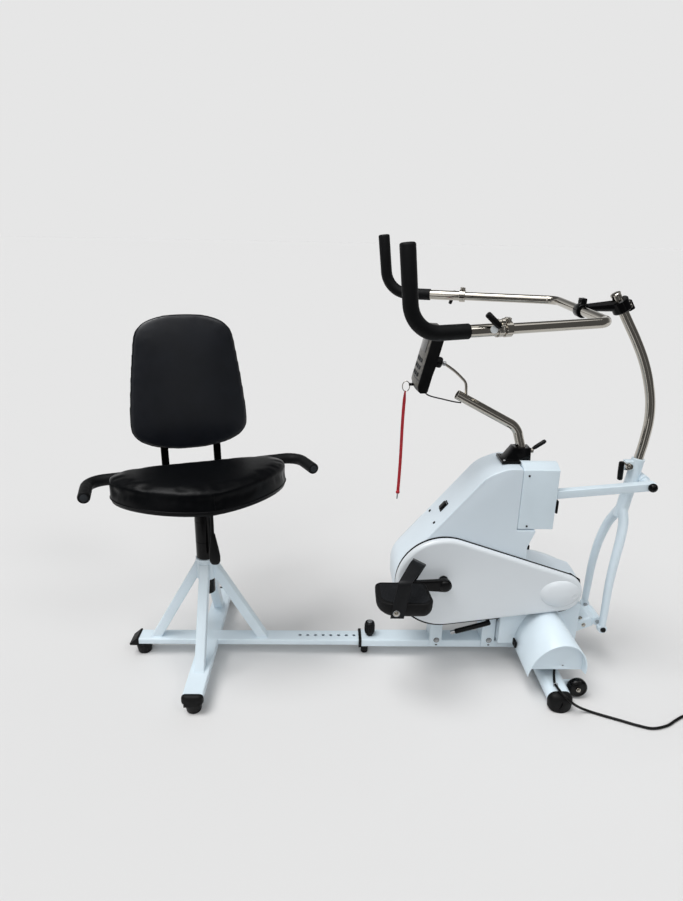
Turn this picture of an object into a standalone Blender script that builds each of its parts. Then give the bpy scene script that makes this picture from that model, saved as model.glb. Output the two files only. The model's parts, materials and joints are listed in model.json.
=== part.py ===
"""Motorized therapy bike: pedal trainer, rocking arm trainer and swivel seat on one floor rail.

Metres, +Z up, floor at Z = 0. +X runs from the seat to the arm trainer, -Y is the near side.
The rail lies on the plane Y = 0 and the origin is under the middle of the object.
"""
import math

import bmesh
import bpy
from mathutils import Matrix, Vector

# Driving dimensions
GAP = 0.0003
WALL = 0.003

RAIL_WIDTH = 0.060
RAIL_BASE = 0.038
RAIL_TOP = 0.064
RAIL_START = -0.004
RAIL_END = 0.5325
SLIDER_WIDTH = 0.054
SLIDER_BASE = 0.041
SLIDER_TOP = 0.061
SLIDER_START = -0.727
SLIDER_END = 0.210
HOLE_PITCH = 0.0254
HOLE_COUNT = 15
KNOB_X = 0.0232

SEAT_X = -0.500
SEAT_YAW = math.radians(19.0)
BEAM_REACH = 0.286
BEAM_WIDTH = 0.060
STRUT_SIZE = 0.030
STRUT_FOOT = 0.172
STRUT_HEAD = 0.030
STRUT_HEAD_Z = 0.308
COLLAR_RADIUS = 0.031
COLLAR_BASE = 0.280
COLLAR_TOP = 0.350
LIFT_RADIUS = 0.025
LIFT_BASE = 0.228
LIFT_TOP = 0.490
LIFT_ROD_RADIUS = 0.014
SHEATH_RADIUS = 0.0278
POST_TOP = 0.545
PAN_TOP = 0.5653
CUSHION_BASE = 0.566
CUSHION_SEAM = 0.067
CUSHION_CROWN = 0.080
CUSHION_HALF_WIDTH = 0.264
CUSHION_FRONT = 0.190
CUSHION_REAR = 0.072
BACK_BASE = 0.648
BACK_TOP = 1.069
BACK_REAR = 0.2250
BACK_THICKNESS = 0.046
BACK_LEAN = 0.123
HANDLE_Z = 0.595
HANDLE_BACK = 0.130
HANDLE_SIDE = 0.332
HANDLE_END = -0.003
HANDLE_TURN = math.radians(2.6)
HANDLE_SHIFT = 0.0150

STABILIZER_X = 0.569
STABILIZER_WIDTH = 0.072
STABILIZER_BASE = 0.014
STABILIZER_TOP = 0.054
STABILIZER_REACH = 0.262
WHEEL_X = 0.638
WHEEL_Y = 0.216
WHEEL_Z = 0.0335
WHEEL_RADIUS = 0.030

CASE_HALF = 0.077
CASE_BOTTOM = 0.178
FAIRING_BOTTOM = 0.2275
CASE_TOP = 0.681
CASE_BACK = 0.447
SHELF_Z = 0.486
COVER_DEPTH = 0.028
COVER_BIG = (0.2345, 0.318, 0.1465)
COVER_SMALL = (0.600, 0.285, 0.063)

CRANK_X = 0.2315
CRANK_Z = 0.332
CRANK_LENGTH = 0.120
ARM_INNER = 0.128
ARM_OUTER = 0.142
PEDAL_INNER = 0.158
PEDAL_OUTER = 0.275
PEDAL_LENGTH = 0.162
PEDAL_TOP = 0.023
PEDAL_BOTTOM = -0.028
STRAP_WIDTH = 0.045
STRAP_LEAN = math.radians(23.0)
PULLEY_RADIUS = 0.105
PULLEY_INNER = -0.018
PULLEY_OUTER = -0.040
MOTOR_X = 0.572
MOTOR_Z = 0.145
MOTOR_RADIUS = 0.044
PINION_RADIUS = 0.020
BELT_THICKNESS = 0.003

HOUSING_START = 0.4305
HOUSING_END = 0.680
HOUSING_HALF = 0.066
HOUSING_BASE = 0.080
HOOD_NEAR = -0.225
HOOD_FAR = -0.0664
HOOD_LEAN = 0.017

PIVOT_X = 0.8325
PIVOT_Z = 0.626
BAR_Y = -0.057
BAR_SIZE = 0.025
COLUMN_X = 0.8035
COLUMN_LEAN = 0.1405
MAST_RADIUS = 0.0136
ROD_END_X = 0.7555
ROD_END_Z = 0.144
ROD_END_Y = 0.072

BAR_X = 0.5775
BAR_Z = 1.124
BAR_DROP = 0.013
BAR_ROLL = math.radians(2.3)
BAR_SHIFT = 0.0063
BAR_HALF = 0.199
BAR_SPREAD = 0.325
BAR_RADIUS = 0.013
HANDLE_START_X = 0.310
ELBOW_X = 0.0685
GRIP_TOP_X = 0.048
GRIP_TOP_Z = 1.2995
FOAM_RADIUS = 0.018

CONSOLE_AXIS_X = 0.452
CONSOLE_AXIS_Z = 0.726
CONSOLE_LEAN = (-0.292, 0.0, 0.9564)
CONSOLE_TUBE = 0.014
CONSOLE_HALF = 0.070
CONSOLE_BULGE = 0.0105
TILT_X = 0.190
TILT_Z = 0.9745

CORD_RADIUS = 0.0038
COIL_X = 1.050
COIL_Y = -0.232
COIL_OUTER = 0.055
COIL_PITCH = 0.0086
COIL_STEP = 0.0084
COIL_POINTS = 24

PARTS_NAME = "motorized_therapy_bike"
TOOLS_NAME = "cutters"


def clear_scene():
    for obj in list(bpy.data.objects):
        bpy.data.objects.remove(obj)
    for name in (PARTS_NAME, TOOLS_NAME):
        group = bpy.data.collections.new(name)
        bpy.context.scene.collection.children.link(group)


def paint(name, colour, roughness, metallic=0.0):
    material = bpy.data.materials.new(name)
    material.use_nodes = True
    shader = material.node_tree.nodes["Principled BSDF"]
    shader.inputs["Base Color"].default_value = (*colour, 1.0)
    shader.inputs["Roughness"].default_value = roughness
    shader.inputs["Metallic"].default_value = metallic
    material.diffuse_color = (*colour, 1.0)
    return material


# Shapes: each gives a mesh in world coordinates

def to_mesh(bm, name="shape"):
    bmesh.ops.recalc_face_normals(bm, faces=bm.faces)
    mesh = bpy.data.meshes.new(name)
    bm.to_mesh(mesh)
    bm.free()
    return mesh


def round_edges(bm, width, segments=1, along=None, limit=30.0):
    edges = []
    for edge in bm.edges:
        if not edge.is_manifold or edge.calc_face_angle() < math.radians(limit):
            continue
        run = (edge.verts[1].co - edge.verts[0].co).normalized()
        if along is None or abs(run.dot(Vector(along))) > 0.99:
            edges.append(edge)
    bmesh.ops.bevel(bm, geom=edges, offset=width, segments=segments, profile=0.5, affect="EDGES")


def box(low, high, bevel=0.0, segments=1, along=None):
    bm = bmesh.new()
    size = [high[i] - low[i] for i in range(3)]
    middle = [(high[i] + low[i]) / 2 for i in range(3)]
    bmesh.ops.create_cube(bm, size=1.0, matrix=Matrix.Translation(middle) @ Matrix.Diagonal((*size, 1.0)))
    if bevel:
        round_edges(bm, bevel, segments, along)
    return to_mesh(bm)


def frame_along(start, end, up=(0, 0, 1)):
    """Matrix at the middle of start-end whose Z runs along it and whose Y leans to up."""
    start = Vector(start)
    end = Vector(end)
    z_axis = (end - start).normalized()
    x_axis = Vector(up).cross(z_axis)
    if x_axis.length < 1e-4:
        x_axis = Vector((1, 0, 0)).cross(z_axis)
    x_axis.normalize()
    y_axis = z_axis.cross(x_axis)
    turn = Matrix((x_axis, y_axis, z_axis)).transposed().to_4x4()
    return Matrix.Translation((start + end) / 2) @ turn


def bar(start, end, width, height, bevel=0.0, up=(0, 0, 1)):
    """Square-edged bar from start to end; height is measured towards up."""
    length = (Vector(end) - Vector(start)).length
    bm = bmesh.new()
    bmesh.ops.create_cube(bm, size=1.0, matrix=Matrix.Diagonal((width, height, length, 1.0)))
    if bevel:
        round_edges(bm, bevel)
    bmesh.ops.transform(bm, matrix=frame_along(start, end, up), verts=bm.verts)
    return to_mesh(bm)


def rod(start, end, radius, radius_end=None, sides=16, bevel=0.0, segments=1):
    length = (Vector(end) - Vector(start)).length
    bm = bmesh.new()
    bmesh.ops.create_cone(bm, cap_ends=True, segments=sides, radius1=radius,
                          radius2=radius if radius_end is None else radius_end, depth=length)
    if bevel:
        round_edges(bm, bevel, segments, limit=50.0)
    bmesh.ops.transform(bm, matrix=frame_along(start, end), verts=bm.verts)
    return to_mesh(bm)


def ball(centre, radii, segments=16, rings=10):
    bm = bmesh.new()
    place = Matrix.Translation(centre) @ Matrix.Diagonal((*radii, 1.0))
    bmesh.ops.create_uvsphere(bm, u_segments=segments, v_segments=rings, radius=1.0, matrix=place)
    return to_mesh(bm)


def curve_mesh(curve):
    holder = bpy.data.objects.new("curve", curve)
    bpy.context.scene.collection.objects.link(holder)
    bpy.context.view_layer.update()
    evaluated = holder.evaluated_get(bpy.context.evaluated_depsgraph_get())
    mesh = bpy.data.meshes.new_from_object(evaluated)
    bpy.data.objects.remove(holder)
    bpy.data.curves.remove(curve)
    bm = bmesh.new()
    bm.from_mesh(mesh)
    bpy.data.meshes.remove(mesh)
    bmesh.ops.remove_doubles(bm, verts=bm.verts, dist=0.00001)
    return bm


def tube(points, radius, resolution=4, radii=None, closed=False):
    """Round tube through the points, with a factor of the radius at each if radii is given."""
    curve = bpy.data.curves.new("tube", "CURVE")
    curve.dimensions = "3D"
    curve.bevel_depth = radius
    curve.bevel_resolution = resolution
    curve.use_fill_caps = True
    spline = curve.splines.new("POLY")
    spline.points.add(len(points) - 1)
    for index, point in enumerate(points):
        spline.points[index].co = (*point, 1.0)
        if radii:
            spline.points[index].radius = radii[index]
    spline.use_cyclic_u = closed
    return to_mesh(curve_mesh(curve))


def prism(outline, low_y, high_y, bevel=0.0, segments=1):
    """Flat outline of (x, z) points, extruded from low_y to high_y."""
    curve = bpy.data.curves.new("outline", "CURVE")
    curve.dimensions = "2D"
    curve.fill_mode = "BOTH"
    curve.extrude = (high_y - low_y) / 2
    spline = curve.splines.new("POLY")
    spline.points.add(len(outline) - 1)
    for index, (x, z) in enumerate(outline):
        spline.points[index].co = (x, z, 0.0, 1.0)
    spline.use_cyclic_u = True
    bm = curve_mesh(curve)
    bmesh.ops.dissolve_limit(bm, angle_limit=math.radians(1.0), verts=bm.verts, edges=bm.edges)
    stand = Matrix.Translation((0, (low_y + high_y) / 2, 0)) @ Matrix.Rotation(math.radians(90.0), 4, "X")
    bmesh.ops.transform(bm, matrix=stand, verts=bm.verts)
    if bevel:
        rim = [edge for edge in bm.edges
               if abs(edge.verts[0].co.y - edge.verts[1].co.y) < 1e-6 and edge.calc_face_angle() > 1.0]
        bmesh.ops.bevel(bm, geom=rim, offset=bevel, segments=segments, profile=0.5, affect="EDGES")
    return to_mesh(bm)


def loft(rings):
    """Skin through closed rings with the same number of points, capped at both ends."""
    bm = bmesh.new()
    rows = [[bm.verts.new(point) for point in ring] for ring in rings]
    count = len(rows[0])
    for lower, upper in zip(rows, rows[1:]):
        for index in range(count):
            after = (index + 1) % count
            bm.faces.new((lower[index], lower[after], upper[after], upper[index]))
    bm.faces.new(rows[0])
    bm.faces.new(rows[-1])
    return to_mesh(bm)


# Outlines and routes

def fillet(corners, steps=3, closed=True):
    """Corners (a, b, radius) in a plane, or (a, b, c, radius) in space, with each one rounded."""
    result = []
    count = len(corners)
    for index, corner in enumerate(corners):
        here = Vector(corner[:-1])
        radius = corner[-1]
        if radius <= 0 or (not closed and index in (0, count - 1)):
            result.append(tuple(here))
            continue
        back = (Vector(corners[index - 1][:-1]) - here).normalized()
        ahead = (Vector(corners[(index + 1) % count][:-1]) - here).normalized()
        turn = math.pi - back.angle(ahead)
        reach = radius * math.tan(turn / 2)
        middle = (back + ahead).normalized() * (radius / math.cos(turn / 2))
        start = back * reach - middle
        end = ahead * reach - middle
        for step in range(steps + 1):
            part = step / steps
            spoke = start * math.sin((1 - part) * turn) + end * math.sin(part * turn)
            result.append(tuple(here + middle + spoke / math.sin(turn)))
    return result


def inset(corners, shift):
    """Corners (x, z, radius) listed clockwise, moved so that every edge lies further in by shift."""
    result = []
    count = len(corners)
    for index, (x, z, radius) in enumerate(corners):
        before = corners[index - 1]
        after = corners[(index + 1) % count]
        enter = Vector((x - before[0], z - before[1])).normalized()
        leave = Vector((after[0] - x, after[1] - z)).normalized()
        first = Vector((enter.y, -enter.x))
        second = Vector((leave.y, -leave.x))
        move = (first + second) * (shift / (1 + first.dot(second)))
        convex = enter.x * leave.y - enter.y * leave.x < 0
        result.append((x + move.x, z + move.y, max(0.0, radius - shift) if convex else radius + shift))
    return result


def smooth_route(knots, step):
    """Points about one step apart on a Catmull-Rom curve through the knots."""
    knots = [Vector(knot) for knot in knots]
    ends = [knots[0] * 2 - knots[1]] + knots + [knots[-1] * 2 - knots[-2]]
    points = [knots[0]]
    for before, start, end, after in zip(ends, ends[1:], ends[2:], ends[3:]):
        pieces = max(1, round((end - start).length / step))
        for piece in range(1, pieces + 1):
            t = piece / pieces
            pull = (end - before) * t + (before * 2 - start * 5 + end * 4 - after) * t ** 2
            curl = (start * 3 - before - end * 3 + after) * t ** 3
            points.append(start + (pull + curl) * 0.5)
    return [tuple(point) for point in points]


def circle_pair(big, small, shrink=0.0, steps=10):
    """Outline of a belt round two circles (x, z, radius) in the XZ plane."""
    apart = math.hypot(small[0] - big[0], small[1] - big[1])
    lean = math.atan2(small[1] - big[1], small[0] - big[0])
    tilt = math.acos((big[2] - small[2]) / apart)
    outline = []
    sweeps = ((big, lean + tilt, lean + 2 * math.pi - tilt), (small, lean - tilt, lean + tilt))
    for centre, start, end in sweeps:
        for step in range(steps + 1):
            angle = start + (end - start) * step / steps
            radius = centre[2] - shrink
            outline.append((centre[0] + radius * math.cos(angle), centre[1] + radius * math.sin(angle)))
    return outline


def seat_turned(mesh):
    """Turns a mesh made with +X across and -Y ahead of the lift column into the seat's frame."""
    mesh.transform(Matrix.Translation((SEAT_X, 0, 0)) @ Matrix.Rotation(SEAT_YAW, 4, "Z"))
    return mesh


def stem_turned(mesh):
    """Turns a mesh about the handlebar stem, which sits slightly rolled in its clamp."""
    pin = Matrix.Translation((0, 0, BAR_Z))
    mesh.transform(pin @ Matrix.Rotation(BAR_ROLL, 4, "X") @ pin.inverted())
    return mesh


def stem_point(point):
    """Place of a point after that turn."""
    height = point[2] - BAR_Z
    return (point[0], point[1] * math.cos(BAR_ROLL) - height * math.sin(BAR_ROLL),
            BAR_Z + point[1] * math.sin(BAR_ROLL) + height * math.cos(BAR_ROLL))


def column_point(height):
    return (COLUMN_X + (height - PIVOT_Z) * COLUMN_LEAN, 0.0, height)


# Objects

def add(name, material, shapes, cuts=(), inside=(), origin=(0.0, 0.0, 0.0), smooth=40.0):
    """One node: shapes joined, less the cuts, joined with what stands inside; its origin is on its joint."""
    parts = bpy.data.collections[PARTS_NAME]
    tools = bpy.data.collections[TOOLS_NAME]
    node = bpy.data.objects.new(name, shapes[0])
    shapes[0].name = name
    shapes[0].transform(Matrix.Translation(-Vector(origin)))
    node.location = origin
    shapes[0].materials.append(material)
    shapes[0].shade_smooth()
    shapes[0].set_sharp_from_angle(angle=math.radians(smooth))
    parts.objects.link(node)
    steps = [("UNION", shape) for shape in shapes[1:]] + [("DIFFERENCE", cut) for cut in cuts]
    steps += [("UNION", shape) for shape in inside]
    for index, (operation, mesh) in enumerate(steps):
        tool = bpy.data.objects.new(f"{name}_tool_{index + 1}", mesh)
        tool.hide_render = True
        tool.display_type = "WIRE"
        mesh.materials.append(material)
        tools.objects.link(tool)
        modifier = node.modifiers.new(f"{operation.lower()}_{index + 1}", "BOOLEAN")
        modifier.operation = operation
        modifier.solver = "EXACT"
        modifier.object = tool
    return node


def materials():
    return {
        "white_paint": paint("white_paint", (0.80, 0.83, 0.85), 0.35),
        "white_plastic": paint("white_plastic", (0.78, 0.81, 0.84), 0.4),
        "black_plastic": paint("black_plastic", (0.015, 0.015, 0.017), 0.45),
        "black_steel": paint("black_steel", (0.02, 0.02, 0.022), 0.35, 0.3),
        "rubber": paint("rubber", (0.02, 0.02, 0.02), 0.7),
        "foam": paint("foam", (0.018, 0.018, 0.02), 0.85),
        "leatherette": paint("leatherette", (0.02, 0.022, 0.028), 0.5),
        "chrome": paint("chrome", (0.75, 0.76, 0.78), 0.08, 1.0),
        "steel": paint("steel", (0.55, 0.56, 0.58), 0.3, 1.0),
        "red_webbing": paint("red_webbing", (0.45, 0.02, 0.03), 0.7),
    }


# Floor rail and seat base

def main_rail(paints):
    half = RAIL_WIDTH / 2
    cavity = (SLIDER_WIDTH / 2 + GAP, SLIDER_BASE - GAP, SLIDER_TOP + GAP)
    shell = box((RAIL_START, -half, RAIL_BASE), (RAIL_END, half, RAIL_TOP), 0.004, 1, (1, 0, 0))
    inside = box((RAIL_START - 0.01, -cavity[0], cavity[1]), (RAIL_END + 0.01, cavity[0], cavity[2]))
    pin_hole = rod((KNOB_X, 0, SLIDER_TOP - 0.005), (KNOB_X, 0, RAIL_TOP + 0.01), 0.0052, sides=10)
    add("main_rail", paints["white_paint"], [shell], [inside, pin_hole])


def rail_collar(paints):
    """Plastic mouthpiece of the outer rail, in one piece with the small foot under it."""
    back = RAIL_START - GAP
    front = back - 0.009
    ring = box((front, -0.033, 0.0355), (back, 0.033, 0.0665), 0.0025, 2, (1, 0, 0))
    web = box((front + 0.001, -0.012, 0.026), (0.008, 0.012, RAIL_BASE - GAP))
    foot = rod((0.0075, 0, 0), (0.0075, 0, 0.034), 0.0115, 0.0125, 14, 0.002)
    mouth = box((front - 0.01, -SLIDER_WIDTH / 2 - 0.0006, SLIDER_BASE - 0.0006),
                (back + 0.0001, SLIDER_WIDTH / 2 + 0.0006, SLIDER_TOP + 0.0006))
    add("rail_collar", paints["rubber"], [ring, web, foot], [mouth])


def rail_knob(paints):
    """Pull knob over the rail, with its pin stored just above the slider."""
    head = rod((KNOB_X, 0, 0.080), (KNOB_X, 0, 0.114), 0.017, sides=16, bevel=0.003)
    neck = rod((KNOB_X, 0, RAIL_TOP + GAP), (KNOB_X, 0, 0.082), 0.010, sides=14)
    pin = rod((KNOB_X, 0, SLIDER_TOP + GAP), (KNOB_X, 0, 0.070), 0.0048, sides=10)
    add("rail_knob", paints["black_plastic"], [head, neck, pin], origin=(KNOB_X, 0, RAIL_TOP))


def seat_base_frame(paints):
    half = SLIDER_WIDTH / 2
    slider = box((SLIDER_START, -half, SLIDER_BASE), (SLIDER_END, half, SLIDER_TOP), 0.004, 1, (1, 0, 0))
    beam_low = SEAT_X - BEAM_WIDTH / 2
    beam = box((beam_low, -BEAM_REACH, SLIDER_BASE - 0.004),
               (beam_low + BEAM_WIDTH, BEAM_REACH, SLIDER_TOP - 0.0002), 0.004, 2, (0, 1, 0))
    hollow = box((SLIDER_START + 0.02, -half + 0.0025, SLIDER_BASE + 0.0025),
                 (SLIDER_END + 0.01, half - 0.0025, SLIDER_TOP - 0.0025))
    holes = []
    for index in range(HOLE_COUNT):
        x = KNOB_X + (index - 9) * HOLE_PITCH
        holes.append(rod((x, 0, SLIDER_TOP - 0.006), (x, 0, SLIDER_TOP + 0.004), 0.0055, sides=6))
    cuts = [hollow] + holes
    add("seat_base_frame", paints["white_paint"], [slider, beam], cuts, origin=(SEAT_X, 0, SLIDER_TOP))


def seat_trestle(paints):
    """Four struts that rise from the crossing bars to the lift column's collar."""
    collar = rod((SEAT_X, 0, COLLAR_BASE), (SEAT_X, 0, COLLAR_TOP), COLLAR_RADIUS, sides=16)
    rise = (STRUT_HEAD_Z - SLIDER_TOP) / (STRUT_FOOT - STRUT_HEAD)
    struts = []
    for index in range(4):
        angle = index * math.pi / 2
        ends = []
        for reach in (STRUT_FOOT + 0.025, STRUT_HEAD - 0.012):
            ends.append((SEAT_X + reach * math.cos(angle), reach * math.sin(angle),
                         SLIDER_TOP + (STRUT_FOOT - reach) * rise))
        side = (-math.sin(angle), math.cos(angle), 0)
        struts.append(bar(ends[0], ends[1], STRUT_SIZE, STRUT_SIZE, 0.003, side))
    floor_cut = box((SEAT_X - 0.3, -0.3, 0.0), (SEAT_X + 0.3, 0.3, SLIDER_TOP + GAP))
    top_cut = box((SEAT_X - 0.1, -0.1, COLLAR_TOP), (SEAT_X + 0.1, 0.1, COLLAR_TOP + 0.1))
    bore = rod((SEAT_X, 0, 0.1), (SEAT_X, 0, 0.5), LIFT_RADIUS + GAP, sides=16)
    add("seat_trestle", paints["white_paint"], [collar] + struts, [floor_cut, top_cut, bore])


def rail_end_foot(paints):
    """Rubber foot under the rail's free end, in one piece with the wedge that caps it."""
    cap_outline = [(-0.757, 0.043), (-0.755, 0.038), (-0.7275, 0.038), (-0.7275, 0.0635), (-0.733, 0.0635)]
    cap = prism(cap_outline, -0.029, 0.029)
    web = box((-0.735, -0.024, 0.034), (-0.69, 0.024, SLIDER_BASE - GAP))
    foot = rod((-0.717, 0, 0), (-0.717, 0, 0.036), 0.0215, 0.0265, 16, 0.004)
    add("rail_end_foot", paints["rubber"], [foot, web, cap])


def beam_feet(paints):
    for name, side in (("beam_foot_near", -1), ("beam_foot_far", 1)):
        inner = side * (BEAM_REACH + GAP)
        outer = side * (BEAM_REACH + 0.016)
        half = BEAM_WIDTH / 2 + 0.002
        cap = box((SEAT_X - half, min(inner, outer), 0.033), (SEAT_X + half, max(inner, outer), 0.0635), 0.004)
        centre = side * 0.2755
        web = box((SEAT_X - 0.024, min(centre, outer), 0.028), (SEAT_X + 0.024, max(centre, outer), 0.0367))
        foot = rod((SEAT_X, centre, 0), (SEAT_X, centre, 0.034), 0.021, 0.026, 16, 0.004)
        add(name, paints["rubber"], [foot, web, cap])


def gas_cylinder(paints):
    outer = rod((SEAT_X, 0, LIFT_BASE), (SEAT_X, 0, LIFT_TOP), LIFT_RADIUS, sides=16, bevel=0.0015)
    bore = rod((SEAT_X, 0, LIFT_BASE + 0.012), (SEAT_X, 0, LIFT_TOP + 0.01), LIFT_ROD_RADIUS + GAP, sides=16)
    add("gas_cylinder", paints["black_steel"], [outer], [bore])


def seat_post(paints):
    """Telescopic sheath over the lift column, with the piston rod inside it."""
    foot = COLLAR_TOP + 0.0012
    sheath = rod((SEAT_X, 0, foot), (SEAT_X, 0, POST_TOP), SHEATH_RADIUS, sides=16, bevel=0.001)
    inside = rod((SEAT_X, 0, foot - 0.01), (SEAT_X, 0, POST_TOP - 0.02), LIFT_RADIUS + 0.0006, sides=16)
    piston = rod((SEAT_X, 0, 0.300), (SEAT_X, 0, POST_TOP - 0.010), LIFT_ROD_RADIUS, sides=16)
    add("seat_post", paints["black_steel"], [sheath], [inside], [piston], origin=(SEAT_X, 0, POST_TOP))


# Seat

def cushion_outline(count, scale):
    """Plan of the seat cushion: flat superellipse behind, a slight point in front."""
    outline = []
    for index in range(count):
        angle = 2 * math.pi * index / count
        across = math.cos(angle)
        ahead = math.sin(angle)
        power = 1.6 if ahead > 0 else 3.4
        depth = CUSHION_FRONT if ahead > 0 else CUSHION_REAR
        x = CUSHION_HALF_WIDTH * math.copysign(abs(across) ** (2 / power), across)
        y = depth * math.copysign(abs(ahead) ** (2 / power), ahead)
        outline.append((x * scale, y * scale))
    return outline


def backrest_half_width(height):
    """Half width of the backrest at a height above its bottom edge, wide low down and narrow on top."""
    whole = BACK_TOP - BACK_BASE
    share = height / whole
    straight = 0.190 - 0.048 * share ** 1.6
    low = min(1.0, height / 0.105)
    high = min(1.0, (whole - height) / 0.075)
    return straight * (1 - (1 - low) ** 2.4) ** 0.5 * (1 - (1 - high) ** 2.6) ** 0.42


# Rim profile of a cushion: share of the outline, share of the thickness
PILLOW_PROFILE = ((0.45, 0.0), (0.80, 0.0), (0.945, 0.02), (0.985, 0.10), (0.975, 0.28), (0.970, 0.50),
                  (0.985, 0.72), (1.0, 0.84), (0.975, 0.90), (0.88, 0.955), (0.66, 0.985), (0.35, 1.0))


def seat_cushion(paints):
    rings = []
    for share, rise in PILLOW_PROFILE:
        height = CUSHION_BASE + rise * CUSHION_CROWN
        rings.append([(x, -y, height) for x, y in cushion_outline(38, share)])
    add("seat_cushion", paints["leatherette"], [seat_turned(loft(rings))], origin=(SEAT_X, 0, CUSHION_BASE))


def back_outline(count):
    """Closed outline (across, up) of the backrest, evenly spaced in angle."""
    whole = BACK_TOP - BACK_BASE
    outline = []
    for index in range(count):
        angle = 2 * math.pi * index / count
        height = whole / 2 * (1 - math.cos(angle))
        side = 1 if index <= count / 2 else -1
        outline.append((side * backrest_half_width(min(max(height, 0.0001), whole - 0.0001)), height))
    return outline


def backrest(paints):
    plan = back_outline(32)
    middle = (BACK_TOP - BACK_BASE) / 2
    rings = []
    for share, rise in PILLOW_PROFILE:
        ring = []
        for across, up in plan:
            height = middle + (up - middle) * share
            behind = BACK_REAR + BACK_LEAN * height - rise * BACK_THICKNESS
            ring.append((across * share * (0.955 + 0.045 * rise), behind, BACK_BASE + height))
        rings.append(ring)
    add("backrest", paints["leatherette"], [seat_turned(loft(rings))], origin=(SEAT_X, 0, CUSHION_BASE))


def seat_frame(paints):
    """Pan under the cushion with the two flat bars that carry the backrest and the handle bar."""
    pan = box((-0.10, -0.12, 0.557), (0.10, 0.066, PAN_TOP), 0.002)
    hub = rod((0, 0, POST_TOP + GAP), (0, 0, 0.559), 0.036, sides=16)
    pieces = [pan, hub]
    for side in (-1, 1):
        across = side * 0.085
        foot = BACK_REAR + GAP + 0.003 + BACK_LEAN * (0.5600 - BACK_BASE)
        head = BACK_REAR + GAP + 0.003 + BACK_LEAN * (0.800 - BACK_BASE)
        pieces.append(bar((across, 0.0, 0.5600), (across, foot + 0.002, 0.5600), 0.024, 0.006))
        pieces.append(bar((across, foot, 0.5580), (across, head, 0.800), 0.024, 0.006, up=(0, 1, 0)))
        pieces.append(box((across - 0.010, HANDLE_BACK - 0.008, 0.560),
                          (across + 0.010, HANDLE_BACK + 0.008, HANDLE_Z - 0.0143)))
    shapes = [seat_turned(piece) for piece in pieces]
    add("seat_frame", paints["black_steel"], shapes, origin=(SEAT_X, 0, POST_TOP))


def seat_handle_bar(paints):
    """Tube behind the cushion that turns forward on both sides, with foam over its ends."""
    corners = [(0.14, HANDLE_BACK, HANDLE_Z, 0), (HANDLE_SIDE, HANDLE_BACK, HANDLE_Z, 0.055),
               (HANDLE_SIDE + 0.0135, -HANDLE_END, HANDLE_Z, 0)]
    route = fillet(corners, 6, closed=False)
    right = tube(route, FOAM_RADIUS, 3)
    left = tube([(-x, y, z) for x, y, z in route], FOAM_RADIUS, 3)
    middle = rod((-0.15, HANDLE_BACK, HANDLE_Z), (0.15, HANDLE_BACK, HANDLE_Z), 0.014, sides=10)
    seat_side = Matrix.Translation((HANDLE_SHIFT, 0, 0)) @ Matrix.Rotation(HANDLE_TURN, 4, "Z")
    shapes = [middle, left, right]
    for shape in shapes:
        shape.transform(seat_side)
        seat_turned(shape)
    add("seat_handle_bar", paints["foam"], shapes, origin=(SEAT_X, 0, HANDLE_Z))


def seat_lever(paints):
    top = (-0.4655, -0.046, 0.551)
    stem = rod(top, (-0.4645, -0.052, 0.440), 0.005, sides=10)
    paddle = bar((-0.4635, -0.0520, 0.455), (-0.4600, -0.0560, 0.352), 0.026, 0.012, 0.0035, up=(0, 1, 0))
    head = rod((-0.4755, -0.046, 0.550), (-0.4555, -0.046, 0.550), 0.006, sides=10)
    add("seat_lever", paints["black_plastic"], [paddle, stem, head], origin=(-0.4655, -0.046, 0.550))


# Drive unit

def drive_chassis(paints):
    """Two rail brackets, each with a saddle over the rail and a flange under the casing."""
    half = RAIL_WIDTH / 2 + GAP
    top = CASE_BOTTOM - GAP
    front = box((0.217, -half - 0.004, 0.044), (0.256, half + 0.004, top))
    rear = box((0.386, -half - 0.004, 0.044), (0.428, half + 0.004, top))
    plate = box((0.230, -0.031, 0.140), (0.400, 0.031, 0.150))
    front_flange = box((0.217, -CASE_HALF, top - 0.006), (0.256, CASE_HALF, top))
    rear_flange = box((0.386, 0.0, top - 0.006), (0.428, CASE_HALF, top))
    saddle = box((0.2, -half, 0.03), (0.44, half, RAIL_TOP + GAP))
    belt_slot = box((0.36, -0.050, 0.1505), (0.45, -0.008, 0.2))
    shapes = [front, rear, plate, front_flange, rear_flange]
    add("drive_chassis", paints["white_paint"], shapes, [saddle, belt_slot])


def stabilizer(paints):
    """Flat-oval cross tube of the drive side, with an ear and a pin for each transport wheel."""
    half = STABILIZER_WIDTH / 2
    round_off = (STABILIZER_TOP - STABILIZER_BASE) / 2 - 0.0005
    body = box((STABILIZER_X - half, -STABILIZER_REACH, STABILIZER_BASE),
               (STABILIZER_X + half, STABILIZER_REACH, STABILIZER_TOP), round_off, 5, (0, 1, 0))
    shapes = [body]
    for side in (-1, 1):
        ear_in = side * (WHEEL_Y - 0.019)
        ear_out = side * (WHEEL_Y - 0.014)
        low, high = sorted((ear_in, ear_out))
        ear = [(0.590, 0.020, 0), (0.590, 0.048, 0), (0.652, 0.046, 0.011), (0.652, 0.021, 0.011)]
        shapes.append(prism(fillet(ear), low, high))
        pin_in = side * (WHEEL_Y - 0.016)
        pin_out = side * (WHEEL_Y + 0.0125)
        shapes.append(rod((WHEEL_X, pin_in, WHEEL_Z), (WHEEL_X, pin_out, WHEEL_Z), 0.0045, sides=10))
    add("stabilizer_beam", paints["white_paint"], shapes)
    for name, side in (("stabilizer_cap_near", -1), ("stabilizer_cap_far", 1)):
        inner = side * (STABILIZER_REACH + GAP)
        outer = side * (STABILIZER_REACH + 0.026)
        low, high = sorted((inner, outer))
        wide = half + 0.003
        cap = box((STABILIZER_X - wide, low, 0.0), (STABILIZER_X + wide, high, 0.0575), 0.012, 3)
        add(name, paints["rubber"], [cap])


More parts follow.
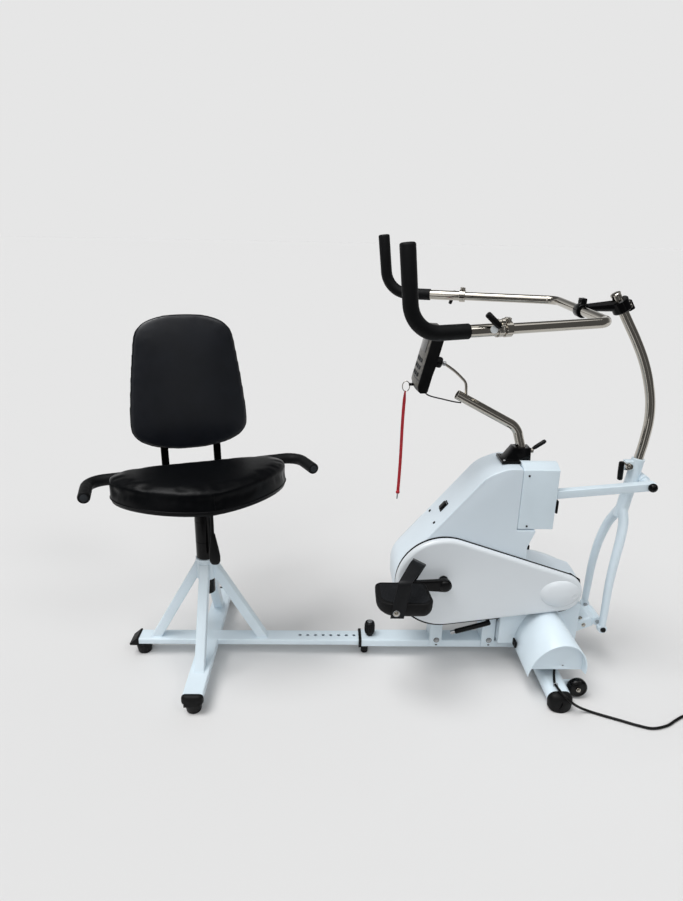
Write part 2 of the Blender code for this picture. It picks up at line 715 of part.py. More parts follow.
def transport_wheels(paints):
    for name, side in (("transport_wheel_near", -1), ("transport_wheel_far", 1)):
        centre = (WHEEL_X, side * WHEEL_Y, WHEEL_Z)
        inner = (WHEEL_X, side * (WHEEL_Y - 0.0120), WHEEL_Z)
        outer = (WHEEL_X, side * (WHEEL_Y + 0.0120), WHEEL_Z)
        tyre = rod(inner, outer, WHEEL_RADIUS, sides=16, bevel=0.004)
        bore_in = (WHEEL_X, side * (WHEEL_Y - 0.03), WHEEL_Z)
        bore_out = (WHEEL_X, side * (WHEEL_Y + 0.03), WHEEL_Z)
        bore = rod(bore_in, bore_out, 0.0049, sides=10)
        add(name, paints["rubber"], [tyre], [bore], origin=centre)


def hood_section(y, left, right, base, top, steps=16):
    """Half ellipse across X at one Y, on short straight legs, with its ridge leaning to +X."""
    middle = (left + right) / 2
    half = (right - left) / 2
    spring = base + (top - base) * 0.06
    ring = [(left, y, base)]
    for step in range(steps + 1):
        angle = math.pi * (1 - step / steps)
        lean = HOOD_LEAN * math.sin(angle)
        ring.append((middle + half * math.cos(angle) + lean, y, spring + (top - spring) * math.sin(angle)))
    ring.append((right, y, base))
    return ring


def hood_loft(grow, near, far):
    """Solid of the hood between two Y values, grown outwards by grow; it narrows and rises to the far end."""
    rings = []
    for y in (near, far):
        share = (y - HOOD_NEAR) / (HOOD_FAR - HOOD_NEAR)
        right = 0.6535 - 0.0300 * share
        top = 0.187 + 0.036 * share
        rings.append(hood_section(y, 0.4800 - grow, right + grow, 0.079 - abs(grow), top + grow))
    return loft(rings)


def motor_hood(paints):
    """Arched cover of the motor, closed by a panel set back from its near end."""
    outer = hood_loft(0.0, HOOD_NEAR, HOOD_FAR)
    front_room = hood_loft(-WALL, HOOD_NEAR - 0.01, -0.203)
    back_room = hood_loft(-WALL, -0.200, HOOD_FAR + 0.01)
    under = box((0.4800 + WALL, HOOD_NEAR - 0.01, 0.05), (0.7, HOOD_FAR + 0.01, 0.0885))
    add("motor_hood", paints["white_paint"], [outer], [front_room, back_room, under])


def lower_housing(paints):
    """Sheet box under the casing, open below, with ways through for the belt, the shaft and the yoke."""
    high = FAIRING_BOTTOM - 0.0005
    half = HOUSING_HALF
    shell = box((HOUSING_START, -half, HOUSING_BASE), (HOUSING_END, half, high), 0.003, 2)
    inside = box((HOUSING_START + WALL, -half + WALL, HOUSING_BASE - 0.01),
                 (HOUSING_END - WALL, half - WALL, high - WALL))
    belt_way = box((HOUSING_START - 0.01, -0.050, 0.145), (0.600, -0.008, high + 0.01))
    shaft_way = rod((MOTOR_X, -0.08, MOTOR_Z), (MOTOR_X, -0.05, MOTOR_Z), 0.010, sides=14)
    yoke_way = box((HOUSING_END - 0.01, -0.052, HOUSING_BASE - 0.01), (HOUSING_END + 0.01, 0.052, 0.190))
    add("lower_housing", paints["white_paint"], [shell], [inside, belt_way, shaft_way, yoke_way])


def case_corners(drop=0.0):
    """Corners of the side outline of the tower and the fairing; drop lowers the open bottom edges."""
    return [
        (0.150, CASE_BOTTOM - drop, 0), (0.0885, 0.250, 0.080), (0.0885, 0.3480, 0.090),
        (0.3410, 0.6560, 0.035), (0.4020, CASE_TOP, 0.030), (CASE_BACK, CASE_TOP, 0.008),
        (CASE_BACK, SHELF_Z, 0.001), (0.5060, SHELF_Z, 0.006), (0.4840, 0.4274, 0.020),
        (0.4890, 0.3630, 0.012), (0.6790, 0.2976, 0.015), (0.6920, 0.2500, 0),
        (0.6920, FAIRING_BOTTOM - drop, 0), (0.4245, FAIRING_BOTTOM - drop, 0),
        (0.4245, CASE_BOTTOM - drop, 0),
    ]


def tower_shell(paints):
    """Casing of the drive: tower, sloped panel and rear fairing in one shell, open below."""
    shell = prism(fillet(case_corners()), -CASE_HALF, CASE_HALF, 0.004)
    inside = prism(fillet(inset(case_corners(2 * WALL), WALL)), -CASE_HALF + WALL, CASE_HALF - WALL)
    axle_way = rod((CRANK_X, -0.1, CRANK_Z), (CRANK_X, 0.1, CRANK_Z), 0.0135, sides=16)
    rear_cut = bar((0.7600, 0.2, 0.25), (0.7070, -0.2, 0.25), 0.12, 0.4)
    add("tower_shell", paints["white_plastic"], [shell], [inside, axle_way, rear_cut])


def side_covers(paints):
    for name, side in (("side_cover_near", -1), ("side_cover_far", 1)):
        wall = side * (CASE_HALF + GAP)
        face = side * (CASE_HALF + COVER_DEPTH)
        low, high = sorted((wall, face))
        shell = prism(circle_pair(COVER_BIG, COVER_SMALL), low, high, 0.012, 2)
        boss = ball((0.592, side * (CASE_HALF + 0.018), 0.287), (0.066, 0.026, 0.049), 14, 6)
        inner_low, inner_high = sorted((side * (CASE_HALF - 0.01), side * (CASE_HALF + COVER_DEPTH - WALL)))
        room = prism(circle_pair(COVER_BIG, COVER_SMALL, 0.014), inner_low, inner_high)
        behind_low, behind_high = sorted((side * (CASE_HALF - 0.03), side * (CASE_HALF + GAP)))
        behind = box((0.3, behind_low, 0.1), (0.8, behind_high, 0.5))
        axle_way = rod((CRANK_X, side * 0.05, CRANK_Z), (CRANK_X, side * 0.15, CRANK_Z), 0.0150, sides=16)
        cuts = [room, behind, axle_way]
        if side < 0:
            cuts.append(hood_loft(0.006, -0.125, HOOD_FAR))
        add(name, paints["white_plastic"], [shell, boss], cuts)


def control_box(paints):
    """Terminal box on the tower's shelf, with a top that slopes up from the near side."""
    start = CASE_BACK + GAP
    body = box((start, -CASE_HALF, SHELF_Z + 0.004), (0.5530, -0.027, 0.6780), 0.002)
    lid_rings = []
    for x in (start, 0.5530):
        lid_rings.append([(x, -CASE_HALF, 0.676), (x, -0.027, 0.676), (x, -0.027, 0.690), (x, -0.045, 0.690)])
    add("control_box", paints["white_paint"], [body, loft(lid_rings)])


def support_bar(paints):
    """Square bar from the control box to the arm pivot, with the pivot tube and its round end cap."""
    start = (0.5548, BAR_Y, 0.5969)
    end = (PIVOT_X + 0.0125, BAR_Y, 0.6262)
    beam = bar(start, end, BAR_SIZE, BAR_SIZE, 0.002, (0, 1, 0))
    pivot = rod((PIVOT_X, -0.072, PIVOT_Z), (PIVOT_X, 0.030, PIVOT_Z), 0.011, sides=16)
    cap = ball((PIVOT_X, -0.075, PIVOT_Z), (0.0135, 0.0120, 0.0135), 10, 6)
    washer = rod((PIVOT_X, 0.0235, PIVOT_Z), (PIVOT_X, 0.030, PIVOT_Z), 0.016, sides=16)
    add("support_bar", paints["white_paint"], [beam, pivot, cap, washer])


def motor(paints):
    back = -HOUSING_HALF - 0.0006
    body = rod((MOTOR_X, -0.168, MOTOR_Z), (MOTOR_X, back, MOTOR_Z), MOTOR_RADIUS, bevel=0.003)
    shaft = rod((MOTOR_X, -0.080, MOTOR_Z), (MOTOR_X, -0.014, MOTOR_Z), 0.006, sides=10)
    add("motor", paints["steel"], [body, shaft])


def motor_pulley(paints):
    hub = rod((MOTOR_X, PULLEY_OUTER, MOTOR_Z), (MOTOR_X, PULLEY_INNER, MOTOR_Z), PINION_RADIUS, sides=16)
    bore = rod((MOTOR_X, -0.06, MOTOR_Z), (MOTOR_X, 0.0, MOTOR_Z), 0.0067, sides=10)
    add("motor_pulley", paints["steel"], [hub], [bore], origin=(MOTOR_X, 0, MOTOR_Z))


def drive_belt(paints):
    middle = (PULLEY_INNER + PULLEY_OUTER) / 2
    big = (CRANK_X, CRANK_Z, PULLEY_RADIUS + GAP)
    small = (MOTOR_X, MOTOR_Z, PINION_RADIUS + GAP)
    outer = prism(circle_pair(big, small, -BELT_THICKNESS, 20), middle - 0.008, middle + 0.008)
    inner = prism(circle_pair(big, small, -0.0004, 20), middle - 0.02, middle + 0.02)
    add("drive_belt", paints["rubber"], [outer], [inner])


def crankset(paints):
    hub = (CRANK_X, 0, CRANK_Z)
    reach = ARM_OUTER + 0.004
    axle = rod((CRANK_X, -reach, CRANK_Z), (CRANK_X, reach, CRANK_Z), 0.010, sides=16)
    rim_out = (CRANK_X, PULLEY_OUTER, CRANK_Z)
    rim_in = (CRANK_X, PULLEY_INNER, CRANK_Z)
    wheel = rod(rim_out, rim_in, PULLEY_RADIUS, sides=32)
    add("crank_axle", paints["steel"], [axle, wheel], origin=hub)
    for name, side in (("crank_arm_near", -1), ("crank_arm_far", 1)):
        low, high = sorted((side * ARM_INNER, side * ARM_OUTER))
        end_x = CRANK_X + side * CRANK_LENGTH
        outline = circle_pair((CRANK_X, CRANK_Z, 0.020), (end_x, CRANK_Z, 0.0125), 0.0, 8)
        arm = prism(outline, low, high, 0.002, 1)
        spindle_in = (end_x, side * (ARM_INNER + 0.004), CRANK_Z)
        spindle_out = (end_x, side * (PEDAL_OUTER - 0.010), CRANK_Z)
        spindle = rod(spindle_in, spindle_out, 0.006, sides=10)
        hole_in = (CRANK_X, side * 0.1, CRANK_Z)
        hole_out = (CRANK_X, side * 0.2, CRANK_Z)
        axle_hole = rod(hole_in, hole_out, 0.0103, sides=16)
        spare_x = CRANK_X + side * CRANK_LENGTH * 0.52
        spare = rod((spare_x, side * 0.1, CRANK_Z), (spare_x, side * 0.2, CRANK_Z), 0.006, sides=10)
        add(name, paints["black_steel"], [arm, spindle], [axle_hole, spare], origin=hub)


def pedals(paints):
    for label, side in (("near", -1), ("far", 1)):
        spindle_x = CRANK_X + side * CRANK_LENGTH
        origin = (spindle_x, side * (PEDAL_INNER + PEDAL_OUTER) / 2, CRANK_Z)
        middle_x = spindle_x - 0.0125
        low, high = sorted((side * PEDAL_INNER, side * PEDAL_OUTER))
        half = PEDAL_LENGTH / 2
        top = CRANK_Z + PEDAL_TOP
        flank = CRANK_Z - 0.004
        bottom = CRANK_Z + PEDAL_BOTTOM
        outline = fillet([(middle_x - half, top, 0.006), (middle_x - half, flank, 0.018),
                          (middle_x - 0.030, bottom, 0.030), (middle_x + 0.040, bottom, 0.030),
                          (middle_x + half, flank, 0.018), (middle_x + half, top, 0.006)])
        plate = prism(outline, low, high, 0.007, 2)
        bore_in = (spindle_x, side * 0.10, CRANK_Z)
        bore_out = (spindle_x, side * (PEDAL_OUTER - 0.008), CRANK_Z)
        bore = rod(bore_in, bore_out, 0.0064, sides=10)
        add(f"pedal_{label}", paints["rubber"], [plate], [bore], origin=origin)
        strap(paints, label, side, middle_x - 0.004, origin)


def strap(paints, label, side, x, origin):
    """Wide band over the footplate, leaning towards the arm trainer."""
    inner = PEDAL_INNER - GAP
    outer = PEDAL_OUTER + GAP
    thick = 0.0028
    low_in = CRANK_Z + 0.0140
    low_out = CRANK_Z - 0.010
    crown = CRANK_Z + 0.118
    outside = fillet([(-outer - thick, low_out, 0), (-outer - thick, crown, 0.055),
                      (-inner + thick, crown - 0.006, 0.045), (-inner + thick, low_in, 0)], 6, closed=False)
    inside = fillet([(-outer, low_out, 0), (-outer, crown - thick, 0.0525),
                     (-inner, crown - thick - 0.006, 0.0425), (-inner, low_in, 0)], 6, closed=False)
    band = outside + inside[::-1]
    rings = []
    for edge in (-STRAP_WIDTH / 2, STRAP_WIDTH / 2):
        rings.append([(x + edge, -side * y, z) for y, z in band])
    mesh = loft(rings)
    pin = Matrix.Translation((x, 0, CRANK_Z))
    mesh.transform(pin @ Matrix.Rotation(STRAP_LEAN, 4, "Y") @ pin.inverted())
    add(f"pedal_strap_{label}", paints["black_plastic"], [mesh], origin=origin)


def base_lever(paints):
    """Sleeved rail lever at the near side of the chassis, hinged at its rear end."""
    hinge = (0.4000, -0.0450, 0.1540)
    grip = rod((0.2900, -0.0600, 0.1190), (0.3960, -0.0600, 0.1520), 0.0080, sides=16, bevel=0.002)
    knee = rod((0.3960, -0.0660, 0.1525), (0.3960, -0.0346 - 0.0006, 0.1525), 0.0060, sides=10)
    add("base_lever", paints["black_plastic"], [grip, knee], origin=(0.3960, hinge[1], 0.1525))


def power_switch(paints):
    """Rocker set on the sloped panel."""
    along = Vector((0.6340, 0, 0.7733))
    out = Vector((-0.7733, 0, 0.6340))
    foot = Vector((0.0885, 0, 0.3480)) + along * 0.2338
    base = foot + out * 0.0045
    rocker = bar(tuple(base - along * 0.0130), tuple(base + along * 0.0130), 0.020, 0.006, 0.0015, tuple(out))
    add("power_switch", paints["black_plastic"], [rocker], origin=tuple(foot + out * 0.004))


# Arm trainer

def arm_fork(paints):
    """Socket column, pivot boss and the two tapered legs that end in eyes."""
    socket = rod(column_point(0.500), column_point(0.692), 0.019, sides=16)
    boss = rod((PIVOT_X, -0.022, PIVOT_Z), (PIVOT_X, 0.022, PIVOT_Z), 0.0165, sides=16)
    rib = box((COLUMN_X, -0.006, PIVOT_Z - 0.022), (PIVOT_X - 0.002, 0.006, PIVOT_Z + 0.014))
    ears = box((0.771, -0.0105, 0.655), (0.803, 0.0105, 0.686), 0.003)
    shapes = [socket, boss, rib, ears]
    for side in (-1, 1):
        knots = [(0.7890, side * 0.004, 0.530), (0.7860, side * 0.030, 0.495), (0.7760, side * 0.050, 0.450),
                 (0.7640, side * 0.062, 0.380), (0.7570, side * 0.067, 0.300), (0.7560, side * 0.070, 0.220),
                 (ROD_END_X, side * ROD_END_Y, ROD_END_Z + 0.006)]
        route = smooth_route(knots, 0.055)
        thin = [1.0 - 0.28 * index / (len(route) - 1) for index in range(len(route))]
        shapes.append(tube(route, 0.0150, 3, thin))
        eye_in = (ROD_END_X, side * (ROD_END_Y - 0.008), ROD_END_Z)
        eye_out = (ROD_END_X, side * (ROD_END_Y + 0.008), ROD_END_Z)
        shapes.append(rod(eye_in, eye_out, 0.0145, sides=16))
    pivot_bore = rod((PIVOT_X, -0.04, PIVOT_Z), (PIVOT_X, 0.04, PIVOT_Z), 0.0113, sides=16)
    mast_bore = rod(column_point(0.545), column_point(0.72), MAST_RADIUS + GAP, sides=16)
    eye_bore = rod((ROD_END_X, -0.1, ROD_END_Z), (ROD_END_X, 0.1, ROD_END_Z), 0.0064, sides=10)
    split = box((0.765, -0.0012, 0.640), (0.812, 0.0012, 0.70))
    cuts = [pivot_bore, mast_bore, eye_bore, split]
    add("arm_fork", paints["white_paint"], shapes, cuts, origin=(PIVOT_X, 0, PIVOT_Z))


def drive_yoke(paints):
    """Inclined push link from inside the housing to the pin through both eyes of the fork."""
    inner = (0.645, 0.0, 0.1008)
    outer = (0.7400, 0.0, 0.1450)
    block = bar(inner, outer, 0.076, 0.034, 0.003)
    nose = rod((ROD_END_X, -0.036, ROD_END_Z), (ROD_END_X, 0.036, ROD_END_Z), 0.0150, sides=16)
    neck = box((0.728, -0.034, 0.134), (0.757, 0.034, 0.156))
    pin = rod((ROD_END_X, -0.085, ROD_END_Z), (ROD_END_X, 0.085, ROD_END_Z), 0.0060, sides=10)
    add("drive_yoke", paints["white_paint"], [block, neck, nose, pin], origin=(ROD_END_X, 0, ROD_END_Z))


def mast(paints):
    """Bent tube, straight where it slides in the socket."""
    straight = [column_point(0.560), column_point(0.740)]
    knots = [column_point(0.740), (0.8235, 0, 0.806), (0.8170, 0, 0.868), (0.7995, 0, 0.930),
             (0.7755, 0, 0.9885), (0.7446, 0, 1.0449), (0.7098, 0, 1.1001), (0.6665, 0, 1.1690)]
    route = straight[:1] + smooth_route(knots, 0.032)
    origin = column_point(0.692)
    add("mast", paints["chrome"], [tube(route, MAST_RADIUS, 3)], origin=origin)


def mast_lever(paints):
    """Quick-release lever of the socket."""
    hinge = (0.7800, -0.0180, 0.6710)
    boss = rod((hinge[0], -0.0120, hinge[2]), (hinge[0], -0.0240, hinge[2]), 0.0075, sides=10)
    arm = bar((hinge[0], -0.0205, hinge[2]), (0.7570, -0.0205, 0.6860), 0.006, 0.010, up=(0, 1, 0))
    grip = rod((0.7530, -0.0220, 0.6880), (0.7560, -0.0220, 0.6300), 0.0062, sides=16, bevel=0.002)
    add("mast_lever", paints["black_plastic"], [boss, arm, grip], origin=hinge)


def handlebar_stem(paints):
    """Clamp on the mast, tapered stem and the band that holds the U bar."""
    low = (0.6945, 0, 1.1245)
    high = (0.6760, 0, 1.1539)
    clamp = rod(low, high, 0.0260, sides=16, bevel=0.002)
    stem = rod((0.592, 0, 1.1325), (0.680, 0, 1.1390), 0.0105, 0.0165, 14)
    band = rod((BAR_X, -0.016, BAR_Z), (BAR_X, 0.016, BAR_Z), 0.0205, sides=16, bevel=0.002)
    ears = box((BAR_X - 0.008, -0.013, BAR_Z + 0.016), (BAR_X + 0.008, 0.013, BAR_Z + 0.034), 0.002)
    lug = bar((0.700, 0, 1.136), (0.716, 0, 1.146), 0.026, 0.030, 0.003)
    run = Vector((-0.5323, 0, 0.8465))
    middle = Vector((0.6853, 0, 1.1392))
    mast_bore = rod(tuple(middle - run * 0.05), tuple(middle + run * 0.05), MAST_RADIUS + 0.0006, sides=16)
    bar_bore = rod((BAR_X, -0.05, BAR_Z), (BAR_X, 0.05, BAR_Z), BAR_RADIUS + GAP, sides=16)
    split = box((BAR_X - 0.0012, -0.05, BAR_Z + 0.012), (BAR_X + 0.0012, 0.05, BAR_Z + 0.04))
    for shape in (band, ears, bar_bore, split):
        stem_turned(shape)
    add("handlebar_stem", paints["black_steel"], [clamp, stem, band, ears, lug], [mast_bore, bar_bore, split],
        origin=(BAR_X, 0, BAR_Z))


def arm_point(x, side):
    """Point on an arm of the U bar at a given X."""
    return (x, BAR_SHIFT + side * (BAR_HALF + (BAR_X - x) * BAR_SPREAD), BAR_Z - (BAR_X - x) * BAR_DROP)


def u_bar(paints):
    ends = []
    for side in (-1, 1):
        x, y, z = arm_point(0.190, side)
        ends.append((x, y, z, 0))
    corners = [ends[0], (*arm_point(BAR_X, -1), 0.045), (*arm_point(BAR_X, 1), 0.045), ends[1]]
    route = fillet(corners, 6, closed=False)
    add("u_bar", paints["chrome"], [stem_turned(tube(route, BAR_RADIUS, 3))], origin=(BAR_X, 0, BAR_Z))


def handles(paints):
    """Telescoping sleeves that end in upright foam grips, each with a clamp and its lever."""
    for label, side, pulled, taller, back, rise in (("near", -1, 0.005, 0.014, 0.032, 0.030),
                                                    ("far", 1, -0.003, 0.0, 0.012, -0.036)):
        clamp_x = HANDLE_START_X - pulled
        foam_x = 0.203 - pulled
        elbow = arm_point(ELBOW_X - pulled, side)
        top = (GRIP_TOP_X - pulled, elbow[1], GRIP_TOP_Z + taller)
        route = fillet([(*arm_point(foam_x, side), 0), (*elbow, 0.075), (*top, 0)], 4, closed=False)
        foam = tube(route, FOAM_RADIUS, 3)
        sleeve = rod(arm_point(clamp_x, side), arm_point(foam_x - 0.005, side), 0.0150)
        clamp = rod(arm_point(clamp_x, side), arm_point(clamp_x - 0.018, side), 0.0190, bevel=0.001)
        middle = Vector(arm_point(clamp_x - 0.009, side))
        ears_low = middle + Vector((-0.007, -0.008, 0.014))
        ears_high = middle + Vector((0.007, 0.008, 0.027))
        ears = box(tuple(ears_low), tuple(ears_high))
        shapes = [foam, sleeve, clamp, ears]
        pivot = Vector(arm_point(clamp_x - 0.029, side)) + Vector((0, side * 0.0245, 0.006))
        if side < 0:
            button = Vector(arm_point(0.2590, side)) + Vector((0, -0.0105, -0.010))
            shapes.append(rod(tuple(button), tuple(button - Vector((0, 0.0075, 0))), 0.0090))
        bore = rod(arm_point(clamp_x + 0.02, side), arm_point(0.120, side), BAR_RADIUS + GAP)
        shapes = [stem_turned(shape) for shape in shapes]
        origin = stem_point(arm_point(clamp_x, side))
        add(f"handle_{label}", paints["foam"], shapes, [stem_turned(bore)], origin=origin)
        head_in = pivot - Vector((0, side * 0.0070, 0))
        head_out = pivot + Vector((0, side * 0.0060, 0))
        head = rod(tuple(head_in), tuple(head_out), 0.0075, sides=10)
        tip = pivot + Vector((-back, side * 0.003, rise))
        grip = bar(tuple(pivot), tuple(tip), 0.008, 0.011, 0.002, (1, 0, 0))
        add(f"handle_lever_{label}", paints["black_plastic"], [stem_turned(head), stem_turned(grip)],
            origin=stem_point(pivot))


# Console

def console_axis(distance):
    point = Vector((CONSOLE_AXIS_X, 0, CONSOLE_AXIS_Z)) + Vector(CONSOLE_LEAN) * distance
    return tuple(point)


def console_base(paints):
    plate = box((0.3920, -0.0375, CASE_TOP + GAP), (0.4468, 0.0375, 0.6900), 0.001)
    block_rings = []
    for low_x, high_x, half, z in ((0.402, 0.480, 0.022, 0.688), (0.428, 0.478, 0.020, 0.7255)):
        block_rings.append([(low_x, -half, z), (high_x, -half, z), (high_x, half, z), (low_x, half, z)])
    block = loft(block_rings)
    bore = rod(console_axis(-0.0345), console_axis(0.04), CONSOLE_TUBE + GAP, sides=16)
    add("console_base", paints["black_steel"], [plate, block], [bore])


def console_lever(paints):
    hinge = (0.4860, 0.0, 0.7120)
    nut = rod((0.4800, 0, 0.7120), (0.4910, 0, 0.7120), 0.0090, sides=10)
    grip = rod((0.4860, 0, 0.7150), (0.5260, 0, 0.7440), 0.0062, sides=16, bevel=0.002)
    add("console_lever", paints["black_plastic"], [nut, grip], origin=hinge)


def console_tube(paints):
    """Swan-neck tube, turning in the clamp, with the bent rod that carries the console."""
    knee = (0.4341, 0, 0.7847, 0.055)
    mouth = (0.2503, 0, 0.8809)
    route = fillet([(*console_axis(-0.0340), 0), knee, (*mouth, 0)], 7, closed=False)
    neck = tube(route, CONSOLE_TUBE, 3)
    knots = [(0.2790, 0, 0.8620), (0.2763, 0, 0.8860), (0.2732, 0, 0.9131), (0.2585, 0, 0.9310),
             (0.2351, 0, 0.9513), (TILT_X + 0.0185, 0, 0.9690)]
    stalk = tube(smooth_route(knots, 0.016), 0.0040, 2)
    eye = rod((TILT_X + 0.0135, 0, 0.9712), (TILT_X + 0.0210, 0, 0.9692), 0.0065, sides=10)
    run = Vector((-0.8837, 0, 0.468))
    bore = rod(tuple(Vector(mouth) - run * 0.025), tuple(Vector(mouth) + run * 0.01), 0.0115, sides=14)
    add("console_tube", paints["chrome"], [neck], [bore], [stalk, eye], origin=console_axis(0.0))


def console_head(paints):
    """Slanted display housing with its tilt knob behind."""
    back = [(0.1330, 0.8985), (0.1500, 0.8985), (0.1539, 0.9040), (0.1646, 0.9491), (0.1726, 0.9748),
            (0.1899, 1.0475), (0.1950, 1.0700), (0.1910, 1.0740)]
    front = [(0.1680, 1.0750), (0.1640, 1.0720), (0.1290, 0.9313), (0.1262, 0.9150), (0.1275, 0.9040)]
    rings = []
    for step in range(-4, 5):
        across = step / 4
        bulge = CONSOLE_BULGE * (1 - across * across)
        y = across * CONSOLE_HALF
        rings.append([(x, y, z) for x, z in back] + [(x - bulge, y, z) for x, z in front])
    case = loft(rings)
    knob = rod((0.1640, 0, 0.9805), (TILT_X + 0.0100, 0, 0.9715), 0.0150, sides=20, bevel=0.002)
    socket = box((0.105, -0.008, 0.902), (0.135, 0.008, 0.916))
    add("console_head", paints["black_plastic"], [case, knob], [socket], origin=(TILT_X, 0, TILT_Z))


def console_cable(paints):
    """Thin lead from under the console to the swan-neck tube."""
    knots = [(0.1535, 0, 0.8962), (0.1595, 0, 0.8830), (0.1742, 0, 0.8745),
             (0.2120, 0, 0.8656), (0.2422, 0, 0.8590), (0.2640, 0, 0.8560)]
    lead = tube(smooth_route(knots, 0.010), 0.0020, 1)
    add("console_cable", paints["rubber"], [lead], origin=(TILT_X, 0, TILT_Z))


def safety_lanyard(paints):
    """Key in the console with its ring, hanging strap and clip."""
    key = box((0.1095, -0.0045, 0.9050), (0.1300, 0.0045, 0.9120), 0.001)
    ring_route = []
    for index in range(14):
        angle = 2 * math.pi * index / 14
        ring_route.append((0.1016 + 0.0105 * math.cos(angle), 0.0, 0.9025 + 0.0150 * math.sin(angle)))
    ring = tube(ring_route, 0.0014, 1, closed=True)
    strap_band = bar((0.0998, 0, 0.8890), (0.0929, 0, 0.5700), 0.0090, 0.0022)
    clip = bar((0.0930, 0, 0.5730), (0.0915, 0, 0.5470), 0.0110, 0.0060, 0.001)
    shapes = [strap_band, clip, ring, key]
    add("safety_lanyard", paints["red_webbing"], shapes, origin=(0.1000, 0, 0.9085))


# Mains cord

CORD_KNOTS = [
    (0.5765, -0.1800, 0.0946), (0.5763, -0.1806, 0.0880), (0.5740, -0.1870, 0.0745),
    (0.5690, -0.2030, 0.0635), (0.5625, -0.2300, 0.0600), (0.5625, -0.2500, 0.0618),
    (0.5655, -0.2730, 0.0632), (0.5755, -0.2900, 0.0590), (0.5960, -0.2960, 0.0420),
    (0.6243, -0.2870, 0.0190), (0.6530, -0.2860, 0.0060), (0.6796, -0.2972, 0.0042),
    (0.7345, -0.3225, 0.0042), (0.7720, -0.3400, 0.0042), (0.8090, -0.3510, 0.0042),
    (0.8547, -0.3404, 0.0042), (0.8900, -0.3200, 0.0042), (0.9206, -0.3034, 0.0042),
    (0.9600, -0.2905, 0.0042), (1.0000, -0.2870, 0.0042), (1.0377, -0.2870, 0.0042),
]


def coil_route():
    """Six turns in two layers: inwards on the floor, then outwards on top, and a straight end."""
    floor_z = CORD_RADIUS + 0.0004
    step = 2 * math.pi / COIL_POINTS
    turns_down = 3
    half_turn = COIL_POINTS // 2
    inner = COIL_OUTER - turns_down * COIL_PITCH
    points = [(COIL_X - 0.0120, COIL_Y - COIL_OUTER, floor_z)]
    for index in range(6 * COIL_POINTS + 1):
        angle = -math.pi / 2 + index * step
        past = index - turns_down * COIL_POINTS
        if past <= 0:
            radius = COIL_OUTER - COIL_PITCH * index / COIL_POINTS
            height = floor_z
        elif past < half_turn:
            radius = inner - COIL_PITCH * min(past, half_turn - past) / COIL_POINTS
            height = floor_z + COIL_STEP * past / half_turn
        else:
            radius = inner + COIL_PITCH * (past - half_turn) / COIL_POINTS
            height = floor_z + COIL_STEP
        points.append((COIL_X + radius * math.cos(angle), COIL_Y + radius * math.sin(angle), height))
    last = points[-1]
    for reach, rise in ((0.015, 0.0), (0.030, 0.0018), (0.045, 0.0037), (0.054, 0.0037)):
        points.append((last[0] + reach, last[1], last[2] + rise))
    return points


def least_gap(points):
    """Smallest clear distance between stretches of the coil that aren't neighbours along it."""
    skip = COIL_POINTS // 3
    least = 1.0
    for index, point in enumerate(points):
        for other in points[index + skip:]:
            least = min(least, math.dist(point, other))
    return least - 2 * CORD_RADIUS


def route_length(points):
    return sum(math.dist(a, b) for a, b in zip(points, points[1:]))


def mains_cord(paints):
    gland_top = (0.5765, -0.1800, 0.1290)
    gland = rod((0.5765, -0.1800, 0.0952), gland_top, 0.0062, 0.0085, 12)
    flange = box((0.5660, -0.1997, 0.1150), (0.5870, -0.1720, 0.1300))
    add("cord_gland", paints["rubber"], [gland, flange])
    run = smooth_route(CORD_KNOTS, 0.0180)
    add("mains_cord", paints["rubber"], [tube(run, CORD_RADIUS, 2)])
    turns = coil_route()
    add("cord_coil", paints["rubber"], [tube(turns, CORD_RADIUS, 1)])
    end = turns[-1]
    mouth = end[0] + GAP
    axis = (end[1], end[2])
    relief = rod((mouth, *axis), (mouth + 0.030, *axis), 0.0052, 0.0090, 12)
    body = rod((mouth + 0.026, *axis), (mouth + 0.066, *axis), end[2] - 0.0001, sides=20, bevel=0.002)
    shapes = [body, relief]
    for side in (-1, 1):
        shapes.append(rod((mouth + 0.060, axis[0] + side * 0.0095, axis[1]),
                          (mouth + 0.085, axis[0] + side * 0.0095, axis[1]), 0.0024, sides=10))
    add("mains_plug", paints["black_plastic"], shapes)
    print(f"cord: {route_length(run):.3f} m free, {route_length(turns):.3f} m coiled, "
          f"least gap in the coil {least_gap(turns) * 1000:.2f} mm")


PIECES = (
    main_rail, rail_collar, rail_knob, seat_base_frame, seat_trestle, rail_end_foot, beam_feet,
    gas_cylinder, seat_post, seat_frame, seat_cushion, backrest, seat_handle_bar, seat_lever,
    drive_chassis, stabilizer, transport_wheels, motor_hood, lower_housing, tower_shell, side_covers,
    control_box, support_bar, motor, motor_pulley, drive_belt, crankset, pedals, base_lever,
    power_switch, arm_fork, drive_yoke, mast, mast_lever, handlebar_stem, u_bar, handles,
    console_base, console_lever, console_tube, console_head, console_cable, safety_lanyard, mains_cord,
)


def main():
    clear_scene()
    paints = materials()
    for make in PIECES:
        make(paints)


main()
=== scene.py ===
"""Looks of a motor-driven therapy bike: its pieces, finishes and studio, built round the fixed frame."""
import json
from math import acos, asin, atan2, copysign, cos, dist, hypot, pi, radians, sin, tan, tau

import bmesh
import bpy
from mathutils import Matrix, Vector
from mathutils.bvhtree import BVHTree
from mathutils.kdtree import KDTree

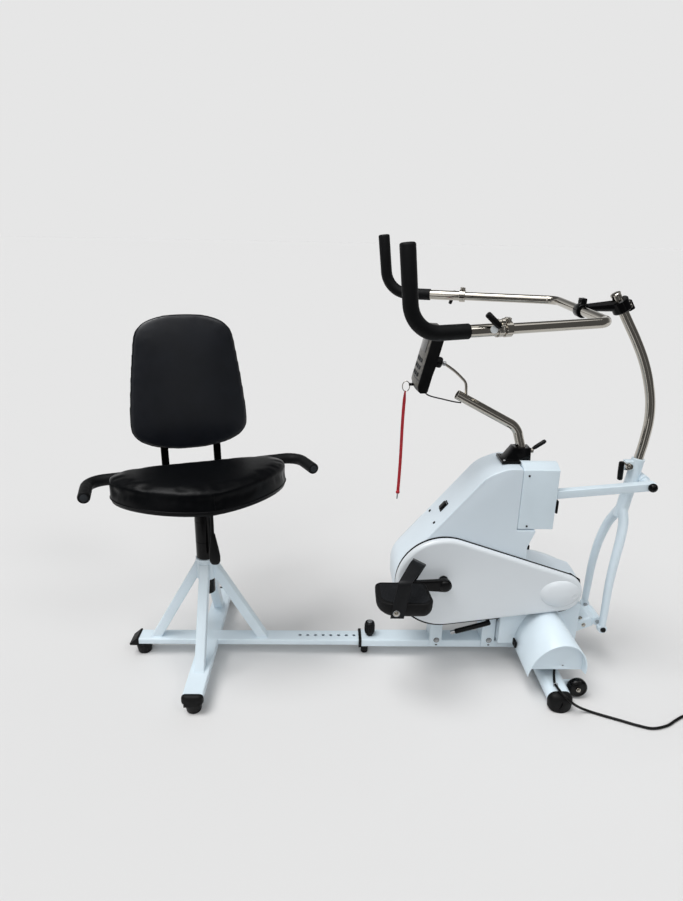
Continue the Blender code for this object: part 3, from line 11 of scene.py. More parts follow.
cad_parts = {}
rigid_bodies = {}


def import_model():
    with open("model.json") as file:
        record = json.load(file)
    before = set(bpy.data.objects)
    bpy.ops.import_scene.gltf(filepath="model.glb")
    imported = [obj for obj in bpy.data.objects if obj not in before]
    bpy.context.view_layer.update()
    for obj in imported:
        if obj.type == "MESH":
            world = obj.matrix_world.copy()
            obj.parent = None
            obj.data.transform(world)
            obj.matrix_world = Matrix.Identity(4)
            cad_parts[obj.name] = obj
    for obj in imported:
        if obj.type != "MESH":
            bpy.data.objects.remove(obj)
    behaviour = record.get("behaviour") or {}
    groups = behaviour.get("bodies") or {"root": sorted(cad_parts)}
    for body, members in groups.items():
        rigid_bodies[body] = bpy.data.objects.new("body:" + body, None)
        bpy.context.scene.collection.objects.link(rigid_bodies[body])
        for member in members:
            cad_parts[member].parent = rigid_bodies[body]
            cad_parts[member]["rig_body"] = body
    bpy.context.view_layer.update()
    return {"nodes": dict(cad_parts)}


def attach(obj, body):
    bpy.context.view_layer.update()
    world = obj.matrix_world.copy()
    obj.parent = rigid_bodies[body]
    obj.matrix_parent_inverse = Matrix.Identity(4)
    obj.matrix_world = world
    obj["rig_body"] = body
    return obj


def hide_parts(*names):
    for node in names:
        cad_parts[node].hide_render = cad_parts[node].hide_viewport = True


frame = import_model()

bl_info = {
    "name": "Motorized therapy bike",
    "version": (1, 0, 0),
    "blender": (4, 5, 0),
    "location": "View3D > Sidebar > Therapy bike",
    "description": "Builds the visible pieces and finishes of a pedal and arm trainer with a swivel seat",
    "category": "Object",
}

# Driving dimensions in metres, shared with the frame
GAP = 0.0003
SIDES = (("near", -1), ("far", 1))
WALL = 0.003
SLIDER_WIDTH = 0.054
SLIDER_BASE = 0.041
SLIDER_TOP = 0.061
SLIDER_START = -0.727
SLIDER_END = 0.21
HOLE_PITCH = 0.0254
HOLE_COUNT = 15
KNOB_X = 0.0232

SEAT_X = -0.5
SEAT_YAW = radians(19.0)
BEAM_REACH = 0.286
BEAM_WIDTH = 0.06
STRUT_SIZE = 0.03
STRUT_FOOT = 0.172
STRUT_HEAD = 0.03
STRUT_HEAD_Z = 0.308
COLLAR_RADIUS = 0.031
COLLAR_BASE = 0.28
COLLAR_TOP = 0.35
LIFT_RADIUS = 0.025
SHEATH_RADIUS = 0.0278
POST_TOP = 0.545
CUSHION_BASE = 0.566
CUSHION_CROWN = 0.08
CUSHION_HALF_WIDTH = 0.264
CUSHION_FRONT = 0.19
CUSHION_REAR = 0.072
BACK_BASE = 0.648
BACK_TOP = 1.069
BACK_REAR = 0.225
BACK_THICKNESS = 0.046
BACK_LEAN = 0.123
HANDLE_Z = 0.595
HANDLE_BACK = 0.13
HANDLE_SIDE = 0.332
HANDLE_END = -0.003
HANDLE_TURN = radians(2.6)
HANDLE_SHIFT = 0.015

STABILIZER_X = 0.569
STABILIZER_WIDTH = 0.072
STABILIZER_BASE = 0.014
STABILIZER_TOP = 0.054
STABILIZER_REACH = 0.262
WHEEL_X = 0.638
WHEEL_Y = 0.216
WHEEL_Z = 0.0335
WHEEL_RADIUS = 0.03

CASE_HALF = 0.077
CASE_BOTTOM = 0.178
FAIRING_BOTTOM = 0.2275
CASE_TOP = 0.681
CASE_BACK = 0.447
SHELF_Z = 0.486
SWITCH_PLACE = 0.2338
COVER_DEPTH = 0.028
COVER_BIG = (0.2345, 0.318, 0.1465)
COVER_SMALL = (0.6, 0.285, 0.063)
PANEL_FOOT = Vector((0.0885, 0.0, 0.348))
PANEL_ALONG = Vector((0.634, 0.0, 0.7733))
PANEL_OUT = Vector((-0.7733, 0.0, 0.634))

CRANK_X = 0.2315
CRANK_Z = 0.332
CRANK_LENGTH = 0.12
ARM_INNER = 0.128
ARM_OUTER = 0.142
PEDAL_INNER = 0.158
PEDAL_OUTER = 0.275
PEDAL_LENGTH = 0.162
PEDAL_TOP = 0.023
STRAP_WIDTH = 0.045

HOUSING_START = 0.4305
HOUSING_END = 0.68
HOUSING_HALF = 0.066
HOUSING_BASE = 0.08
HOOD_NEAR = -0.225
HOOD_FAR = -0.0664
HOOD_LEAN = 0.017

PIVOT_X = 0.8325
PIVOT_Z = 0.626
BAR_Y = -0.057
BAR_SIZE = 0.025
COLUMN_X = 0.8035
COLUMN_LEAN = 0.1405
MAST_RADIUS = 0.0136
ROD_END_X = 0.7555
ROD_END_Z = 0.144
ROD_END_Y = 0.072

BAR_X = 0.5775
BAR_Z = 1.124
BAR_DROP = 0.013
BAR_ROLL = radians(2.3)
BAR_SHIFT = 0.0063
BAR_HALF = 0.199
BAR_SPREAD = 0.325
BAR_RADIUS = 0.013
HANDLE_START_X = 0.31
ELBOW_X = 0.0685
GRIP_TOP_X = 0.048
GRIP_TOP_Z = 1.2995
FOAM_RADIUS = 0.018

CONSOLE_AXIS_X = 0.452
CONSOLE_AXIS_Z = 0.726
CONSOLE_LEAN = (-0.292, 0.0, 0.9564)
CONSOLE_TUBE = 0.014
CONSOLE_HALF = 0.07
FACE_BULGE = 0.005
TILT_X = 0.19

CORD_RADIUS = 0.0038
COIL_X = 1.05
COIL_Y = -0.232
COIL_OUTER = 0.055
COIL_PITCH = 0.0086
COIL_STEP = 0.0084
COIL_POINTS = 24

RAIL_WIDTH = 0.06
RAIL_BASE = 0.038
RAIL_TOP = 0.064
RAIL_START = -0.004
RAIL_END = 0.5325
LIFT_BASE = 0.228
LIFT_TOP = 0.49
LIFT_ROD_RADIUS = 0.014
PAN_TOP = 0.5653
PULLEY_RADIUS = 0.105
PULLEY_INNER = -0.018
PULLEY_OUTER = -0.04
MOTOR_X = 0.572
MOTOR_Z = 0.145

# The photograph's camera: focal length in pixels of the 683 by 901 frame, turns in radians
FOCAL_PIXELS = 628.493
LONG_SIDE = 901.0
CAMERA_EYE = (-0.12, -1.764125, 1.311)
CAMERA_PITCH = 0.3307
CAMERA_YAW = 0.0225
CAMERA_ROLL = -0.0189


def new_object(name, data):
    obj = bpy.data.objects.new(name, data)
    bpy.context.scene.collection.objects.link(obj)
    return obj


# Shapes: each gives a mesh in world coordinates

def to_mesh(bm, name="shape"):
    bmesh.ops.recalc_face_normals(bm, faces=bm.faces)
    mesh = bpy.data.meshes.new(name)
    bm.to_mesh(mesh)
    bm.free()
    return mesh


def round_edges(bm, width, segments=3, along=None, limit=30.0):
    edges = []
    for edge in bm.edges:
        if not edge.is_manifold or edge.calc_face_angle() < radians(limit):
            continue
        run = (edge.verts[1].co - edge.verts[0].co).normalized()
        if along is None or abs(run.dot(Vector(along))) > 0.99:
            edges.append(edge)
    bmesh.ops.bevel(bm, geom=edges, offset=width, segments=segments, profile=0.5, affect="EDGES")


def box(low, high, bevel=0.001, segments=3, along=None):
    bm = bmesh.new()
    size = [high[i] - low[i] for i in range(3)]
    middle = [(high[i] + low[i]) / 2 for i in range(3)]
    bmesh.ops.create_cube(bm, size=1.0, matrix=Matrix.Translation(middle) @ Matrix.Diagonal((*size, 1.0)))
    if bevel:
        round_edges(bm, bevel, segments, along)
    return to_mesh(bm)


def frame_along(start, end, up=(0, 0, 1)):
    """Matrix at the middle of start-end whose Z runs along it and whose Y leans to up."""
    start = Vector(start)
    end = Vector(end)
    z_axis = (end - start).normalized()
    x_axis = Vector(up).cross(z_axis)
    if x_axis.length < 1e-4:
        x_axis = Vector((1, 0, 0)).cross(z_axis)
    x_axis.normalize()
    y_axis = z_axis.cross(x_axis)
    turn = Matrix((x_axis, y_axis, z_axis)).transposed().to_4x4()
    return Matrix.Translation((start + end) / 2) @ turn


def bar(start, end, width, height, bevel=0.001, up=(0, 0, 1), segments=3):
    """Bar from start to end; height is measured towards up."""
    length = (Vector(end) - Vector(start)).length
    bm = bmesh.new()
    bmesh.ops.create_cube(bm, size=1.0, matrix=Matrix.Diagonal((width, height, length, 1.0)))
    if bevel:
        round_edges(bm, bevel, segments)
    bmesh.ops.transform(bm, matrix=frame_along(start, end, up), verts=bm.verts)
    return to_mesh(bm)


def rod(start, end, radius, radius_end=None, sides=48, bevel=0.0, segments=3):
    length = (Vector(end) - Vector(start)).length
    bm = bmesh.new()
    bmesh.ops.create_cone(bm, cap_ends=True, segments=sides, radius1=radius,
                          radius2=radius if radius_end is None else radius_end, depth=length)
    if bevel:
        round_edges(bm, bevel, segments, limit=50.0)
    bmesh.ops.transform(bm, matrix=frame_along(start, end), verts=bm.verts)
    return to_mesh(bm)


def cross_rod(x, z, start, end, radius, **look):
    """Rod along Y."""
    return rod((x, start, z), (x, end, z), radius, **look)


def turned(start, end, profile, sides=48):
    """Solid turned on the line start-end; profile lists (distance along it, radius)."""
    bm = bmesh.new()
    rings = []
    for reach, radius in profile:
        ring = []
        for index in range(sides):
            angle = tau * index / sides
            ring.append(bm.verts.new((radius * cos(angle), radius * sin(angle), reach)))
        rings.append(ring)
    for lower, upper in zip(rings, rings[1:]):
        for index in range(sides):
            after = (index + 1) % sides
            bm.faces.new((lower[index], lower[after], upper[after], upper[index]))
    bm.faces.new(rings[0])
    bm.faces.new(rings[-1])
    place = frame_along(start, end)
    place.translation = Vector(start)
    bmesh.ops.transform(bm, matrix=place, verts=bm.verts)
    return to_mesh(bm)


def ball(centre, radii, segments=40, rings=24):
    bm = bmesh.new()
    place = Matrix.Translation(centre) @ Matrix.Diagonal((*radii, 1.0))
    bmesh.ops.create_uvsphere(bm, u_segments=segments, v_segments=rings, radius=1.0, matrix=place)
    return to_mesh(bm)


def curve_mesh(curve):
    holder = new_object("curve", curve)
    bpy.context.view_layer.update()
    evaluated = holder.evaluated_get(bpy.context.evaluated_depsgraph_get())
    mesh = bpy.data.meshes.new_from_object(evaluated)
    bpy.data.objects.remove(holder)
    bpy.data.curves.remove(curve)
    bm = bmesh.new()
    bm.from_mesh(mesh)
    bpy.data.meshes.remove(mesh)
    bmesh.ops.remove_doubles(bm, verts=bm.verts, dist=0.00001)
    return bm


def path_curve(points, closed=False, radii=None):
    """Curve through the points, without thickness."""
    curve = bpy.data.curves.new("path", "CURVE")
    curve.dimensions = "3D"
    spline = curve.splines.new("POLY")
    spline.points.add(len(points) - 1)
    for index, point in enumerate(points):
        spline.points[index].co = (*point, 1.0)
        if radii:
            spline.points[index].radius = radii[index]
    spline.use_cyclic_u = closed
    return curve


def tube(points, radius, resolution=10, radii=None, closed=False):
    """Round tube through the points, with a factor of the radius at each if radii is given."""
    curve = path_curve(points, closed, radii)
    curve.bevel_depth = radius
    curve.bevel_resolution = resolution
    curve.use_fill_caps = True
    return to_mesh(curve_mesh(curve))


def prism(outline, low_y, high_y, bevel=0.0, segments=3):
    """Flat outline of (x, z) points, extruded from low_y to high_y."""
    curve = bpy.data.curves.new("outline", "CURVE")
    curve.dimensions = "2D"
    curve.fill_mode = "BOTH"
    curve.extrude = (high_y - low_y) / 2
    spline = curve.splines.new("POLY")
    spline.points.add(len(outline) - 1)
    for index, (x, z) in enumerate(outline):
        spline.points[index].co = (x, z, 0.0, 1.0)
    spline.use_cyclic_u = True
    bm = curve_mesh(curve)
    bmesh.ops.dissolve_limit(bm, angle_limit=radians(0.5), verts=bm.verts, edges=bm.edges)
    stand = Matrix.Translation((0, (low_y + high_y) / 2, 0)) @ Matrix.Rotation(radians(90.0), 4, "X")
    bmesh.ops.transform(bm, matrix=stand, verts=bm.verts)
    if bevel:
        rim = [edge for edge in bm.edges
               if abs(edge.verts[0].co.y - edge.verts[1].co.y) < 1e-6 and edge.calc_face_angle() > 1.0]
        bmesh.ops.bevel(bm, geom=rim, offset=bevel, segments=segments, profile=0.5, affect="EDGES")
    return to_mesh(bm)


def loft(rings):
    """Skin through closed rings with the same number of points, capped at both ends."""
    bm = bmesh.new()
    rows = [[bm.verts.new(point) for point in ring] for ring in rings]
    count = len(rows[0])
    for lower, upper in zip(rows, rows[1:]):
        for index in range(count):
            after = (index + 1) % count
            bm.faces.new((lower[index], lower[after], upper[after], upper[index]))
    bm.faces.new(rows[0])
    bm.faces.new(rows[-1])
    return to_mesh(bm)


# Outlines and routes

def fillet(corners, steps=10, closed=True):
    """Corners (a, b, radius) in a plane, or (a, b, c, radius) in space, with each one rounded."""
    result = []
    count = len(corners)
    for index, corner in enumerate(corners):
        here = Vector(corner[:-1])
        radius = corner[-1]
        if radius <= 0 or (not closed and index in (0, count - 1)):
            result.append(tuple(here))
            continue
        back = (Vector(corners[index - 1][:-1]) - here).normalized()
        ahead = (Vector(corners[(index + 1) % count][:-1]) - here).normalized()
        turn = pi - back.angle(ahead)
        reach = radius * tan(turn / 2)
        middle = (back + ahead).normalized() * (radius / cos(turn / 2))
        start = back * reach - middle
        end = ahead * reach - middle
        for step in range(steps + 1):
            part = step / steps
            spoke = start * sin((1 - part) * turn) + end * sin(part * turn)
            result.append(tuple(here + middle + spoke / sin(turn)))
    return result


def inset(corners, shift):
    """Corners (x, z, radius) listed clockwise, moved so that every edge lies further in by shift."""
    result = []
    count = len(corners)
    for index, (x, z, radius) in enumerate(corners):
        before = corners[index - 1]
        after = corners[(index + 1) % count]
        enter = Vector((x - before[0], z - before[1])).normalized()
        leave = Vector((after[0] - x, after[1] - z)).normalized()
        first = Vector((enter.y, -enter.x))
        second = Vector((leave.y, -leave.x))
        move = (first + second) * (shift / (1 + first.dot(second)))
        convex = enter.x * leave.y - enter.y * leave.x < 0
        result.append((x + move.x, z + move.y, max(0.0, radius - shift) if convex else radius + shift))
    return result


def smooth_route(knots, step):
    """Points about one step apart on a Catmull-Rom curve through the knots."""
    knots = [Vector(knot) for knot in knots]
    ends = [knots[0] * 2 - knots[1]] + knots + [knots[-1] * 2 - knots[-2]]
    points = [knots[0]]
    for before, start, end, after in zip(ends, ends[1:], ends[2:], ends[3:]):
        pieces = max(1, round((end - start).length / step))
        for piece in range(1, pieces + 1):
            t = piece / pieces
            pull = (end - before) * t + (before * 2 - start * 5 + end * 4 - after) * t ** 2
            curl = (start * 3 - before - end * 3 + after) * t ** 3
            points.append(start + (pull + curl) * 0.5)
    return [tuple(point) for point in points]


def circle_pair(big, small, shrink=0.0, steps=48):
    """Outline of a belt round two circles (x, z, radius) in the XZ plane."""
    apart = hypot(small[0] - big[0], small[1] - big[1])
    lean = atan2(small[1] - big[1], small[0] - big[0])
    tilt = acos((big[2] - small[2]) / apart)
    outline = []
    sweeps = ((big, lean + tilt, lean + tau - tilt), (small, lean - tilt, lean + tilt))
    for centre, start, end in sweeps:
        for step in range(steps + 1):
            angle = start + (end - start) * step / steps
            radius = centre[2] - shrink
            outline.append((centre[0] + radius * cos(angle), centre[1] + radius * sin(angle)))
    return outline


def seat_turned(mesh):
    """Turns a mesh made with +X across and -Y ahead of the lift column into the seat's frame."""
    mesh.transform(Matrix.Translation((SEAT_X, 0, 0)) @ Matrix.Rotation(SEAT_YAW, 4, "Z"))
    return mesh


def stem_turned(mesh):
    """Turns a mesh about the handlebar stem, which sits slightly rolled in its clamp."""
    pin = Matrix.Translation((0, 0, BAR_Z))
    mesh.transform(pin @ Matrix.Rotation(BAR_ROLL, 4, "X") @ pin.inverted())
    return mesh


def column_point(height):
    return (COLUMN_X + (height - PIVOT_Z) * COLUMN_LEAN, 0.0, height)


def panel_point(along, across=0.0, out=0.0):
    """Point on the sloped panel: along its slope, across it, and out from its face."""
    return PANEL_FOOT + PANEL_ALONG * along + PANEL_OUT * out + Vector((0, across, 0))


# Pieces

def evaluated_mesh(obj):
    bpy.context.view_layer.update()
    return bpy.data.meshes.new_from_object(obj.evaluated_get(bpy.context.evaluated_depsgraph_get()))


def carve(shapes, cuts=(), inside=(), within=()):
    """One mesh: shapes joined, less the cuts, joined with what stands inside, and kept within a region."""
    steps = [("UNION", shape) for shape in shapes[1:]] + [("DIFFERENCE", cut) for cut in cuts]
    steps += [("UNION", shape) for shape in inside] + [("INTERSECT", shape) for shape in within]
    if not steps:
        return shapes[0]
    work = new_object("work", shapes[0])
    tools = []
    for operation, mesh in steps:
        tool = new_object("tool", mesh)
        tools.append(tool)
        modifier = work.modifiers.new(operation.lower(), "BOOLEAN")
        modifier.operation = operation
        modifier.solver = "EXACT"
        modifier.object = tool
    result = evaluated_mesh(work)
    for obj in [work] + tools:
        bpy.data.objects.remove(obj)
    return result


def gather(meshes):
    """One mesh of several that don't touch."""
    bm = bmesh.new()
    for mesh in meshes:
        bm.from_mesh(mesh)
    result = bpy.data.meshes.new("gathered")
    bm.to_mesh(result)
    bm.free()
    return result


def dress(name, mesh, finish, node, replace=True, soften=0.0, smooth=35.0):
    """A finished piece that rides with a frame node, and stands for it when replace is set."""
    obj = new_object(name, mesh)
    if soften:
        modifier = obj.modifiers.new("soften", "BEVEL")
        modifier.width = soften
        modifier.segments = 2
        modifier.limit_method = "ANGLE"
        modifier.angle_limit = radians(40.0)
        soft = evaluated_mesh(obj)
        obj.modifiers.remove(modifier)
        obj.data = soft
    obj.data.name = name
    obj.data.materials.clear()
    obj.data.materials.append(FINISHES[finish])
    obj.data.shade_smooth()
    obj.data.set_sharp_from_angle(angle=radians(smooth))
    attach(obj, frame["nodes"][node]["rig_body"])
    if replace:
        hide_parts(node)
    return obj


def extra(name, mesh, finish, node, smooth=35.0):
    """A finished piece that rides with a node but stands for none."""
    return dress(name, mesh, finish, node, False, smooth=smooth)


FINISHES = {}


# Materials

def linear(code):
    """Linear colour of an sRGB hex code."""
    channels = [int(code[i:i + 2], 16) / 255 for i in (1, 3, 5)]
    return tuple(c / 12.92 if c <= 0.04045 else ((c + 0.055) / 1.055) ** 2.4 for c in channels)


def add_node(tree, kind, inputs=None, **settings):
    """Adds a node; an input is a value or another node's output socket."""
    node = tree.nodes.new(kind)
    for name, value in settings.items():
        setattr(node, name, value)
    for name, value in (inputs or {}).items():
        if isinstance(value, bpy.types.NodeSocket):
            tree.links.new(value, node.inputs[name])
        else:
            node.inputs[name].default_value = value
    return node


def compute(tree, operation, *values):
    """Result of a math node on its values or sockets."""
    return add_node(tree, "ShaderNodeMath", dict(enumerate(values)), operation=operation).outputs["Value"]


def per_millimetre(size):
    """Texture scale of a pattern whose cells are size millimetres wide."""
    return 1000.0 / size


def start_material(name, roughness, metallic=0.0, shine=0.5):
    material = bpy.data.materials.new(name)
    material.use_nodes = True
    tree = material.node_tree
    shader = tree.nodes["Principled BSDF"]
    shader.inputs["Roughness"].default_value = roughness
    shader.inputs["Metallic"].default_value = metallic
    shader.inputs["Specular IOR Level"].default_value = shine
    coords = add_node(tree, "ShaderNodeTexCoord")
    return material, tree, shader, coords.outputs["Object"]


def noise(tree, place, size, detail):
    """Noise in patches of a size in millimetres."""
    return add_node(tree, "ShaderNodeTexNoise", {"Vector": place, "Scale": per_millimetre(size),
                                                 "Detail": detail}).outputs["Fac"]


def two_tone(tree, shader, place, colour, spread, size):
    """Colour that wanders by a small share either side of its tone, in patches of a size in millimetres."""
    patches = noise(tree, place, size, 4.0)
    ramp = add_node(tree, "ShaderNodeValToRGB", {"Fac": patches})
    for element, position, level in zip(ramp.color_ramp.elements, (0.35, 0.65), (1 - spread, 1 + spread)):
        element.position = position
        element.color = (*[min(1.0, channel * level) for channel in colour], 1.0)
    tree.links.new(ramp.outputs["Color"], shader.inputs["Base Color"])


def vary_roughness(tree, shader, place, low, high, size):
    """Roughness that wanders between two values in patches of a size in millimetres."""
    smears = noise(tree, place, size, 5.0)
    spread = add_node(tree, "ShaderNodeMapRange", {"Value": smears, "From Min": 0.3, "From Max": 0.7,
                                                   "To Min": low, "To Max": high})
    tree.links.new(spread.outputs["Result"], shader.inputs["Roughness"])


def relief(tree, shader, height, depth, strength=1.0):
    """Bump of a depth in millimetres."""
    bump = add_node(tree, "ShaderNodeBump", {"Height": height, "Strength": strength, "Distance": depth / 1000.0})
    tree.links.new(bump.outputs["Normal"], shader.inputs["Normal"])


def powder_coat(colour):
    """White powder coat on steel tube: even, slightly glossy, with a fine orange peel."""
    material, tree, shader, place = start_material("powder_coated_steel", 0.34)
    two_tone(tree, shader, place, colour, 0.02, 90.0)
    vary_roughness(tree, shader, place, 0.29, 0.37, 30.0)
    # orange peel is about 0.8 mm wide; it is drawn 2.5 mm wide so that it shows
    peel = noise(tree, place, 2.5, 2.0)
    relief(tree, shader, peel, 0.03, 0.25)
    return material


def moulded_abs(name, colour, roughness):
    """Injection-moulded ABS: smoother than the paint; its fine moulding texture only softens highlights."""
    material, tree, shader, place = start_material(name, roughness)
    two_tone(tree, shader, place, colour, 0.008, 180.0)
    vary_roughness(tree, shader, place, roughness - 0.02, roughness + 0.03, 60.0)
    grain = noise(tree, place, 1.2, 3.0)
    relief(tree, shader, grain, 0.008, 0.1)
    return material


def vinyl_leather(name, colour, shine):
    """Black upholstery vinyl: small closed pebbles, soft sheen on the pulled edges."""
    material, tree, shader, place = start_material(name, 0.3, shine=shine)
    two_tone(tree, shader, place, colour, 0.12, 60.0)
    vary_roughness(tree, shader, place, 0.29, 0.36, 25.0)
    # embossed pebbles are about 0.9 mm; they are drawn 1.8 mm wide so that they show
    pebbles = add_node(tree, "ShaderNodeTexVoronoi", {"Vector": place, "Scale": per_millimetre(1.8)},
                       feature="DISTANCE_TO_EDGE")
    edge = add_node(tree, "ShaderNodeMapRange", {"Value": pebbles.outputs["Distance"], "From Min": 0.0,
                                                 "From Max": 0.12})
    creases = noise(tree, place, 7.0, 5.0)
    relief(tree, shader, compute(tree, "ADD", creases, edge.outputs["Result"]), 0.09, 0.3)
    return material


def metal(name, code, rough_low, rough_high, size):
    """Plated or bare steel; smears of handling change its roughness."""
    material, tree, shader, place = start_material(name, rough_low, 1.0)
    shader.inputs["Base Color"].default_value = (*linear(code), 1.0)
    vary_roughness(tree, shader, place, rough_low, rough_high, size)
    return material


def black_enamel():
    """Gloss black enamel on steel, with faint orange peel."""
    material, tree, shader, place = start_material("black_enamel_steel", 0.16, shine=0.16)
    two_tone(tree, shader, place, linear("#060607"), 0.15, 50.0)
    vary_roughness(tree, shader, place, 0.12, 0.24, 20.0)
    peel = noise(tree, place, 3.0, 2.0)
    relief(tree, shader, peel, 0.05, 0.35)
    return material


def moulded_black(name, code, roughness, grain_size, depth, shine=0.18):
    """Black moulding, rubber or foam whose grain has a given size and depth in millimetres."""
    material, tree, shader, place = start_material(name, roughness, shine=shine)
    two_tone(tree, shader, place, linear(code), 0.15, 25.0)
    vary_roughness(tree, shader, place, roughness - 0.08, min(1.0, roughness + 0.06), 12.0)
    grain = noise(tree, place, grain_size, 4.0)
    relief(tree, shader, grain, depth, 0.6)
    return material


def webbing(colour):
    """Red woven polyester tape: ribs across it 1.6 mm apart."""
    material, tree, shader, place = start_material("polyester_tape", 0.6)
    two_tone(tree, shader, place, colour, 0.15, 9.0)
    ribs = add_node(tree, "ShaderNodeTexWave", {"Vector": place, "Scale": per_millimetre(1.6) / tau,
                                                "Distortion": 0.4}, bands_direction="Z")
    relief(tree, shader, ribs.outputs["Fac"], 0.3, 0.8)
    return material


def silver_film():
    """Smoked silver film on the display's face, uneven in small patches."""
    material, tree, shader, place = start_material("smoked_silver_film", 0.34, 0.2, shine=0.25)
    two_tone(tree, shader, place, linear("#4A463E"), 0.8, 9.0)
    return material


# Finish, name of its material, colour, roughness, size and depth of the grain in millimetres, shine if not usual
BLACK_MOULDINGS = (
    ("black_screw", "blackened_screw_steel", "#0B0B0C", 0.38, 0.8, 0.03),
    ("black_abs", "black_abs", "#09090A", 0.38, 0.9, 0.04),
    ("wheel_black", "gloss_wheel_polyamide", "#040405", 0.14, 1.5, 0.02, 0.22),
    ("glass_black", "display_window_acrylic", "#050606", 0.12, 3.0, 0.01),
    ("rubber", "moulded_rubber", "#09090A", 0.52, 1.2, 0.08),
    ("pedal_rubber", "footplate_polypropylene", "#0B0B0C", 0.62, 1.0, 0.06),
    ("tread_rubber", "tread_rubber", "#26282B", 0.72, 1.0, 0.05),
    ("strap_rubber", "strap_rubber", "#151618", 0.48, 1.0, 0.08),
    ("foam", "closed_cell_foam", "#08090B", 0.6, 0.9, 0.12),
    ("end_grey", "foam_end_plug", "#2E3134", 0.55, 0.9, 0.05),
    ("cord", "pvc_cord_jacket", "#080808", 0.38, 2.0, 0.04),
)


def make_finishes(bike):
    FINISHES["powder_coat"] = powder_coat(bike.paint)
    FINISHES["white_abs"] = moulded_abs("white_abs", bike.casing, 0.31)
    FINISHES["cover_abs"] = moulded_abs("cover_abs", bike.covers, 0.24)
    # The seat and the backrest share one vinyl, made here as a darker and a lighter copy. The backrest's lighter colour
    # and stronger shine are painted light, standing for the sheen it catches.
    FINISHES["vinyl"] = vinyl_leather("upholstery_vinyl_seat_shaded_copy", bike.vinyl, 0.11)
    FINISHES["back_vinyl_painted_light"] = vinyl_leather("upholstery_vinyl_back_lit_copy", bike.back_vinyl_painted_light, 0.55)
    FINISHES["chrome"] = metal("chrome_plate", "#B9B4AB", 0.03, 0.09, 14.0)
    FINISHES["zinc"] = metal("zinc_plated_steel", "#B4B6B8", 0.29, 0.4, 4.0)
    FINISHES["bare_steel"] = metal("turned_steel", "#A5A7AA", 0.28, 0.42, 6.0)
    FINISHES["black_enamel"] = black_enamel()
    for finish, *look in BLACK_MOULDINGS:
        FINISHES[finish] = moulded_black(*look)
    FINISHES["tape"] = webbing(bike.tape)
    FINISHES["film"] = silver_film()
    FINISHES["white_disc"] = moulded_abs("white_polystyrene", linear("#E4E8EA"), 0.35)


# Geometry Nodes: trees for what repeats

def new_tree(name, sockets):
    tree = bpy.data.node_groups.new(name, "GeometryNodeTree")
    for label, kind in sockets:
        tree.interface.new_socket(label, in_out="INPUT", socket_type=kind)
    tree.interface.new_socket("Result", in_out="OUTPUT", socket_type="NodeSocketGeometry")
    return tree, tree.nodes.new("NodeGroupInput").outputs


def close_tree(tree, instances, finish):
    real = add_node(tree, "GeometryNodeRealizeInstances", {"Geometry": instances})
    painted = add_node(tree, "GeometryNodeSetMaterial", {"Geometry": real.outputs["Geometry"], "Material": finish})
    end = tree.nodes.new("NodeGroupOutput")
    tree.links.new(painted.outputs["Geometry"], end.inputs["Result"])
    return tree


def heads_tree():
    """Sets a head on each point, with its Z along the point's facing vector."""
    tree, given = new_tree("fastener_heads", (("Places", "NodeSocketGeometry"), ("Head", "NodeSocketObject"),
                                              ("Size", "NodeSocketFloat"), ("Finish", "NodeSocketMaterial")))
    facing = add_node(tree, "GeometryNodeInputNamedAttribute", {"Name": "facing"}, data_type="FLOAT_VECTOR")
    turn = add_node(tree, "FunctionNodeAlignRotationToVector", {"Vector": facing.outputs["Attribute"]}, axis="Z")
    head = add_node(tree, "GeometryNodeObjectInfo", {"Object": given["Head"]})
    heads = add_node(tree, "GeometryNodeInstanceOnPoints", {
        "Points": given["Places"], "Instance": head.outputs["Geometry"], "Rotation": turn.outputs["Rotation"],
        "Scale": given["Size"]})
    return close_tree(tree, heads.outputs["Instances"], given["Finish"])


def beads_tree():
    """Lays small rounded beads along a path: weld ripples, stitches or the ribs of a knob."""
    tree, given = new_tree("beads_on_path", (
        ("Path", "NodeSocketGeometry"), ("Spacing", "NodeSocketFloat"), ("Length", "NodeSocketFloat"),
        ("Width", "NodeSocketFloat"), ("Height", "NodeSocketFloat"), ("Unevenness", "NodeSocketFloat"),
        ("Finish", "NodeSocketMaterial")))
    steps = add_node(tree, "GeometryNodeResampleCurve", {"Curve": given["Path"], "Length": given["Spacing"]},
                     mode="LENGTH")
    along = add_node(tree, "GeometryNodeInputTangent")
    turn = add_node(tree, "FunctionNodeAlignRotationToVector", {"Vector": along.outputs["Tangent"]}, axis="X")
    bead = add_node(tree, "GeometryNodeMeshIcoSphere", {"Radius": 0.5, "Subdivisions": 2})
    size = add_node(tree, "ShaderNodeCombineXYZ", {"X": given["Length"], "Y": given["Width"], "Z": given["Height"]})
    low = compute(tree, "SUBTRACT", 1.0, given["Unevenness"])
    high = compute(tree, "ADD", 1.0, given["Unevenness"])
    random = add_node(tree, "FunctionNodeRandomValue", {"Seed": 7}, data_type="FLOAT")
    tree.links.new(low, random.inputs[2])
    tree.links.new(high, random.inputs[3])
    scaled = add_node(tree, "ShaderNodeVectorMath", {0: size.outputs["Vector"]}, operation="SCALE")
    tree.links.new(random.outputs[1], scaled.inputs["Scale"])
    beads = add_node(tree, "GeometryNodeInstanceOnPoints", {
        "Points": steps.outputs["Curve"], "Instance": bead.outputs["Mesh"], "Rotation": turn.outputs["Rotation"],
        "Scale": scaled.outputs["Vector"]})
    return close_tree(tree, beads.outputs["Instances"], given["Finish"])


def run_tree(tree, data, values):
    """Runs a tree on a mesh or curve with its named inputs set, and gives the plain mesh."""
    holder = new_object("holder", data)
    modifier = holder.modifiers.new("nodes", "NODES")
    modifier.node_group = tree
    sockets = {item.name: item.identifier for item in tree.interface.items_tree if item.in_out == "INPUT"}
    for name, value in values.items():
        modifier[sockets[name]] = value
    mesh = evaluated_mesh(holder)
    bpy.data.objects.remove(holder)
    return mesh


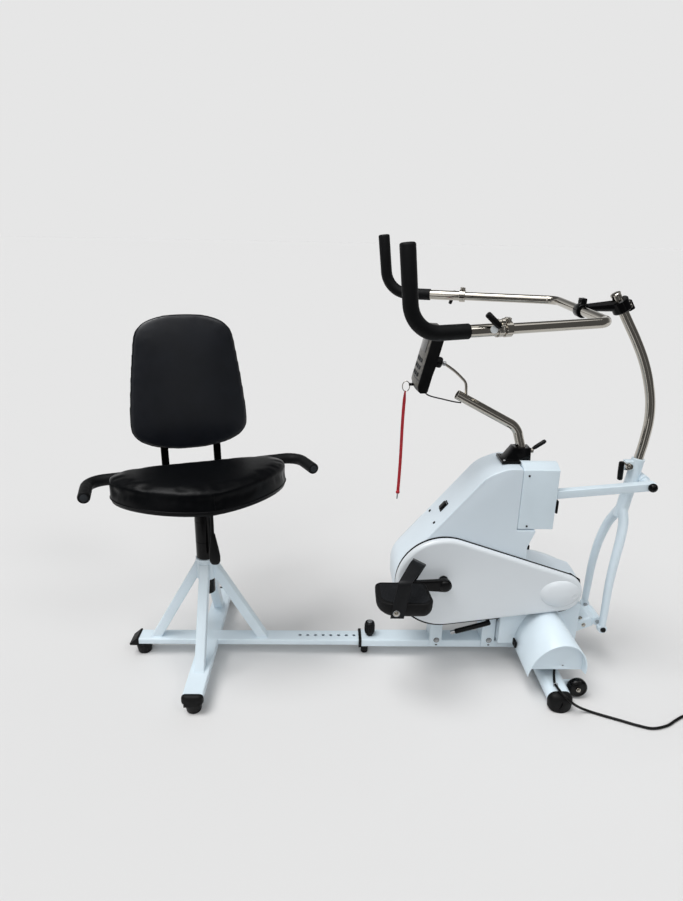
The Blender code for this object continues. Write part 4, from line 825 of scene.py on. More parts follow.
def fastener_head(kind):
    """A head 1 mm in radius standing on Z = 0: button, hex or cross."""
    if kind == "hex":
        washer = rod((0, 0, 0), (0, 0, 0.2), 1.35, bevel=0.05)
        head = rod((0, 0, 0.15), (0, 0, 0.95), 1.0, sides=6, bevel=0.08, segments=2)
        return carve([washer, head])
    dome = turned((0, 0, 0), (0, 0, 1), [(0, 1.0), (0.22, 1.0), (0.42, 0.93), (0.56, 0.78), (0.62, 0.6), (0.62, 0.01)])
    if kind == "button":
        return carve([dome], [rod((0, 0, 0.25), (0, 0, 1), 0.48, sides=6)])
    slots = [box((-0.62, -0.11, 0.35), (0.62, 0.11, 1), 0), box((-0.11, -0.62, 0.35), (0.11, 0.62, 1), 0)]
    return carve([dome], slots)


def fasteners(name, kind, size, places, finish, node):
    """Heads of one kind, or copies of a small mesh, at (point, facing) places on the body that carries a node."""
    mesh = bpy.data.meshes.new("places")
    mesh.from_pydata([tuple(point) for point, facing in places], [], [])
    facing = mesh.attributes.new("facing", "FLOAT_VECTOR", "POINT")
    for index, place in enumerate(places):
        facing.data[index].vector = Vector(place[1]).normalized()
    head = new_object("head", fastener_head(kind) if isinstance(kind, str) else kind)
    result = run_tree(TREES["heads"], mesh, {"Head": head, "Size": size, "Finish": FINISHES[finish]})
    bpy.data.objects.remove(head)
    return extra(name, result, finish, node)


def beads(name, path, finish, node, spacing, length, width, height, unevenness=0.0, closed=False, turn=None):
    values = {"Spacing": spacing, "Length": length, "Width": width, "Height": height, "Unevenness": unevenness,
              "Finish": FINISHES[finish]}
    mesh = run_tree(TREES["beads"], path_curve(path, closed), values)
    if turn:
        turn(mesh)
    return extra(name, mesh, finish, node, smooth=180.0)


def weld(name, path, node, bead):
    """Closed weld seam with ripples about half a bead apart."""
    return beads(name, path, "powder_coat", node, bead * 0.55, bead * 1.1, bead, bead * 0.75, 0.1, True)


TREES = {}


# Floor rail and seat base

def rounded_loop(centre, half_x, half_y, radius, steps=5):
    """Closed loop round an upright rectangle's foot, at one height."""
    x, y, z = centre
    corners = [(x - half_x, y - half_y, radius), (x + half_x, y - half_y, radius),
               (x + half_x, y + half_y, radius), (x - half_x, y + half_y, radius)]
    return [(a, b, z) for a, b in fillet(corners, steps)]


def ribs_round(name, centre, axis, radius, count, rib, finish, node):
    """Ribs (wide, proud, long) round a knob, along its axis."""
    circle = [(radius * cos(tau * i / 72), radius * sin(tau * i / 72), 0) for i in range(72)]
    place = frame_along(Vector(centre) - Vector(axis) * 0.01, Vector(centre) + Vector(axis) * 0.01)
    spacing = tau * radius / (count + 0.5)
    return beads(name, circle, finish, node, spacing, rib[0], rib[1], rib[2], closed=True,
                 turn=lambda mesh: mesh.transform(place))


def floor_rail(bike):
    half = RAIL_WIDTH / 2
    room = (SLIDER_WIDTH / 2 + GAP, SLIDER_BASE - GAP, SLIDER_TOP + GAP)
    shell = box((RAIL_START, -half, RAIL_BASE), (RAIL_END, half, RAIL_TOP), 0.004, 5, (1, 0, 0))
    inside = box((RAIL_START - 0.01, -room[0], room[1]), (RAIL_END + 0.01, room[0], room[2]), 0)
    pin_hole = rod((KNOB_X, 0, SLIDER_TOP - 0.005), (KNOB_X, 0, RAIL_TOP + 0.01), 0.0052, sides=24)
    dress("outer_rail_tube", carve([shell], [inside, pin_hole]), "powder_coat", "main_rail")
    back = RAIL_START - GAP
    front = back - 0.009
    ring = box((front, -0.033, 0.0355), (back, 0.033, 0.0665), 0.0035, 4, (1, 0, 0))
    web = box((front + 0.001, -0.012, 0.026), (0.008, 0.012, RAIL_BASE - GAP), 0)
    foot = turned((0.0075, 0, 0), (0.0075, 0, 0.034), [(0, 0.01), (0.0015, 0.0115), (0.01, 0.0118), (0.034, 0.0125)])
    mouth = box((front - 0.01, -SLIDER_WIDTH / 2 - 0.0006, SLIDER_BASE - 0.0006),
                (back + 0.0001, SLIDER_WIDTH / 2 + 0.0006, SLIDER_TOP + 0.0006), 0)
    dress("rail_mouthpiece", carve([ring, web, foot], [mouth]), "black_abs", "rail_collar")


def pull_knob(bike):
    base = RAIL_TOP + GAP
    profile = [(0, 0.0098), (0.008, 0.0098), (0.0084, 0.014), (0.0096, 0.0154), (0.012, 0.0156),
               (0.044, 0.0156), (0.0475, 0.0146), (0.049, 0.0124), (0.0492, 0.01), (0.0492, 0.001)]
    pin = rod((KNOB_X, 0, SLIDER_TOP + GAP), (KNOB_X, 0, 0.07), 0.0048, sides=32)
    head = turned((KNOB_X, 0, base), (KNOB_X, 0, base + 0.05), profile, 56)
    dress("pull_knob_head", gather([head, pin]), "black_abs", "rail_knob")
    ribs_round("pull_knob_ribs", (KNOB_X, 0, base + 0.028), (0, 0, 1), 0.0154, 18, (0.0036, 0.0036, 0.035),
               "black_abs", "rail_knob")
    disc = rod((KNOB_X, 0, base + 0.0485), (KNOB_X, 0, base + 0.0502), 0.0082, bevel=0.0004)
    groove = box((KNOB_X - 0.01, -0.0013, base + 0.0494), (KNOB_X + 0.01, 0.0013, base + 0.06), 0)
    extra("pull_knob_screw", carve([disc], [groove]), "zinc", "rail_knob")


def strut_line(angle, reach):
    rise = (STRUT_HEAD_Z - SLIDER_TOP) / (STRUT_FOOT - STRUT_HEAD)
    return Vector((SEAT_X + reach * cos(angle), reach * sin(angle), SLIDER_TOP + (STRUT_FOOT - reach) * rise))


def seat_base(bike):
    half = SLIDER_WIDTH / 2
    slider = box((SLIDER_START, -half, SLIDER_BASE), (SLIDER_END, half, SLIDER_TOP), 0.004, 5, (1, 0, 0))
    beam_low = SEAT_X - BEAM_WIDTH / 2
    beam = box((beam_low, -BEAM_REACH, SLIDER_BASE - 0.004),
               (beam_low + BEAM_WIDTH, BEAM_REACH, SLIDER_TOP - 0.0002), 0.005, 6, (0, 1, 0))
    hollow = box((SLIDER_START + 0.02, -half + 0.0025, SLIDER_BASE + 0.0025),
                 (SLIDER_END + 0.01, half - 0.0025, SLIDER_TOP - 0.0025), 0)
    holes = []
    for index in range(HOLE_COUNT):
        x = KNOB_X + (index - 9) * HOLE_PITCH
        holes.append(rod((x, 0, SLIDER_TOP - 0.006), (x, 0, SLIDER_TOP + 0.004), 0.0055, sides=28))
    dress("inner_rail_and_beam", carve([slider, beam], [hollow] + holes), "powder_coat", "seat_base_frame")
    collar = turned((SEAT_X, 0, COLLAR_BASE), (SEAT_X, 0, COLLAR_TOP), [
        (0, 0.03), (0.001, COLLAR_RADIUS), (0.069, COLLAR_RADIUS), (0.07, 0.03)], 64)
    struts = []
    for index in range(4):
        angle = index * pi / 2
        side = (-sin(angle), cos(angle), 0)
        struts.append(bar(strut_line(angle, STRUT_FOOT + 0.025), strut_line(angle, STRUT_HEAD - 0.012),
                          STRUT_SIZE, STRUT_SIZE, 0.0035, side, 5))
    floor_cut = box((SEAT_X - 0.3, -0.3, 0.0), (SEAT_X + 0.3, 0.3, SLIDER_TOP + GAP), 0)
    top_cut = box((SEAT_X - 0.1, -0.1, COLLAR_TOP), (SEAT_X + 0.1, 0.1, COLLAR_TOP + 0.1), 0)
    bore = rod((SEAT_X, 0, 0.1), (SEAT_X, 0, 0.5), LIFT_RADIUS + GAP, sides=64)
    dress("four_struts_and_collar", carve([collar] + struts, [floor_cut, top_cut, bore]), "powder_coat", "seat_trestle")
    bead = bike.weld_bead
    for index in range(4):
        angle = index * pi / 2
        foot = strut_line(angle, STRUT_FOOT)
        long_way, short_way = (0.0183, 0.0155) if index % 2 == 0 else (0.0155, 0.0183)
        loop = rounded_loop((foot.x, foot.y, SLIDER_TOP + 0.0004), long_way, short_way, 0.004)
        weld(f"strut_foot_weld_{index + 1}", loop, "seat_trestle", bead)
        loop = []
        for across, up in fillet([(-0.0152, -0.03, 0.004), (0.0152, -0.03, 0.004), (0.0152, 0.03, 0.004),
                                  (-0.0152, 0.03, 0.004)], 5):
            spread = asin(across / COLLAR_RADIUS)
            point = strut_line(angle, COLLAR_RADIUS * cos(spread))
            height = min(point.z + up, COLLAR_TOP - 0.001)
            turn = angle + spread
            loop.append((SEAT_X + COLLAR_RADIUS * cos(turn), COLLAR_RADIUS * sin(turn), height))
        weld(f"strut_head_weld_{index + 1}", loop, "seat_trestle", bead)


def shoe(middle, half, low, high, start, end, waist=0.9):
    """Domed rubber cap on a beam's end, from start out to end along Y and narrower at the floor."""
    rings = []
    for share in (0.0, 0.12, 0.35, 0.55, 0.72, 0.85, 0.94, 0.985, 1.0):
        size = max(0.3, (1 - share ** 2.8) ** (1 / 2.8))
        height = (high - low) * (0.35 + 0.65 * size)
        radius = 0.42 * height
        corners = [(middle - half * size * waist, low, radius * 0.6), (middle + half * size * waist, low, radius * 0.6),
                   (middle + half * size, low + height, radius), (middle - half * size, low + height, radius)]
        rings.append([(x, start + (end - start) * share, z) for x, z in fillet(corners, 8)])
    return loft(rings)


def seat_feet(bike):
    wedge = prism([(-0.757, 0.043), (-0.755, 0.038), (-0.7275, 0.038), (-0.7275, 0.0635), (-0.733, 0.0635)],
                  -0.029, 0.029, 0.0015)
    web = box((-0.735, -0.024, 0.034), (-0.69, 0.024, SLIDER_BASE - GAP), 0)
    dome = [(0, 0.0185), (0.0012, 0.0208), (0.004, 0.0218), (0.03, 0.0262), (0.0345, 0.0258), (0.036, 0.024)]
    foot = turned((-0.717, 0, 0), (-0.717, 0, 0.036), dome)
    dress("rail_tail_foot", carve([foot, web, wedge]), "rubber", "rail_end_foot")
    for name, node, side in (("beam_shoe_near", "beam_foot_near", -1), ("beam_shoe_far", "beam_foot_far", 1)):
        inner, outer = side * (BEAM_REACH + GAP), side * (BEAM_REACH + 0.016)
        half = BEAM_WIDTH / 2 + 0.002
        cap = shoe(SEAT_X, half, 0.033, 0.0635, inner, outer, 1.0)
        centre = side * 0.2755
        web = box((SEAT_X - 0.024, min(centre, outer), 0.028), (SEAT_X + 0.024, max(centre, outer), 0.0367), 0.001)
        profile = [(0, 0.018), (0.0012, 0.0202), (0.004, 0.0213), (0.03, 0.0258), (0.034, 0.0255)]
        foot = turned((SEAT_X, centre, 0), (SEAT_X, centre, 0.034), profile)
        dress(name, carve([foot, web, cap]), "rubber", node)


def lift_column(bike):
    outer = rod((SEAT_X, 0, LIFT_BASE), (SEAT_X, 0, LIFT_TOP), LIFT_RADIUS, sides=64, bevel=0.0015)
    bore = rod((SEAT_X, 0, LIFT_BASE + 0.012), (SEAT_X, 0, LIFT_TOP + 0.01), LIFT_ROD_RADIUS + GAP, sides=48)
    dress("lift_cylinder", carve([outer], [bore]), "black_enamel", "gas_cylinder")
    foot = COLLAR_TOP + 0.0012
    r = SHEATH_RADIUS
    profile = [(0, r - 0.0012), (0.0012, r)]
    for groove in (0.056, 0.124):
        profile += [(groove, r), (groove + 0.0005, r - 0.0009), (groove + 0.0016, r - 0.0009), (groove + 0.0021, r)]
    profile += [(0.1925, r), (0.1938, r - 0.0013)]
    sheath = turned((SEAT_X, 0, foot), (SEAT_X, 0, POST_TOP), profile, 64)
    inside = rod((SEAT_X, 0, foot - 0.01), (SEAT_X, 0, POST_TOP - 0.02), LIFT_RADIUS + 0.0006, sides=64)
    piston = rod((SEAT_X, 0, 0.3), (SEAT_X, 0, POST_TOP - 0.01), LIFT_ROD_RADIUS, sides=48)
    dress("telescopic_sheath", carve([sheath], [inside], [piston]), "black_enamel", "seat_post")


# Seat

def cushion_outline(count, scale):
    """Plan of the seat cushion: flat superellipse behind, a slight point in front."""
    outline = []
    for index in range(count):
        angle = tau * index / count
        across = cos(angle)
        ahead = sin(angle)
        power = 1.6 if ahead > 0 else 3.4
        depth = CUSHION_FRONT if ahead > 0 else CUSHION_REAR
        x = CUSHION_HALF_WIDTH * copysign(abs(across) ** (2 / power), across)
        y = depth * copysign(abs(ahead) ** (2 / power), ahead)
        outline.append((x * scale, y * scale))
    return outline


def backrest_half_width(height):
    whole = BACK_TOP - BACK_BASE
    share = height / whole
    straight = 0.19 - 0.048 * share ** 1.6
    low = min(1.0, height / 0.105)
    high = min(1.0, (whole - height) / 0.075)
    return straight * (1 - (1 - low) ** 2.9) ** 0.43 * (1 - (1 - high) ** 2.6) ** 0.4


def back_outline(count):
    """Closed outline (across, up) of the backrest, evenly spaced in angle."""
    whole = BACK_TOP - BACK_BASE
    outline = []
    for index in range(count):
        angle = tau * index / count
        height = whole / 2 * (1 - cos(angle))
        side = 1 if index <= count / 2 else -1
        outline.append((side * backrest_half_width(min(max(height, 0.0001), whole - 0.0001)), height))
    return outline


# Place of the upright seam on the cushion's front wall, in 240ths of its outline
CUSHION_SEAM = 57

# Rim profile of a cushion: share of the outline, share of the thickness
PILLOW_PROFILE = ((0.45, 0.0), (0.8, 0.0), (0.955, 0.02), (0.985, 0.1), (0.986, 0.24), (0.986, 0.46),
                  (0.994, 0.68), (1.0, 0.82), (0.98, 0.9), (0.89, 0.95), (0.66, 0.985), (0.35, 1.0))


def fine_profile(profile, step=0.02):
    """The rim profile with smooth points between its own."""
    route = smooth_route([(share, rise, 0) for share, rise in profile], step)
    return [(max(0.05, share), min(1.0, max(0.0, rise))) for share, rise, flat in route]


def seat_cushion_ring(share, rise, count=120):
    height = CUSHION_BASE + rise * CUSHION_CROWN
    return [(x, -y, height) for x, y in cushion_outline(count, share)]


# Cushion covers: width of a mesh cell in metres, pressure that blows them up, frames that it acts
COVER_MESH = 0.005
COVER_PRESSURE = 4.0
COVER_FRAMES = 20


def puff_up(mesh, seams, cap, hold):
    """Blows a closed cover up like stuffed cloth. Points near the seams or held by their place stay, and none
    moves more than cap."""
    work = new_object("work", mesh)
    remesh = work.modifiers.new("remesh", "REMESH")
    remesh.voxel_size = COVER_MESH
    plain = evaluated_mesh(work)
    work.modifiers.clear()
    work.data = plain
    line = KDTree(sum(len(seam) for seam in seams))
    for index, point in enumerate(point for seam in seams for point in seam):
        line.insert(point, index)
    line.balance()
    pins = work.vertex_groups.new(name="pins")
    start = [vertex.co.copy() for vertex in plain.vertices]
    pins.add([i for i, point in enumerate(start) if hold(point) or line.find(point)[2] < COVER_MESH], 1.0, "REPLACE")
    cloth = work.modifiers.new("cloth", "CLOTH")
    cloth.settings.use_pressure = True
    cloth.settings.uniform_pressure_force = COVER_PRESSURE
    cloth.settings.effector_weights.gravity = 0.0
    cloth.settings.vertex_group_mass = "pins"
    for frame_number in range(1, COVER_FRAMES + 1):
        bpy.context.scene.frame_set(frame_number)
    blown = evaluated_mesh(work)
    bpy.context.scene.frame_set(1)
    bpy.data.objects.remove(work)
    for vertex, point in zip(blown.vertices, start):
        move = vertex.co - point
        vertex.co = point + move * min(1.0, cap / max(move.length, 1e-9))
    smooth = new_object("smooth", blown)
    taut = smooth.modifiers.new("taut", "SMOOTH")
    taut.factor, taut.iterations = 0.5, 10
    smooth.modifiers.new("fine", "SUBSURF").levels = 1
    result = evaluated_mesh(smooth)
    bpy.data.objects.remove(smooth)
    return result


def laid_on(mesh, points):
    """The points, each moved to the nearest place on the mesh."""
    bm = bmesh.new()
    bm.from_mesh(mesh)
    tree = BVHTree.FromBMesh(bm)
    bm.free()
    return [tuple(tree.find_nearest(Vector(point))[0]) for point in points]


def cushion(bike):
    loops = [seat_cushion_ring(share, rise, 240) for share, rise in ((0.987, 0.2), (0.972, 0.04))]
    rings = [seat_cushion_ring(share, rise) for share, rise in fine_profile(PILLOW_PROFILE)]
    mesh = puff_up(loft(rings), loops, 0.007, lambda point: point.z < CUSHION_BASE + 0.01)
    for name, loop, radius in (("cushion_piping", loops[0], 0.0021), ("cushion_hem", loops[1], 0.0014)):
        piping = tube(laid_on(mesh, loop), radius, 5, closed=True)
        extra(name, seat_turned(piping), "vinyl", "seat_cushion", smooth=180.0)
    wall = [seat_cushion_ring(share, rise, 240)[CUSHION_SEAM] for share,
            rise in fine_profile(PILLOW_PROFILE[4:9], 0.05)]
    extra("cushion_seam", seat_turned(tube(laid_on(mesh, wall), 0.0009, 4)), "vinyl", "seat_cushion",
          smooth=180.0)
    body = dress("cushion_cover", seat_turned(mesh), "vinyl", "seat_cushion", smooth=60.0)


# How far the middle of the backrest stands out from its rim
BACK_DOME = 0.012


def back_ring(share, rise, count=120):
    middle = (BACK_TOP - BACK_BASE) / 2
    ring = []
    for across, up in back_outline(count):
        height = middle + (up - middle) * share
        behind = BACK_REAR + BACK_LEAN * height - rise * (BACK_THICKNESS + BACK_DOME * (1 - share * share))
        ring.append((across * share * (0.955 + 0.045 * rise), behind, BACK_BASE + height))
    return ring


def back_cushion(bike):
    loop = back_ring(1.0, 0.82, 240)
    rings = [back_ring(share, rise) for share, rise in fine_profile(PILLOW_PROFILE)]
    mesh = puff_up(loft(rings), [loop], 0.006,
                   lambda point: point.y > BACK_REAR + BACK_LEAN * (point.z - BACK_BASE) - 0.012)
    piping = tube(laid_on(mesh, loop), 0.0018, 5, closed=True)
    extra("back_piping", seat_turned(piping), "vinyl", "backrest", smooth=180.0)
    # The backrest's cover takes the lighter copy of the vinyl, whose colour is painted sheen.
    body = dress("back_cover", seat_turned(mesh), "back_vinyl_painted_light", "backrest", smooth=60.0)


def seat_bars(bike):
    pan = box((-0.1, -0.12, 0.557), (0.1, 0.066, PAN_TOP), 0.002)
    hub = turned((0, 0, POST_TOP + GAP), (0, 0, 0.559), [(0, 0.034), (0.002, 0.036), (0.0137, 0.036)], 56)
    pieces = [pan, hub]
    screws = []
    for side in (-1, 1):
        across = side * 0.085
        foot = BACK_REAR + GAP + 0.003 + BACK_LEAN * (0.56 - BACK_BASE)
        head = BACK_REAR + GAP + 0.003 + BACK_LEAN * (0.8 - BACK_BASE)
        route = [(across, -0.02, 0.56, 0), (across, foot, 0.56, 0.018), (across, head, 0.8, 0)]
        path = fillet(route, 8, closed=False)
        rings = []
        for index, point in enumerate(path):
            before = Vector(path[max(0, index - 1)])
            after = Vector(path[min(len(path) - 1, index + 1)])
            along = (after - before).normalized()
            out = Vector((0, along.z, -along.y)) * 0.003
            wide = Vector((0.012, 0, 0))
            here = Vector(point)
            rings.append([tuple(here - wide - out), tuple(here + wide - out), tuple(here + wide + out),
                          tuple(here - wide + out)])
        pieces.append(loft(rings))
        pieces.append(box((across - 0.01, HANDLE_BACK - 0.008, 0.56),
                          (across + 0.01, HANDLE_BACK + 0.008, HANDLE_Z - 0.0143), 0.001))
        for height in (0.7, 0.775):
            behind = BACK_REAR + 0.0063 + BACK_LEAN * (height - BACK_BASE)
            place = seat_point((across, behind, height))
            screws.append((place, seat_way((0, 1, -BACK_LEAN))))
    shapes = [seat_turned(piece) for piece in pieces]
    dress("seat_pan_and_back_bars", carve(shapes), "black_enamel", "seat_frame", soften=0.0008)
    fasteners("back_bar_screws", "button", 0.0065, screws, "zinc", "seat_frame")


def seat_point(point):
    return Matrix.Translation((SEAT_X, 0, 0)) @ Matrix.Rotation(SEAT_YAW, 4, "Z") @ Vector(point)


def seat_way(direction):
    return Matrix.Rotation(SEAT_YAW, 3, "Z") @ Vector(direction)


def seat_handles(bike):
    corners = [(0.14, HANDLE_BACK, HANDLE_Z, 0), (HANDLE_SIDE, HANDLE_BACK, HANDLE_Z, 0.055),
               (HANDLE_SIDE + 0.0135, -HANDLE_END, HANDLE_Z, 0)]
    route = fillet(corners, 16, closed=False)
    place = Matrix.Translation((HANDLE_SHIFT, 0, 0)) @ Matrix.Rotation(HANDLE_TURN, 4, "Z")
    for name, side in (("seat_handle_foam_right", 1), ("seat_handle_foam_left", -1)):
        path = [(side * x, y, z) for x, y, z in route]
        radii = [1.0] * len(path)
        last = Vector(path[-1])
        run = (last - Vector(path[-2])).normalized()
        path[-1] = tuple(last - run * 0.004)
        path += [tuple(last - run * 0.0015), tuple(last)]
        radii += [0.965, 0.86]
        mesh = tube(path, FOAM_RADIUS, 12, radii)
        mesh.transform(place)
        dress(name, seat_turned(mesh), "foam", "seat_handle_bar", replace=side > 0, smooth=50.0)
        plug = rod(tuple(last - run * 0.002), tuple(last + run * 0.0012), 0.011, bevel=0.0006)
        plug.transform(place)
        extra(name.replace("foam", "end_plug"), seat_turned(plug), "end_grey", "seat_handle_bar")
    middle = rod((-0.15, HANDLE_BACK, HANDLE_Z), (0.15, HANDLE_BACK, HANDLE_Z), 0.014)
    middle.transform(place)
    extra("seat_handle_tube", seat_turned(middle), "black_enamel", "seat_handle_bar")


def seat_paddle(bike):
    top = (-0.4655, -0.046, 0.551)
    stem = rod(top, (-0.4645, -0.052, 0.44), 0.005, sides=32)
    start, end = Vector((-0.4635, -0.052, 0.455)), Vector((-0.46, -0.056, 0.352))
    place = frame_along(start, end, (0, 1, 0))
    length = (end - start).length
    rings = []
    for share, wide, thick in ((0.0, 0.004, 0.006), (0.03, 0.0062, 0.0085), (0.2, 0.009, 0.01), (0.5, 0.014, 0.011),
                               (0.74, 0.017, 0.012), (0.9, 0.016, 0.0115), (0.98, 0.011, 0.009), (1.0, 0.007, 0.006)):
        ring = []
        for step in range(32):
            turn = tau * step / 32
            x = wide * copysign(abs(cos(turn)) ** 0.6, cos(turn))
            y = thick / 2 * copysign(abs(sin(turn)) ** 0.6, sin(turn))
            ring.append(tuple(place @ Vector((x, y, (share - 0.5) * length))))
        rings.append(ring)
    head = rod((-0.4755, -0.046, 0.55), (-0.4555, -0.046, 0.55), 0.006, sides=32)
    dress("height_paddle", carve([loft(rings), stem, head]), "black_abs", "seat_lever", smooth=60.0)


# Casing of the drive

def case_corners(drop=0.0):
    """Corners of the side outline of the tower and the fairing; drop lowers the open bottom edges."""
    return [
        (0.15, CASE_BOTTOM - drop, 0), (0.0885, 0.25, 0.08), (0.0885, 0.348, 0.09),
        (0.341, 0.656, 0.11), (0.402, CASE_TOP, 0.09), (CASE_BACK, CASE_TOP, 0.008),
        (CASE_BACK, SHELF_Z, 0.001), (0.506, SHELF_Z, 0.006), (0.484, 0.4274, 0.02),
        (0.489, 0.363, 0.012), (0.679, 0.2976, 0.015), (0.692, 0.25, 0),
        (0.692, FAIRING_BOTTOM - drop, 0), (0.4245, FAIRING_BOTTOM - drop, 0),
        (0.4245, CASE_BOTTOM - drop, 0),
    ]


def tower(bike):
    shell = prism(fillet(case_corners(), 12), -CASE_HALF, CASE_HALF, 0.004, 5)
    inside = prism(fillet(inset(case_corners(2 * WALL), WALL), 6), -CASE_HALF + WALL, CASE_HALF - WALL)
    axle_way = cross_rod(CRANK_X, CRANK_Z, -0.1, 0.1, 0.0135)
    rear_cut = bar((0.76, 0.2, 0.25), (0.707, -0.2, 0.25), 0.12, 0.4, 0)
    seam = prism([(0.33, 0.63), (0.3312, 0.6294), (0.359, 0.69), (0.3578, 0.6906)], -CASE_HALF - 0.01, CASE_HALF + 0.01)
    seam_core = box((0.2, -CASE_HALF + 0.0012, 0.55), (0.5, CASE_HALF - 0.0012, 0.6795), 0)
    groove = carve([seam], [seam_core])
    dress("casing_shell", carve([shell], [inside, axle_way, rear_cut, groove]), "white_abs", "tower_shell")
    rocker = bar(panel_point(SWITCH_PLACE - 0.013, 0, 0.0045), panel_point(SWITCH_PLACE + 0.013, 0, 0.0045), 0.02,
                 0.006,
                 0.0015, PANEL_OUT)
    dress("rocker", rocker, "black_abs", "power_switch")
    bezel = bar(panel_point(SWITCH_PLACE - 0.0175, 0, 0.0008), panel_point(SWITCH_PLACE + 0.0175, 0, 0.0008), 0.0275,
                0.0028,
                0.0008, PANEL_OUT)
    well = bar(panel_point(SWITCH_PLACE - 0.0138, 0, 0.002), panel_point(SWITCH_PLACE + 0.0138, 0, 0.002), 0.021,
               0.02, 0,
               PANEL_OUT)
    extra("rocker_bezel", carve([bezel], [well]), "black_abs", "tower_shell")
    places = [(panel_point(0.183, across), PANEL_OUT) for across in (0.051, -0.036)]
    fasteners("panel_screws", "cross", 0.0046, places, "black_screw", "tower_shell")


def tower_clip(bike):
    clip = box((0.4855, -0.07, 0.418), (0.493, -0.056, 0.432), 0.0012)
    extra("tower_rear_clip", clip, "black_abs", "tower_shell")


# Black corner piece between the fairing's end and the near side cover: painted shade for the dark gap there
SHADE_GAP_CORNER = [(0.59, 0.34), (0.626, 0.3442), (0.6575, 0.3235), (0.665, 0.29), (0.63, 0.3)]


def cover_outline(shrink):
    return circle_pair(COVER_BIG, COVER_SMALL, shrink)


def side_covers(bike):
    for label, side in SIDES:
        wall = side * (CASE_HALF + 0.0022)
        face = side * (CASE_HALF + COVER_DEPTH)
        low, high = sorted((wall, face))
        shell = prism(cover_outline(0.0), low, high, 0.012, 8)
        boss = ball((0.592, side * (CASE_HALF + 0.018), 0.287), (0.066, 0.026, 0.049), 64, 32)
        inner_low, inner_high = sorted((side * (CASE_HALF - 0.01), side * (CASE_HALF + COVER_DEPTH - WALL)))
        room = prism(cover_outline(0.014), inner_low, inner_high)
        behind_low, behind_high = sorted((side * (CASE_HALF - 0.03), side * (CASE_HALF + 0.0022)))
        behind = box((0.3, behind_low, 0.1), (0.8, behind_high, 0.5), 0)
        axle_way = cross_rod(CRANK_X, CRANK_Z, side * 0.05, side * 0.15, 0.015)
        thumb = ball((0.64, side * (CASE_HALF + 0.046), 0.283), (0.016, 0.012, 0.013))
        cuts = [room, behind, axle_way, thumb]
        if side < 0:
            cuts.append(hood_loft(0.006, -0.125, HOOD_FAR))
        outline = case_corners(0.1)
        outline[8:12] = [(0.489, 0.363, 0.012), (0.679, 0.2976, 0.015), (0.74, 0.25, 0), (0.74, 0.1, 0)]
        hidden = [prism(fillet(inset(outline, 0.0115), 8), -0.12, 0.12)] if side > 0 else []
        dress(f"cover_moulding_{label}", carve([shell, boss], cuts, within=hidden), "cover_abs", f"side_cover_{label}")
        # Black rubber strip round each cover's edge, dropped lower along its bottom, with a corner piece on the near
        # side: painted shade standing for the dark gaps round the cover.
        low, high = sorted((side * (CASE_HALF + GAP), side * (CASE_HALF + 0.0036)))
        rim = prism(cover_outline(0.0006), low, high)
        sunk_shade_band = prism(cover_outline(0.0), low, high)
        sunk_shade_band.transform(Matrix.Translation((0, 0, -0.0145)))
        core = prism(cover_outline(0.015), low - 0.01, high + 0.01)
        edge = 0.0015 if side < 0 else 0.013
        region = prism(fillet(inset(case_corners(0.03), edge), 6), low - 0.01, high + 0.01)
        if side < 0:
            lower = carve([sunk_shade_band], within=[region])
            corner = prism(SHADE_GAP_CORNER, low, high)
            painted_shade_strip = carve([rim, lower, corner], [core, hood_loft(0.006, -0.125, HOOD_FAR)])
        else:
            painted_shade_strip = carve([rim, sunk_shade_band], [core], within=[region])
        extra(f"cover_gasket_{label}", painted_shade_strip, "rubber", f"side_cover_{label}")


def terminal_box(bike):
    start = CASE_BACK + GAP
    body = box((start, -CASE_HALF, SHELF_Z + 0.004), (0.553, -0.027, 0.678), 0.0025, 4)
    lid_rings = []
    for x in (start, 0.553):
        lid_rings.append([(x, -CASE_HALF, 0.676), (x, -0.027, 0.676), (x, -0.027, 0.69), (x, -0.045, 0.69)])
    dress("terminal_box", carve([body, loft(lid_rings)]), "powder_coat", "control_box", soften=0.001)
    places = [((0.464, -CASE_HALF, 0.66), (0, -1, 0)), ((0.4735, -CASE_HALF, 0.5), (0, -1, 0))]
    fasteners("terminal_box_screws", "cross", 0.0032, places, "black_screw", "control_box")


# Lower drive and stabilizer

def rail_brackets(bike):
    half = RAIL_WIDTH / 2 + GAP
    top = CASE_BOTTOM - GAP
    front = box((0.217, -half - 0.004, 0.044), (0.256, half + 0.004, top), 0)
    rear = box((0.386, -half - 0.004, 0.044), (0.428, half + 0.004, top), 0)
    plate = box((0.23, -0.031, 0.14), (0.4, 0.031, 0.15), 0)
    front_flange = box((0.217, -CASE_HALF, top - 0.006), (0.256, CASE_HALF, top), 0)
    rear_flange = box((0.386, 0.0, top - 0.006), (0.428, CASE_HALF, top), 0)
    saddle = box((0.2, -half, 0.03), (0.44, half, RAIL_TOP + GAP), 0)
    belt_slot = box((0.36, -0.05, 0.1505), (0.45, -0.008, 0.2), 0)
    mesh = carve([front, rear, plate, front_flange, rear_flange], [saddle, belt_slot])
    dress("rail_brackets", mesh, "powder_coat", "drive_chassis", soften=0.0012)
    side = -half - 0.004
    places = []
    dark = []
    for x in (0.2395, 0.411):
        for way in (-1, 1):
            face = -side * way
            places.append(((x, face + way * 0.0004, 0.068), (0, way, 0)))
            dark.append(rod((x, face - way * 0.001, 0.068), (x, face + way * 0.0005, 0.068), 0.0092, bevel=0.0002))
            # Thin black plates on the bracket faces are painted shade standing for the slots there; the black rings
            # round the bolts are washers.
            dark.append(bar((x - 0.0035, face, 0.0505), (x + 0.0035, face, 0.0505), 0.0008, 0.004, 0.0003))
    fasteners("bracket_bolts", "hex", 0.0058, places, "zinc", "drive_chassis")
    extra("bracket_washers", gather(dark), "black_screw", "drive_chassis")


